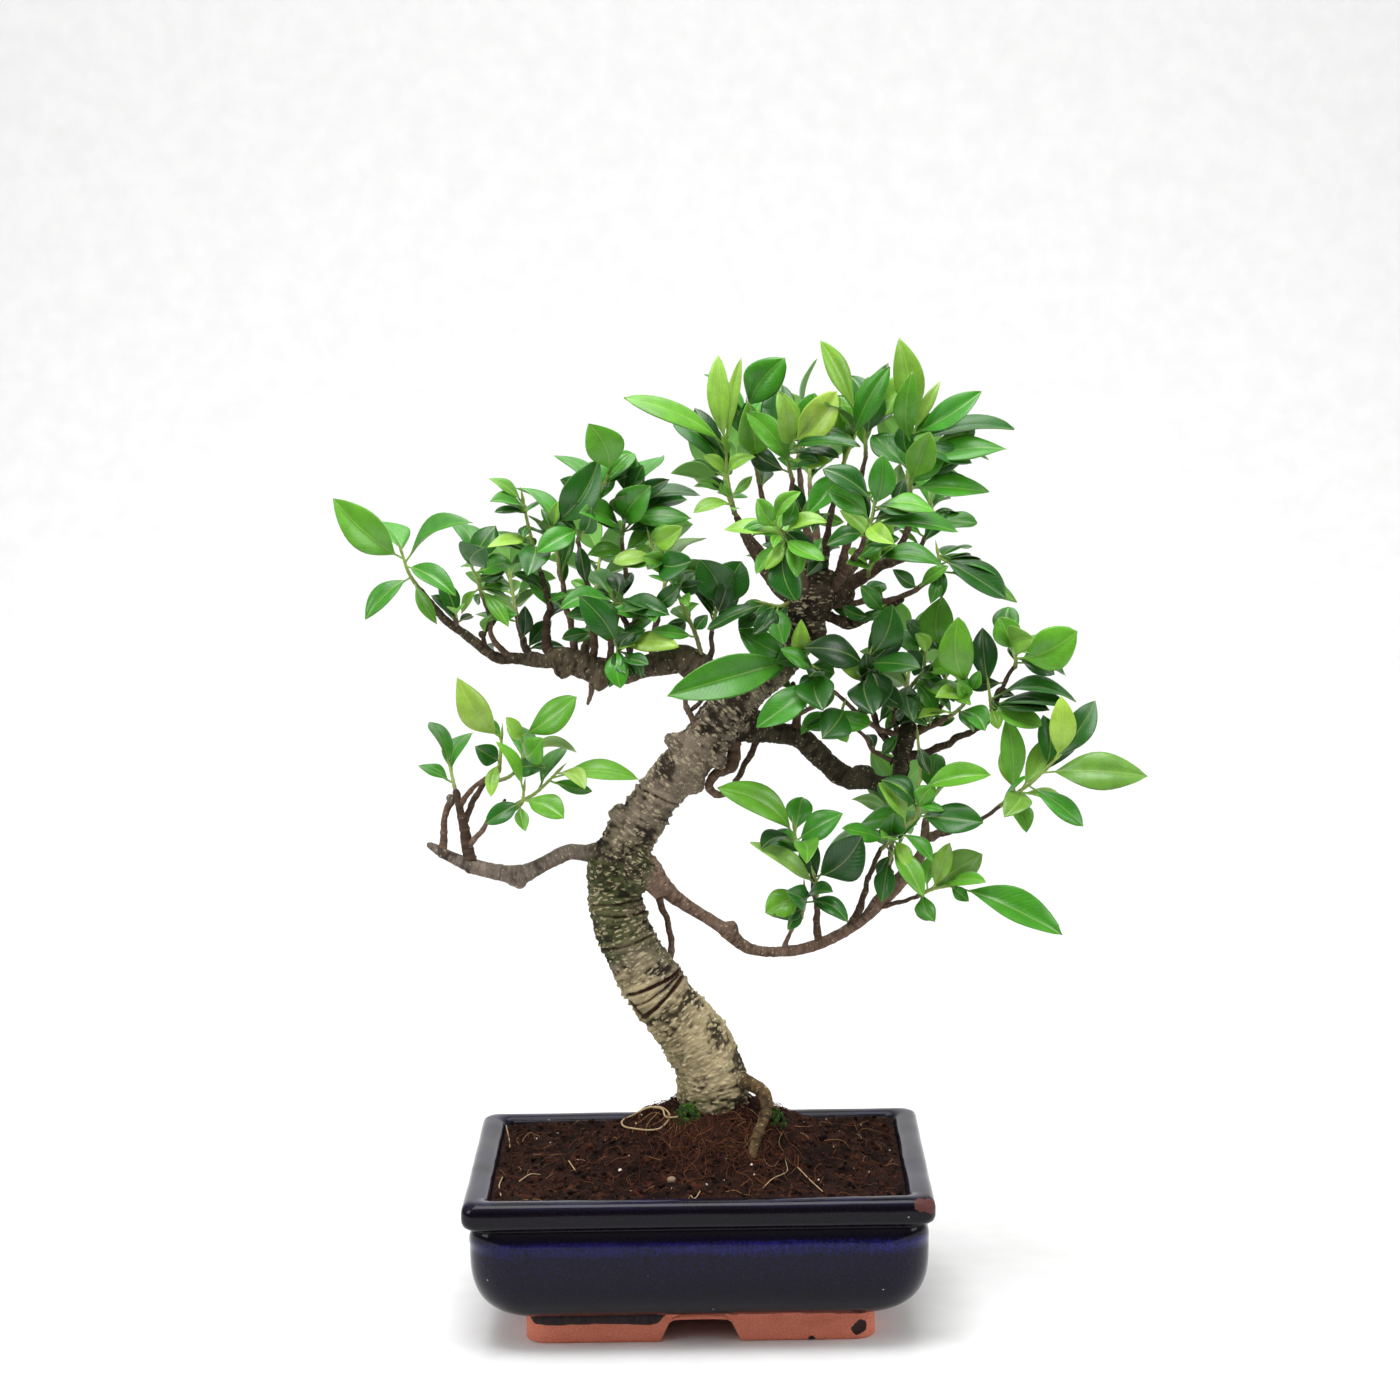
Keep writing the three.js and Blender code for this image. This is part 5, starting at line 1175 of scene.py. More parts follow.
def on_limbs(points):
    """Nearest sample of each point, and its distance from every limb's surface."""
    nearest, apart = np.zeros(len(points), int), np.zeros((len(points), len(LIMBS)))
    for start in range(0, len(points), BATCH):
        part = points[start : start + BATCH]
        gap = np.linalg.norm(part[:, None] - samples[None, :, PLACE], axis=2)
        gap -= samples[:, THICKNESS] / 2
        nearest[start : start + BATCH] = gap.argmin(1)
        for limb in range(len(LIMBS)):
            own = samples[:, LIMB] == limb
            apart[start : start + BATCH, limb] = gap[:, own].min(1)
    return nearest, apart


def straightened(points, nearest):
    """Points as if their limb were straight: two directions across it and one along."""
    chosen = samples[nearest]
    away = points - chosen[:, PLACE]
    across = np.stack([(away * chosen[:, SIDE]).sum(1), (away * chosen[:, FRONT]).sum(1)], 1)
    along = chosen[:, ALONG] + (away * chosen[:, TANGENT]).sum(1)
    straight = np.column_stack([across, along + chosen[:, LIMB] * LIMB_SPACING])
    return straight, chosen[:, THICKNESS] / 2


def line_distance(flat, start, end):
    """Distance in the X-Z plane from a line between two points."""
    start, end = np.array(start, float), np.array(end, float)
    run = end - start
    share = np.clip(((flat - start) @ run) / (run @ run), 0, 1)
    return np.linalg.norm(flat - start - share[:, None] * run, axis=1)


# %% Bark relief
BARK_TONES = {
    "trunk": "#8e826c", "left": "#6a5d4b", "lower_left": "#94867a", "lower_right": "#977c6c",
    "upper_right": "#4e4636", "crown_left": "#685444", "crown_right": "#685444",
}


def scar_depth(points):
    """Wire scars and rings of the trunk: how deep, and how raised beside them."""
    flat, front = points[:, [0, 2]], ease(2, -4, points[:, 1])
    groove, lip = np.zeros(len(points)), np.zeros(len(points))
    wobble = 0.7 * ripple(points / 7, 81)
    for start, end in SCARS:
        apart = line_distance(flat, start, end) + wobble * 0.6
        groove = np.maximum(groove, ease(1.7, 0.3, apart) * front)
        lip = np.maximum(lip, ease(5, 2, apart) * front)
    for (x, z), slope in RINGS:
        level = (flat[:, 1] - z - slope * (flat[:, 0] - x)) / math.hypot(1, slope)
        near = ease(30, 22, np.abs(flat[:, 0] - x))
        apart = np.abs(level + wobble)
        groove = np.maximum(groove, 0.6 * ease(1.3, 0.2, apart) * near)
        lip = np.maximum(lip, 0.9 * ease(4.5, 1.5, apart) * near)
    return groove, lip


def bark(mesh):
    """Moves the skin's points for bark and gives what the finish needs at each of them."""
    points = coordinates(mesh) / MM
    nearest, apart = on_limbs(points)
    straight, radius = straightened(points, nearest)
    trunk = ease(4, 0, apart[:, 0] - apart.min(1))
    thick = np.clip(radius / 16, 0.15, 1)
    groove, lip = scar_depth(points)
    groove, lip = groove * trunk, lip * trunk
    bars, number = dots(straight / [5.6, 5.6, 1.7], 91)
    lenticel = ease(0.48, 0.24, bars) * (number < 0.72) * trunk
    small, pick = dots(straight / [2.4, 2.4, 1.2], 101)
    scarce = 0.22 + 0.2 * trunk
    lenticel = np.maximum(lenticel, 0.85 * ease(0.46, 0.24, small) * (pick < scarce))
    wart, chosen = dots(straight / [5.2, 5.2, 3.4], 111)
    warts = ease(0.46, 0.1, wart) * (chosen < 0.5)
    bends = ease(0.0, 0.6, ripple(straight / [30, 30, 26], 121) + 0.2)
    wrinkles = ripple(straight / [7, 7, 2.0], 122) * (0.4 + 0.6 * bends)
    rough = ripple(straight / [2.8, 2.8, 1.6], 123)
    push = thick * (1.0 * ripple(points / 13, 124) + 0.75 * wrinkles + 1.1 * warts)
    push += (0.18 + 0.35 * thick) * rough + (0.15 + 0.4 * thick) * lenticel
    push += 1.2 * lip - 2.4 * groove
    moved = points + normals(mesh) * push[:, None]
    mesh.vertices.foreach_set("co", to_metres(moved).astype(np.float32).ravel())
    weights = np.exp(-(apart - apart.min(1, keepdims=True)) / 2.0)
    names = list(LIMBS)
    tones = np.array([rgb(BARK_TONES.get(name, "#76603f"))[:3] for name in names])
    tint = (weights @ tones) / weights.sum(1, keepdims=True)
    return points, straight, trunk, tint, lenticel, groove, push


def trunk_colours(points, trunk, tint):
    """The trunk's own change of colour with height, and where algae grow on it."""
    height = points[:, 2]
    drift = height + 14 * ripple(points / 17, 131)
    low = (ease(205, 180, drift) * trunk)[:, None]
    tint = tint * (1 - low) + low * np.array(rgb("#b2a37e")[:3])
    dark = (0.75 * ease(190, 212, drift) * ease(272, 250, drift) * trunk)[:, None]
    tint = tint * (1 - dark) + dark * np.array(rgb("#5f5742")[:3])
    warm = (ease(262, 285, drift) * ease(350, 330, drift) * trunk)[:, None]
    tint = tint * (1 - warm) + warm * np.array(rgb("#8a7c6c")[:3])
    top = (ease(345, 372, drift) * trunk)[:, None]
    tint = tint * (1 - top) + top * np.array(rgb("#4c4235")[:3])
    patch = ripple(points / [9, 9, 7], 132) * 0.7 + ripple(points / 3.5, 133) * 0.5
    upper = ease(190, 214, drift) * ease(272, 250, drift)
    shaded = ease(10, -14, points[:, 0] - np.interp(height, TRUNK_LINE[:, 2], TRUNK_LINE[:, 0]))
    foot = ease(150, 108, drift) * (0.3 + 0.5 * shaded)
    crook = 0.35 * ease(300, 270, drift) * ease(255, 270, drift)
    side = 0.5 * shaded * ease(205, 180, drift) * ease(120, 150, drift)
    algae = np.clip(upper * (0.75 + 0.2 * shaded) + foot + crook + side, 0, 1)
    algae = ease(0.35, 0.95, algae * 0.95 + patch * 0.55) * trunk
    return tint, algae


TRUNK_LINE = np.array(TRUNK, float)
smooth_points, straight, on_trunk, limb_tint, lenticels, scars, push = bark(wood)
tint, algae = trunk_colours(smooth_points, on_trunk, limb_tint)
stored = {"straight": straight, "tint": tint, "algae": algae, "lenticel": lenticels,
          "scar": scars, "relief": push}
for name, values in stored.items():
    set_values(wood, name, values)
print("bark relief from", round(push.min(), 2), "to", round(push.max(), 2), "mm")

# %% [markdown]
# ## Bark finish
# The bark of this fig is grey-brown and dotted with cream lenticels, the corky pores,
# which lie across the limb. They were raised in the mesh, so the finish only has to
# colour the same places. Hollows of the relief are made darker and its raised parts
# lighter, and algae green the shaded stretches.

# %% The bark's finish
def bark_finish():
    wood_skin = Finish("fig bark", IOR=1.3)
    straight = wood_skin.vector("straight")
    fine = wood_skin.grain(1.0, 6, 0.7, straight * (0.55, 0.55, 1.5))
    streak = wood_skin.grain(1.0, 4, 0.6, straight * (0.16, 0.16, 0.9))
    coarse = wood_skin.grain(1.0, 4, 0.6, straight * (0.12, 0.12, 0.16))
    # The relief's raised places make the colour below lighter, and its hollows make it darker.
    raised = wood_skin.value("relief").within(-0.9, 1.1)
    lenticel = wood_skin.value("lenticel")
    shade = (fine * 0.6 + streak * 0.4 + coarse * 0.3 + raised * 0.5).within(0.45, 1.25)
    colour = wood_skin.vector("tint") * shade.blend(rgb("#5a544c"), rgb("#ffffff"))
    pale = (fine * 0.5 + coarse * 0.5 + raised * 0.25).within(0.62, 0.86) * 0.4
    colour = pale.blend(colour, wood_skin.vector("tint") + rgb("#4a4436")[:3])
    bars = wood_skin.speckle(1.0, straight * (0.2, 0.2, 0.8), Randomness=1.0).within(0.3, 0.16)
    cork = (lenticel * (0.45 + fine * 0.9)).within(0.2, 0.7)
    cork = (cork * 0.9 + bars * fine.within(0.4, 0.55) * 0.45).within(0, 1)
    tops = fine.within(0.35, 0.65).blend(rgb("#a3926c"), rgb("#e2d6b4"))
    kept = {0: 0.72, 6: wood_skin.vector("tint"), 7: tops}
    colour = (cork * 0.9).blend(colour, straight.node("ShaderNodeMix", {"data_type": "RGBA"}, kept, 2))
    green = fine.within(0.3, 0.7).blend(rgb("#232a13"), rgb("#56652f"))
    colour = (wood_skin.value("algae") * (1 - cork * 0.8) * 0.7).blend(colour, green)
    # The relief's hollows are made darker here, towards a near-black brown.
    darker_hollows = (1 - raised.within(0.12, 0.42)) * 0.75
    colour = darker_hollows.blend(colour, rgb("#221a12"))
    colour = (wood_skin.value("scar").within(0.2, 0.8) * 0.85).blend(colour, rgb("#412617"))
    relief = wood_skin.relief(fine * 0.8 + streak * 0.6 + cork * 0.4, 0.7)
    roughness = 0.74 + fine * 0.2
    return wood_skin.feed(Base_Color=colour, Roughness=roughness, Normal=relief)


bark_material = bark_finish()
finished(wood, "trunk_and_limbs", bark_material, ["trunk_and_branches"])

# %% [markdown]
# ## Twigs
# Twigs are too thin for the remesh. They stay as tubes that start inside their branch,
# with a swelling at every old leaf scar, and are redder and smoother than old bark.

# %% Twigs with their nodes
TWIG_TONES = [rgb(code)[:3] for code in ("#7d6353", "#695346", "#8a7060", "#5c493c")]
TWIG_SLIMNESS, TWIG_STEP, TWIG_SIDES = 0.88, 0.9, 9
# Short dark bits of dead twig: x, y, z, thickness.
DARK_BITS = [
    [[132, -2, 244, 2.4], [133, -4, 249, 2.0], [137, -5, 252, 1.6], [135, -5, 255, 1.2]],
    [[112, -2, 311, 1.3], [114, -4, 316, 1.3], [116, -3, 321, 1.2]],
    [[121, -2, 304, 1.2], [122, -4, 309, 1.2], [121, -3, 314, 1.2]],
]


def twig(bundle, points, number, tone):
    """One twig: a wavering tube with a ring of swelling at each old leaf scar."""
    path = smooth_path(points, TWIG_STEP)
    steps = np.arange(len(path)) * TWIG_STEP
    spacing = 6.2 + 3.5 * hashed(np.array([[number, 1, 2]]), 5)[0]
    phase = (steps / spacing + 0.4 * ripple(path[:, :3] / 9, 140)) % 1
    swell = np.exp(-(((phase - 0.5) * spacing / 0.8) ** 2))
    path[:, 3] *= TWIG_SLIMNESS * (1 + 0.15 * swell + 0.14 * ripple(path[:, :3] / 2.6, 141))
    taper = ease(0, 4, steps)[:, None]
    path[:, :3] += taper * 0.9 * np.stack([ripple(path[:, :3] / 6, 142 + k) for k in range(3)], 1)
    body, faces, share = tube(path, TWIG_SIDES)
    body += unit(body - body.mean(0)) * 0.12 * ripple(body / 1.3, 151)[:, None]
    turn = np.arange(TWIG_SIDES) * 2 * math.pi / TWIG_SIDES
    angle = np.tile(turn, len(body) // TWIG_SIDES + 2)[: len(body)]
    along = share * steps[-1]
    straight = np.column_stack([np.cos(angle) * 1.5, np.sin(angle) * 1.5, along + number * 60])
    spots, pick = dots(straight / [0.9, 0.9, 1.3], 161)
    lenticel = ease(0.42, 0.2, spots) * (pick < 0.16) * 0.6
    relief = np.interp(along, steps, swell) * 0.5 + 0.1 + 0.3 * lenticel
    bundle.add(body, faces, straight=straight, tint=np.array(tone), algae=0.0, lenticel=lenticel,
               scar=0.0, relief=relief)


twigs = Bundle()
for number, points in enumerate(TWIGS):
    twig(twigs, points, number, TWIG_TONES[number % len(TWIG_TONES)])
for number, points in enumerate(DARK_BITS):
    twig(twigs, points, 200 + number, rgb("#2a221c")[:3])
twigs.build("woody_twigs", bark_material, "bark")

# %% [markdown]
# ## The shoots
# Every leafy shoot is listed by name: a line with the name and the points of its green
# stem, then lines of leaves with commas between them. A leaf is the share of the stem
# where its stalk starts, the tip's x, y and z, the width, the roll and the tone. Roll 0
# turns its upper side to the front, 90 to the sky and 180 to the back.

# %% Stems and leaves
# A leaf's tone letter holds its own green together with painted light and shade: shaded leaves have darker
# letters and lit leaves lighter ones.
SHOOT_TABLE = """
# far left pad
left_tip_shoot: -151 -2 414, -157 -3 424, -160 -4 434
  0.9 -196 -22 468 24 20 l, 0.7 -129 -26 413 16 50 m, 0.4 -181 -12 399 18 60 m, 0.25 -141 -14 396 9 30 l
  0.8 -120 -8 452 20 65 m, 0.95 -176 28 450 22 100 m
left_pad_shoot_1: -116 0 409, -119 -2 420, -122 -4 428
  0.9 -112 -28 440 23 8 d, 1 -108 4 449 20 55 d, 0.5 -98 -10 428 16 45 m, 0.25 -101 -14 394 11 40 l
  0.3 -101 12 413 12 60 l, 0.3 -129 8 399 9 45 n, 0.9 -134 30 448 20 110 m
left_pad_shoot_2: -84 5 424, -87 4 436, -90 3 450, -92 2 462
  0.98 -111 0 476 16 70 l, 0.85 -110 -12 464 16 60 m, 0.5 -112 -16 439 14 62 y, 0.35 -89 -30 424 20 12 d
  0.8 -74 30 470 20 110 m, 0.45 -106 36 440 20 110 m
left_back_shoot: -100 48 392, -102 54 402, -104 58 414
  1 -122 76 440 22 150 m, 0.9 -88 78 438 22 150 m, 0.6 -130 64 416 20 130 m, 0.5 -78 66 412 20 130 m
  0.3 -104 84 398 20 150 m
# left of the trunk
inner_left_shoot_1: -62 -5 440, -58 -7 452, -50 -8 466, -44 -8 478
  1 -54 -20 507 24 14 l, 0.7 -30 10 488 20 50 m, 0.35 -26 -24 474 22 25 m, 0.6 -76 26 486 22 100 m
  0.2 -84 -20 436 18 40 m
inner_left_shoot_2: -72 3 418, -74 1 434, -76 0 450
  1 -50 -16 485 24 18 d, 0.9 -72 -6 463 7 40 n, 0.8 -98 26 468 20 100 m, 0.5 -86 42 446 20 110 m
inner_left_shoot_3: -38 8 438, -36 6 450, -34 4 462
  0.4 -20 -16 472 22 18 m, 0.2 -66 -14 462 20 35 m, 1 -38 12 492 18 62 m, 0.5 0 -10 452 18 50 m
  0.8 7 6 464 16 65 d, 0.95 -14 36 484 22 100 m
inner_left_shoot_4: 6 -9 377, 3 -11 388, -3 -11 402, -9 -10 416, -18 -8 430, -21 -6 440
  0.98 -3 -20 449 15 20 n, 0.85 2 -28 431 19 12 d, 0.85 -42 -14 429 16 55 p, 0.14 -21 -18 391 15 60 m
  0.7 10 24 438 20 100 p
inner_left_shoot_5: 12 2 387, 14 0 396, 16 -2 404
  0.95 6 -12 430 25 6 d, 0.8 29 -8 427 25 6 d, 0.5 4 30 416 22 110 m
inner_left_shoot_6: -40 -6 402, -42 -8 408
  0.6 -11 -22 400 17 42 d, 0.9 -58 22 420 18 90 m, 0.4 -72 -18 404 16 45 m
inner_left_shoot_7: -37 -10 372, -39 -12 376, -41 -13 382
  1 -61 -24 412 20 12 d, 0.9 -39 -26 360 15 28 m, 0.8 -6 -26 383 16 35 y, 0.95 -25 -6 391 14 50 d
left_branch_back_shoot: -55 50 400, -54 56 410, -52 62 424
  1 -70 78 452 22 150 m, 0.9 -34 80 448 22 150 m, 0.6 -82 62 424 20 130 m, 0.5 -28 66 420 20 130 m
  0.3 -54 84 404 20 150 m
centre_back_shoot: -16 46 402, -14 52 412, -12 56 424
  1 -28 74 450 22 150 m, 0.9 6 76 446 22 150 m, 0.5 14 62 416 20 130 m, 0.3 -14 84 406 20 150 m
# crown
crown_shoot_1: 27 -4 452, 24 -5 464, 22 -6 478, 22 -7 492
  1 -34 -26 521 24 55 l, 0.55 -8 4 506 22 48 d, 0.98 18 -8 543 14 20 n, 0.95 31 0 541 8 30 y
  0.6 9 -16 488 9 30 n, 0.6 38 -16 487 9 30 n, 0.2 3 -16 456 13 60 n
crown_shoot_2: 40 8 470, 38 6 482, 35 4 496, 34 3 510
  1 55 -12 541 24 14 m, 0.3 34 -22 518 20 10 l, 0.9 10 32 530 22 110 m, 0.7 50 38 518 22 110 m
crown_shoot_3: 58 -10 474, 56 -11 484, 57 -12 494
  0.95 53 -4 529 22 10 d, 0.3 33 -24 512 18 32 l, 1 83 -26 523 22 18 y, 0.8 98 -30 493 20 62 d
  0.25 73 -28 484 16 40 d
crown_shoot_4: 62 15 482, 64 18 492, 66 20 502
  1 74 34 538 20 110 m, 0.6 40 38 514 20 120 m, 0.8 92 40 510 20 120 m, 0.5 72 12 520 20 40 m
crown_shoot_5: 84 -12 474, 88 -14 486, 93 -15 498, 94 -16 508
  1 74 -20 551 17 58 n, 0.3 79 -4 516 20 30 d, 0.6 112 -30 536 18 40 m, 0.2 66 -30 456 18 50 m
crown_shoot_6: 100 12 484, 100 10 492, 100 8 500
  0.6 101 2 529 20 14 d, 0.98 128 -8 526 20 24 n, 0.8 84 46 526 22 120 m, 0.7 120 46 512 22 120 m
crown_shoot_7: 124 -5 462, 124 -6 476, 124 -7 488, 125 -8 498
  1 118 -12 551 19 18 n, 0.98 163 -16 521 20 40 m, 0.2 134 -28 500 19 12 l, 0.85 182 -4 499 20 62 d
  0.5 177 -18 489 20 48 m, 0.15 167 -14 465 20 50 m, 0.95 141 -8 527 8 30 y, 0.4 104 12 496 20 40 m
crown_shoot_8: 134 10 440, 135 9 448, 136 10 455
  0.9 160 40 466 22 110 m, 0.7 128 44 476 22 110 m, 0.4 162 6 446 20 60 m
crown_front_shoot_1: 55 -40 440, 52 -43 446, 48 -45 452
  0.2 59 -52 410 21 16 d, 0.5 76 -50 453 15 58 n, 0.25 42 -52 428 9 30 n, 0.35 74 -58 433 16 62 l
  1 62 -50 470 11 40 l, 0.95 38 -54 467 14 30 l, 0.6 20 -40 449 16 58 n
crown_front_shoot_2: 98 -42 446, 101 -46 456, 102 -48 464
  0.8 106 -56 490 17 8 m, 0.7 135 -52 458 18 58 l, 0.3 112 -64 442 13 18 n, 0.95 74 -46 482 18 40 d
  0.25 148 -44 446 20 60 m
crown_front_shoot_3: 100 -3 418, 101 -10 426, 104 -16 432
  0.6 141 -24 425 18 55 m, 1 84 -22 457 16 50 n, 0.9 112 -30 454 13 30 n, 0.35 88 -30 434 12 40 n
crown_front_shoot_4: 56 -4 404, 50 -12 403, 43 -16 405
  1 10 -24 392 16 68 k, 0.5 27 -20 392 20 45 d, 0.6 52 -34 384 16 30 m
crown_right_shoot: 139 -5 417, 140 -8 424, 139 -9 430
  0.9 176 -18 406 24 52 d, 0.3 183 -4 402 22 58 l, 0.2 134 -20 404 9 30 m, 0.8 158 24 430 20 100 m
crown_back_shoot_1: 70 70 462, 70 74 474, 70 76 486
  1 54 94 516 22 150 m, 0.95 90 94 512 22 150 m, 0.6 42 90 488 22 130 m, 0.5 98 92 484 22 130 m
  0.3 70 106 470 22 150 m
crown_back_shoot_2: 26 50 450, 22 54 462, 20 56 474
  1 0 72 502 22 150 m, 0.95 38 78 504 22 150 m, 0.5 -10 64 472 22 130 m, 0.3 20 86 458 20 150 m
crown_back_shoot_3: 120 48 450, 124 52 462, 126 54 474
  1 110 72 504 22 150 m, 0.95 150 74 498 22 150 m, 0.5 156 64 468 22 130 m, 0.3 126 86 456 20 150 m
trunk_top_shoot: 58 -8 374, 62 -13 373, 66 -16 371
  0.5 -13 -44 358 26 14 m, 1 62 -24 397 12 28 n, 0.7 46 -22 373 14 40 d, 0.35 27 -16 391 19 28 m
  0.95 82 -16 364 18 20 d
# right pad
right_pad_shoot_1: 102 9 346, 100 0 356, 98 -8 366, 100 -12 374
  0.75 63 -32 382 22 28 k, 0.3 77 -18 376 18 40 n, 1 113 -20 404 21 10 d, 0.6 101 -38 345 22 20 k
  0.85 130 -26 370 20 48 d, 0.5 84 26 370 20 100 m
right_pad_shoot_2: 75 -18 359, 72 -20 363, 69 -21 367
  0.9 73 -46 349 25 4 d, 0.5 36 -34 338 22 45 m, 1 50 -36 382 14 40 m
right_pad_shoot_3: 84 -6 336, 84 -10 342, 85 -14 346
  0.95 72 -44 333 22 5 d, 0.4 87 -16 326 11 5 l, 0.6 61 -18 331 12 58 m, 0.9 99 -26 337 20 38 m
right_pad_shoot_4: 123 9 352, 127 4 358, 131 0 364, 132 -2 372
  1 126 -8 386 11 45 n, 0.7 121 -16 378 15 28 k, 0.6 151 -16 365 18 45 l, 0.25 156 -20 347 18 58 l
  0.2 124 -22 338 16 20 d, 0.8 108 22 384 20 80 m
right_pad_shoot_5: 142 11 342, 144 10 354, 143 9 366, 142 8 374
  1 142 4 405 22 8 l, 0.4 152 -10 346 15 20 d, 0.9 122 12 391 18 50 d, 0.8 126 44 384 22 120 m
  0.5 164 42 372 22 120 m
right_pad_shoot_6: 144 -3 337, 150 -6 342, 155 -8 348, 157 -9 354
  1 149 -24 397 23 14 l, 0.3 164 -20 332 16 42 m, 0.25 127 -16 339 12 72 n, 0.6 136 -24 352 12 40 n
right_pad_shoot_7: 169 -3 340, 168 -7 347, 167 -9 354
  1 164 -2 388 17 28 k, 0.6 215 -18 347 22 72 d, 0.3 205 -30 345 18 68 d, 0.35 193 -22 335 18 50 l
  0.2 172 -14 332 9 10 n
right_pad_shoot_8: 182 -7 366, 182 -9 371, 180 -11 376
  0.5 215 -24 388 27 8 l, 0.95 172 -18 396 18 14 l, 0.9 190 -38 386 19 16 o, 0.8 180 10 398 17 50 m
  0.6 200 22 380 20 110 m, 0.25 211 -2 360 18 72 d
right_pad_back_shoot: 124 52 345, 126 58 356, 128 62 368
  1 112 80 396 22 150 m, 0.95 148 78 390 22 150 m, 0.6 98 72 366 20 130 m, 0.5 156 68 358 20 130 m
  0.3 126 86 348 20 150 m
# lower right branch
low_right_shoot_1: 66 -9 254, 62 -11 262, 58 -13 270, 57 -14 276
  0.8 14 -26 303 22 40 l, 0.75 84 -28 288 19 32 m, 0.9 62 4 292 17 40 m, 0.7 72 -36 250 16 40 l
  0.25 38 2 268 17 45 d
low_right_shoot_2: 69 -7 236, 70 -13 243, 68 -17 250
  1 94 -36 277 27 8 k, 0.6 32 -26 272 18 58 p, 0.8 98 18 274 20 110 m
low_right_shoot_3: 60 -12 226, 62 -14 233, 62 -16 241
  0.95 40 -24 231 20 28 l, 0.3 49 -36 249 16 28 d, 0.25 52 -32 223 10 0 d, 0.6 86 -28 226 14 50 d
  0.7 82 -14 245 16 60 d
low_right_shoot_4: 106 -10 264, 112 -12 270, 119 -14 277, 126 -15 284, 127 -14 299, 128 -12 312, 127 -10 326
  0.4 162 -30 282 22 32 d, 0.1 83 -26 279 15 50 m, 0.38 90 -4 274 19 48 m, 0.14 112 -30 288 17 14 d
  0.28 104 -22 304 15 42 n, 0.42 105 -18 306 17 50 d, 0.45 136 -20 302 14 15 l, 0.12 120 -26 253 10 30 n
  0.2 134 -26 259 12 68 m, 0.6 167 -20 307 18 45 l, 0.1 128 -34 241 15 45 l
low_right_shoot_5: 110 5 252, 112 0 258, 115 -2 263
  0.3 108 -22 243 14 10 d, 0.7 98 28 270 18 110 m, 0.95 128 20 280 18 100 m
low_right_shoot_6: 126 -11 237, 135 -12 241, 146 -13 243
  1 206 -30 217 24 48 m, 0.45 144 -20 269 13 42 n, 0.6 163 -34 249 13 50 l, 0.3 164 2 258 22 38 o
  0.2 135 -26 225 13 10 m, 0.12 132 -14 223 12 58 d
low_right_shoot_7: 172 -6 286, 182 -8 294, 191 -10 301, 198 -11 308, 204 -12 314
  0.75 254 -26 306 25 28 o, 1 206 -24 352 17 18 y, 0.95 227 -4 346 18 22 d, 0.4 173 -36 286 17 38 o
  0.5 219 -20 277 18 58 m, 0.25 177 -10 339 16 42 l, 0.35 213 8 284 17 60 n, 0.8 198 -2 338 16 50 d
  0.1 187 -20 274 14 58 l
low_right_back_shoot: 114 42 258, 116 48 268, 118 52 280
  1 104 68 308 22 150 m, 0.95 140 68 300 22 150 m, 0.6 92 60 280 20 130 m, 0.5 144 60 272 20 130 m
  0.3 120 76 258 20 150 m
low_right_end_shoot: 132 5 277, 134 8 284, 137 10 290
  0.9 164 22 300 18 100 m, 1 140 26 312 18 110 m, 0.5 112 20 296 18 100 m
# lower left branch
low_left_shoot_1: -109 -5 311, -108 -6 320, -107 -7 330
  1 -130 -22 367 20 22 y, 0.9 -122 -2 341 11 68 m, 0.3 -121 -22 328 14 14 d, 0.25 -113 -20 299 9 20 n
low_left_shoot_2: -100 -10 290, -96 -11 294, -95 -12 300
  1 -109 -24 331 14 62 l, 0.6 -72 -24 287 19 48 l, 0.3 -94 -20 279 9 50 l, 0.5 -116 -22 284 13 20 d
low_left_shoot_3: -118 8 304, -110 5 304, -103 2 307, -98 0 313, -95 -2 320, -96 -3 330
  1 -64 -14 354 21 32 l, 0.72 -83 -20 332 18 18 l, 0.95 -104 -14 343 12 40 n, 0.35 -87 -20 312 14 35 d
  0.75 -65 -6 321 13 68 p, 0.6 -104 30 332 18 110 m
low_left_shoot_4: -106 -9 288, -98 -6 293, -90 -4 297, -84 -4 302, -77 -5 309
  0.9 -30 -12 306 19 58 l, 1 -60 -24 303 13 60 p, 0.85 -57 4 297 12 50 m, 0.6 -72 22 320 16 100 m
low_left_shoot_5: -134 0 298, -136 6 304, -138 10 312
  0.9 -150 30 334 18 110 m, 0.6 -124 34 330 18 110 m, 0.4 -156 14 312 16 80 m
"""


# %% Read the table
def read_shoots(lines):
    """The table's shoots by name: points of the stem, then one tuple for each leaf."""
    shoots = {}
    for line in lines:
        name, _, rows = line.rpartition(":")
        if name:
            leaves = []
            shoots[name] = (number_rows(rows), leaves)
        else:
            for *numbers, tone in (row.split() for row in rows.split(",")):
                leaves.append((*map(float, numbers), tone))
    return shoots


SHOOTS = read_shoots(line for line in SHOOT_TABLE.strip().splitlines() if line[0] != "#")
print("shoots in the table:", len(SHOOTS))

# %% [markdown]
# ## Where the leaves stand
# In the part, a leaf that would have cut through its neighbour was turned, moved along
# its stem or made smaller. The same candidate places are tried here in the same order,
# and the first whose tip is a corner of the shoot's own solid is where the leaf stands.
# Leaflets under 14 mm wide have no solid of their own and stay where the table says.

# %% Candidate places
SLIDES = [0, 0.12, -0.12, 0.24, -0.24, 0.36, -0.36]
SIZES = [1, 0.85, 0.7, 0.55]
SWINGS = [0, 10, -10, 20, -20]
TILTS = [0, 8, -8, 16, -16, 24, -24, 32, -32, 40, -40, 50, -50, 60, -60]
LEAST_SOLID_WIDTH = 14
MATCH = 0.4


def turned(vector, axis, degrees):
    """A vector turned about an axis."""
    angle = math.radians(degrees)
    along = axis * (axis @ vector)
    flat = vector - along
    return along + flat * math.cos(angle) + np.cross(axis, flat) * math.sin(angle)


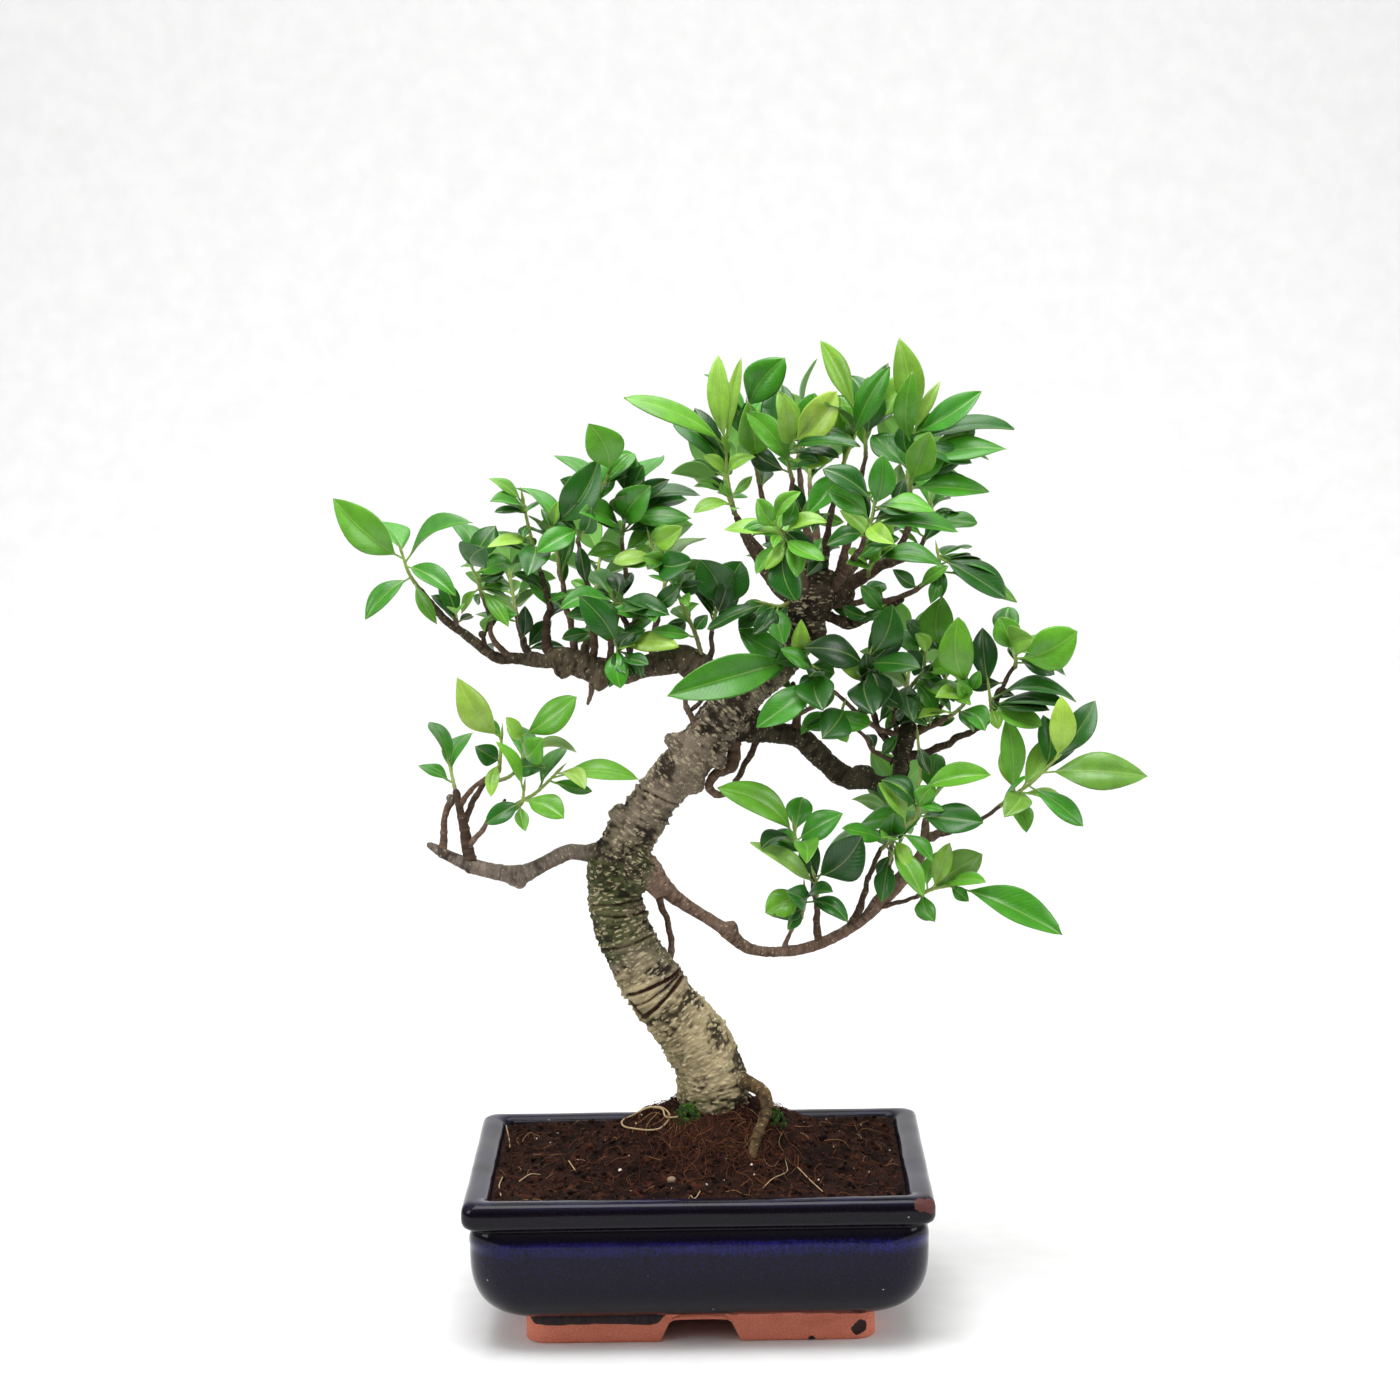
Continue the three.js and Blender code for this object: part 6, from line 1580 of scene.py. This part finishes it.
def turned_tip(foot, tip, size, swing, tilt):
    """The tip after the leaf shrinks, swings sideways and tilts to front or back."""
    run = turned((tip - foot) * size, np.array([0.0, 1.0, 0.0]), swing)
    level = unit(np.array([-run[2], 0.0, run[0]]))
    return turned(run, level, tilt) + foot


def stem_point(path, share):
    """A point at a share of a stem's length."""
    at = np.clip(share, 0, 1) * (len(path) - 1)
    return np.array([np.interp(at, np.arange(len(path)), path[:, k]) for k in range(3)])


def corners_of(node):
    """A search tree over the corners of a CAD node, in drawing millimetres."""
    points = (coordinates(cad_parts[node].data) - SHIFT) / MM
    tree = kdtree.KDTree(len(points))
    for i, point in enumerate(points):
        tree.insert(point, i)
    tree.balance()
    return tree


def standing_place(tree, path, leaf):
    """Foot, tip and size of a leaf, as the shoot's solid has it."""
    share, x, y, z, width, _, _ = leaf
    tip = np.array([x, y, z], float)
    if width < LEAST_SOLID_WIDTH:
        return stem_point(path, share), tip, 1.0
    for slide in SLIDES:
        foot = stem_point(path, min(max(share + slide, 0.1), 1))
        for size, swing, tilt in itertools.product(SIZES, SWINGS, TILTS):
            place = turned_tip(foot, tip, size, swing, tilt)
            if tree.find(place)[2] < MATCH:
                return foot, place, size
    print("no corner found for the leaf at", tip)
    return stem_point(path, share), tip, 1.0


# %% [markdown]
# ## One leaf
# A leaf of this fig is leathery: a wedge-shaped base, widest past its middle, a blunt end
# with a tiny point, folded a little along the midrib and arched from stalk to tip. It is
# drawn as two sheets that meet at the margin, so it is a closed shape with real
# thickness, and the stalk runs on under the blade as the midrib's ridge.

# %% The blade's grid
BLADE_ROWS, BLADE_COLUMNS = 17, 11
BLADE_START = 0.11
LEAF_THICKNESS = 0.62
# The folded and curled blade looks narrower than the table's flat width.
SLIMNESS = 0.9
# How far a leaf arches, as a share of its length: the least, and how that grows with the
# number from 0 to 6 that sets the phase of its wavy margin.
LEAST_ARCH, MORE_ARCH = 0.06, 0.017
# How far a leaf may bend sideways, as a share of its width.
SICKLE = 1.1


def blade_width(share, blunt):
    """Half width of the blade as a share of its widest, from base to tip."""
    share = np.clip(share, 0, 1)
    full = np.maximum(np.sin(math.pi * share ** (1.02 + 0.16 * blunt)), 0)
    point = 1 - 0.45 * ease(0.92, 1.0, share) * ease(0, 0.5, blunt)
    return full ** (1.02 - (0.1 + 0.3 * blunt) * share) * point


def blade_faces():
    """Quads of the upper sheet, then of the lower, which shares the margin's points."""
    upper = np.arange(BLADE_ROWS * BLADE_COLUMNS).reshape(BLADE_ROWS, BLADE_COLUMNS)
    lower = upper.copy()
    inner = (BLADE_ROWS - 2) * (BLADE_COLUMNS - 2)
    lower[1:-1, 1:-1] = BLADE_ROWS * BLADE_COLUMNS + np.arange(inner).reshape(BLADE_ROWS - 2, -1)
    faces = []
    for sheet, flip in ((upper, False), (lower, True)):
        quads = np.stack([sheet[:-1, :-1], sheet[:-1, 1:], sheet[1:, 1:], sheet[1:, :-1]], -1)
        quads = quads.reshape(-1, 4)
        faces += (quads[:, ::-1] if flip else quads).tolist()
    return faces


BLADE_FACES = blade_faces()
even = np.linspace(0, 1, BLADE_ROWS)
crowded = np.sin(np.linspace(-1.35, 1.35, BLADE_COLUMNS)) / math.sin(1.35)
ROW_SHARE, ACROSS = np.meshgrid((even + (1 - np.cos(math.pi * even)) / 2) / 2, crowded, indexing="ij")


def leaf_frame(foot, tip, roll):
    """Unit vectors along the leaf, to its side and out of its upper face."""
    run = unit(tip - foot)
    facing = np.array([0.0, -math.cos(math.radians(roll)), math.sin(math.radians(roll))])
    side = unit(np.cross(run, facing))
    return run, side, np.cross(side, run)


def leaf_shape(foot, tip, width, roll, character):
    """Points of both sheets, and the numbers that the finish reads."""
    run, side, upper = leaf_frame(foot, tip, roll)
    length = np.linalg.norm(tip - foot)
    width = width * SLIMNESS
    fold, curl, wave, phase, sweep, blunt = character
    share = BLADE_START + (1 - BLADE_START) * ROW_SHARE
    half = np.maximum(blade_width(ROW_SHARE, blunt) * width / 2, 0.12)
    arch = LEAST_ARCH + MORE_ARCH * phase
    bow = arch * length * 4 * share * (1 - share)
    slope = arch * 4 * (1 - 2 * share)
    out = np.abs(ACROSS)
    lift = half * (fold * out - curl * out**2.5)
    lift += wave * width * 0.05 * np.sin(share * 9 + phase + np.sign(ACROSS)) * out**2
    lift -= 0.35 * np.exp(-((ACROSS * half / 0.9) ** 2)) * np.sin(math.pi * ROW_SHARE) ** 0.5
    bend = sweep * width * (share * (1 - share)) * SICKLE
    ahead = run[None, None] + upper[None, None] * slope[..., None]
    ahead = unit(ahead)
    away = np.cross(side, ahead)
    middle = foot + run * (share * length)[..., None] + upper * bow[..., None]
    middle = middle + side * bend[..., None]
    top = middle + side * (half * ACROSS)[..., None] + away * lift[..., None]
    depth = LEAF_THICKNESS * (0.35 + 0.65 * (1 - out**2)) * np.minimum(1, half / 3)
    under = top - away * depth[..., None]
    points = np.vstack([top.reshape(-1, 3), under[1:-1, 1:-1].reshape(-1, 3)])

    def both(values):
        return np.concatenate([values.ravel(), values[1:-1, 1:-1].ravel()])

    sheet = np.concatenate([np.zeros(top.shape[0] * top.shape[1]), np.ones(under[1:-1, 1:-1].size // 3)])
    numbers = {
        "from_rib": both(np.abs(ACROSS) * half),
        "from_edge": both((1 - out) * half + np.where(ROW_SHARE > 0.97, 0, 0.05)),
        "vein": both(share * length / 3.1 - out * half / 2.6),
        "under": sheet,
    }
    ridge = middle[:, BLADE_COLUMNS // 2] - away[:, BLADE_COLUMNS // 2] * 0.55
    return points, numbers, ridge


# %% [markdown]
# ## Tones of leaf
# Young leaves are yellow-green and thin, full-grown ones a saturated green, and the old
# inner ones dark and bluish. The tones also carry painted light and shade: leaves inside
# the pads have the dark tones partly for their shade, and lit leaves have lighter tones.
# A letter in the table gives each leaf's tone, and a little seeded variation keeps two
# neighbours from matching.

# %% The tones
# The dark tones d and k are partly painted shade on leaves inside the pads, and the light tones are partly
# painted light on lit leaves.
AGE_AND_LIGHT_TONES = {
    "y": "#b2d95c", "n": "#94ca49", "l": "#6bb232", "m": "#489b25", "d": "#286d1b",
    "k": "#1b5017", "o": "#7cae41", "p": "#98c35f",
}
# One tone darker for leaves set back in a pad: partly older green, partly painted shade.
SHADED_DARKER_TONE = {"y": "n", "n": "l", "l": "m", "m": "d", "d": "k", "k": "k", "o": "l", "p": "l"}
YOUNG_STEM, OLD_STEM = np.array(rgb("#a4bd5c")[:3]), np.array(rgb("#7c7a45")[:3])


def leaf_tint(letter, draw):
    """The tone's colour, varied a little in brightness and warmth."""
    colour = np.array(rgb(AGE_AND_LIGHT_TONES[letter])[:3]) * draw.uniform(0.86, 1.14)
    return colour * np.array([draw.uniform(0.86, 1.06), 1.0, draw.uniform(0.7, 1.05)])


# %% A shoot: stem, buds, stalks and leaves
# A bud's reach beyond the stem's end, and its thickness there.
BUD_SHAPE = [(-1, 1.2), (1.5, 1.9), (4, 1.5), (7, 0.7), (9, 0.2)]


def plain_numbers(count, far=9.0):
    """What stems store where leaves store their veins."""
    return {"from_rib": np.full(count, far), "from_edge": np.full(count, far),
            "vein": np.zeros(count), "under": np.zeros(count)}


def grow_stem(bundle, path, draw):
    """The green stem, swollen where leaves were and ending in a pointed bud."""
    body_path = path.copy()
    steps = np.arange(len(path)) / max(1, len(path) - 1)
    rings = np.exp(-((((steps * len(path) / 6) % 1 - 0.5) * 6 / 1.2) ** 2))
    body_path[:, 3] *= 1 + 0.16 * rings
    points, faces, share = tube(body_path, 8)
    tint = OLD_STEM + (YOUNG_STEM - OLD_STEM) * ease(0, 0.6, share)[:, None]
    bundle.add(points, faces, tint=tint, **plain_numbers(len(points)))
    ahead = unit(path[-1, :3] - path[-2, :3])
    bud = [[*(path[-1, :3] + ahead * reach), thickness] for reach, thickness in BUD_SHAPE]
    points, faces, _ = tube(smooth_path(bud, 1.0), 8)
    bundle.add(points, faces, tint=YOUNG_STEM * draw.uniform(0.8, 1.1), **plain_numbers(len(points)))


def grow_leaf(bundle, foot, tip, width, roll, letter, draw):
    """One leaf with its stalk."""
    character = (draw.uniform(0.2, 0.62), draw.uniform(0.08, 0.4), draw.uniform(0.2, 1),
                 draw.uniform(0, 6), draw.uniform(-1, 1), draw.uniform(0.0, 0.9))
    points, numbers, ridge = leaf_shape(foot, tip, width, roll, character)
    tint = leaf_tint(letter, draw)
    bundle.add(points, BLADE_FACES, tint=tint, **numbers)
    start = ridge[0]
    neck = [[*(foot + (start - foot) * k), w] for k, w in ((0.0, 1.4), (0.35, 1.15), (0.75, 1.1))]
    rows = len(ridge)
    under = [[*ridge[i], 1.15 - 0.9 * i / rows] for i in range(0, rows - 4, 3)]
    points, faces, share = tube(smooth_path(neck + under, 1.8), 6)
    stalk = YOUNG_STEM * 0.55 + tint * 0.6
    bundle.add(points, faces, tint=stalk, **plain_numbers(len(points)))


# %% [markdown]
# ## Leaf finish
# A waxy leaf needs three things: a pale midrib and margin, faint side veins that show in
# its gloss, and an underside that is lighter and duller than its top.

# %% The leaf's finish
def leaf_finish():
    leaf = Finish("waxy fig leaf", Specular_IOR_Level=0.42, Coat_Roughness=0.15, Coat_Weight=0.1)
    tint = leaf.vector("tint")
    under = leaf.value("under")
    blotch = leaf.grain(90, 4, 0.6)
    fine = leaf.grain(900, 3, 0.6)
    shade = (blotch * 0.7 + fine * 0.3).within(0.25, 0.75).blend(rgb("#cfcfcf"), rgb("#ffffff"))
    colour = tint * shade
    folded = {0: leaf.value("vein"), 1: 0.5}
    vein = leaf.wire.node("ShaderNodeMath", {"operation": "PINGPONG"}, folded)
    veins = vein.within(0.14, 0.0) * leaf.value("from_rib").within(0.4, 1.4)
    pale = tint.node("ShaderNodeMix", {"data_type": "RGBA"}, {0: 0.5, 6: tint, 7: rgb("#c9db85")}, 2)
    soft = tint.node("ShaderNodeMix", {"data_type": "RGBA"}, {0: 0.32, 6: tint, 7: rgb("#a4c070")}, 2)
    colour = (veins * 0.05).blend(colour, pale)
    colour = (under * 0.85).blend(colour, soft)
    rib = leaf.value("from_rib").within(0.55, 0.15)
    colour = (rib * 0.42).blend(colour, pale)
    edge = leaf.value("from_edge").within(0.32, 0.1)
    colour = (edge * 0.55).blend(colour, pale)
    roughness = 0.3 + under * 0.28 + fine * 0.08
    relief = leaf.relief(veins * -0.18 + fine * 0.1 + blotch * 0.25, 0.3)
    return leaf.feed(Base_Color=colour, Roughness=roughness, Normal=relief)


leaf_material = leaf_finish()

# %% [markdown]
# The solids hold the leaves that can be told apart. On the real tree the pads are denser:
# small old leaves fill the room behind and between them. They are grown here from pairs
# of neighbours in the same shoot, shorter and set back, so a shoot keeps its size. Their
# tone is one step darker: partly their older green, partly painted shade inside the pad.

# %% Filling leaves between neighbours
# A green stem's thickness at its foot and at its end, and the shortest filling leaf.
STEM_THICKNESS, SHORTEST_LEAF = (2.5, 1.5), 12
# How many filling leaves a shoot gets for each leaf of the table, by the start of its name.
FILLING = {"left_pad": 1.3, "inner_left": 2.4, "left_branch": 1.3, "left_back": 1.2, "centre": 1.9,
           "crown": 1.3, "trunk_top": 1.0, "right_pad": 1.2, "low_right_shoot": 0.4,
           "low_right_back": 0.8}


def filling_leaves(name, path, placed, draw):
    """Foot, tip, width, roll and tone of the leaves that thicken a shoot."""
    share = next((share for start, share in FILLING.items() if name.startswith(start)), 0)
    low, high = np.min([tip for _, tip, *_ in placed], 0), np.max([tip for _, tip, *_ in placed], 0)
    for _ in range(round(share * len(placed))):
        first, second = draw.choice(len(placed), 2, replace=False)
        foot = stem_point(path, draw.uniform(0.05, 1.0))
        mix = draw.uniform(0.25, 0.75)
        ahead = unit(placed[first][1] - placed[first][0]) * mix
        ahead = ahead + unit(placed[second][1] - placed[second][0]) * (1 - mix)
        ahead = unit(unit(ahead) + draw.normal(size=3) * [0.35, 0.35, 0.3] + [0, 0.25, -0.1])
        spans = [np.linalg.norm(placed[k][1] - placed[k][0]) for k in (first, second)]
        length = min(spans) * draw.uniform(0.6, 0.95)
        tip = np.clip(foot + ahead * length, low, high)
        if np.linalg.norm(tip - foot) > SHORTEST_LEAF:
            width = min(placed[first][2], placed[second][2], 0.62 * length) * draw.uniform(0.7, 0.95)
            roll = placed[first][3] * mix + placed[second][3] * (1 - mix) + draw.normal() * 18
            yield foot, tip, width, roll, SHADED_DARKER_TONE[placed[first][4]]


leaves_grown = filled = 0
for order, (name, (stem, leaves)) in enumerate(SHOOTS.items()):
    draw = np.random.default_rng(1000 + order)
    path = smooth_path(stem, 0.6)
    path = np.column_stack([path, np.linspace(*STEM_THICKNESS, len(path))])
    tree = corners_of(name)
    shoot = Bundle()
    grow_stem(shoot, path, draw)
    placed = []
    for leaf in leaves:
        foot, tip, size = standing_place(tree, path, leaf)
        placed.append((foot, tip, leaf[4] * size, leaf[5], leaf[6]))
        grow_leaf(shoot, *placed[-1], draw)
    for extra in filling_leaves(name, path, placed, draw):
        grow_leaf(shoot, *extra, draw)
        filled += 1
    shoot.build(f"leaves_{name}", leaf_material, "leaf", [name])
    leaves_grown += len(leaves)
print("leaves of the table:", leaves_grown, "and filling leaves:", filled)

# %% [markdown]
# Old twigs inside the pads also carry small leaves of their own, right down to the thick
# wood. They are what hides the twigs on the real tree.

# %% Small leaves along the twigs of the upper pads
# Fewest and most small leaves on one twig.
FEWEST, MOST = 2, 5


def small_leaves():
    """Short leaves along every twig that stands in one of the upper pads."""
    bundle, draw = Bundle(), np.random.default_rng(77)
    count = 0
    for points in TWIGS:
        path = smooth_path(points, 0.6)
        x, _, z = path[:, :3].mean(0)
        if not (z > 378 or (x > 40 and z > 318)):
            continue
        for _ in range(draw.integers(FEWEST, MOST + 1)):
            foot = stem_point(path, draw.uniform(0.25, 1.0))
            ahead = unit(draw.normal(size=3) * [1, 0.9, 0.35] + [0, -0.15, 0.5])
            length = draw.uniform(15, 27)
            # Mostly dark tones: partly the leaves' own older green, partly painted shade deep inside the
            # pads.
            tone = "mdldmk"[draw.integers(6)]
            grow_leaf(bundle, foot, foot + ahead * length, length * draw.uniform(0.4, 0.5),
                      draw.uniform(10, 80), tone, draw)
            count += 1
    print("small leaves on the twigs:", count)
    bundle.build("small_twig_leaves", leaf_material, "leaf")


small_leaves()

# %% [markdown]
# ## Floor, light and camera
# The tree stands on a plain pale floor that curves up behind it, so that there is no
# horizon. One broad lamp from above and two from the sides give soft light, a fourth
# lights the wall, and a pale sky fills the shadows.

# %% The floor
# Its front edge, where it starts to bend, the bend's radius, the wall's top and half its
# width, in metres.
FLOOR_FRONT, BEND_START, BEND_RADIUS, WALL_TOP, HALF_WIDTH = -0.75, 1.2, 0.8, 4.0, 5.0
BEND_STEPS = 16


def backdrop():
    """A floor that sweeps up into a wall."""
    paper = Finish("pale backdrop", IOR=1.3)
    grain = paper.grain(40, 3, 0.5)
    colour = grain.within(0.2, 0.8).blend(rgb("#e8e8e8"), rgb("#eeeeee"))
    paper.feed(Base_Color=colour, Roughness=grain * 0.1 + 0.8)
    profile = [(FLOOR_FRONT, 0.0), (BEND_START, 0.0)]
    for step in range(1, BEND_STEPS + 1):
        angle = step / BEND_STEPS * math.pi / 2
        back, rise = BEND_RADIUS * math.sin(angle), BEND_RADIUS * (1 - math.cos(angle))
        profile.append((BEND_START + back, rise))
    profile.append((BEND_START + BEND_RADIUS, WALL_TOP))
    points = [(x, y, z) for x in (-HALF_WIDTH, HALF_WIDTH) for y, z in profile]
    count = len(profile)
    faces = [(i, count + i, count + i + 1, i + 1) for i in range(count - 1)]
    mesh = bpy.data.meshes.new("backdrop")
    mesh.from_pydata(points, [], faces)
    mesh.shade_smooth()
    mesh.materials.append(paper.material)
    sheet = bpy.data.objects.new("backdrop", mesh)
    bpy.context.scene.collection.objects.link(sheet)


backdrop()

# %% Lamps
AIM = Vector((0.0, 0.0, 0.3))


def lamp(name, place, size, power, colour=(1, 1, 1)):
    """A square area lamp that looks at the tree."""
    light = bpy.data.lights.new(name, "AREA")
    light.shape = "SQUARE"
    light.size = size
    light.energy = power
    light.color = colour
    made = bpy.data.objects.new(name, light)
    made.location = place
    made.rotation_mode = "QUATERNION"
    made.rotation_quaternion = (AIM - Vector(place)).to_track_quat("-Z", "Y")
    bpy.context.scene.collection.objects.link(made)


lamp("overhead_lamp", (-0.2, -0.5, 2.2), 1.3, 40)
lamp("left_lamp", (-2.0, -1.2, 1.3), 1.0, 20)
lamp("right_lamp", (2.0, -0.9, 1.2), 1.0, 18)
lamp("wall_lamp", (0.0, 0.9, 2.4), 1.4, 16)


def pale_sky():
    """A sky that is bright above and dim round the horizon in front."""
    world = bpy.data.worlds.new("pale_sky")
    world.use_nodes = True
    sky = Wire(world.node_tree)
    facing = sky.node("ShaderNodeTexCoord", output=0)
    upward = sky.node("ShaderNodeSeparateXYZ", None, {0: facing}, 2)
    backward = sky.node("ShaderNodeSeparateXYZ", None, {0: facing}, 1)
    bright = (upward + backward * 0.5).within(-0.35, 0.9)
    background = world.node_tree.nodes["Background"]
    shade = bright.blend(rgb("#5a5856"), rgb("#ffffff"))
    world.node_tree.links.new(shade.socket, background.inputs["Color"])
    background.inputs["Strength"].default_value = 0.75
    bpy.context.scene.world = world


pale_sky()
bpy.context.scene.view_settings.view_transform = "Standard"

# %% The camera
CAMERA_TURN, CAMERA_PITCH, CAMERA_ROLL = 0.0091, 0.14708, -0.016144
CAMERA_AWAY, CAMERA_HEIGHT, CAMERA_AIM = 1931.06, 635.09, -0.002554
SENSOR, LENS = 36.0, 89.067


def place_camera():
    """The camera at the height, distance and tilt of a portrait lens before the tree."""
    swing = CAMERA_TURN + CAMERA_AIM
    ahead = Vector((-math.sin(swing), math.cos(swing), 0))
    right = Vector((math.cos(swing), math.sin(swing), 0))
    forward = ahead * math.cos(CAMERA_PITCH) - Vector((0, 0, math.sin(CAMERA_PITCH)))
    up = ahead * math.sin(CAMERA_PITCH) + Vector((0, 0, math.cos(CAMERA_PITCH)))
    level = right * math.cos(CAMERA_ROLL) + up * math.sin(CAMERA_ROLL)
    above = up * math.cos(CAMERA_ROLL) - right * math.sin(CAMERA_ROLL)
    data = bpy.data.cameras.new("camera")
    data.sensor_width = SENSOR
    data.lens = LENS
    camera = bpy.data.objects.new("camera", data)
    place = [math.sin(CAMERA_TURN) * CAMERA_AWAY, -math.cos(CAMERA_TURN) * CAMERA_AWAY, CAMERA_HEIGHT]
    camera.rotation_mode = "QUATERNION"
    axes = np.array([level, above, -forward]).T
    camera.rotation_quaternion = Matrix(axes.tolist()).to_quaternion()
    camera.location = to_metres([place])[0]
    bpy.context.scene.collection.objects.link(camera)
    bpy.context.scene.camera = camera
    print("camera at", [round(v, 3) for v in camera.location])


place_camera()
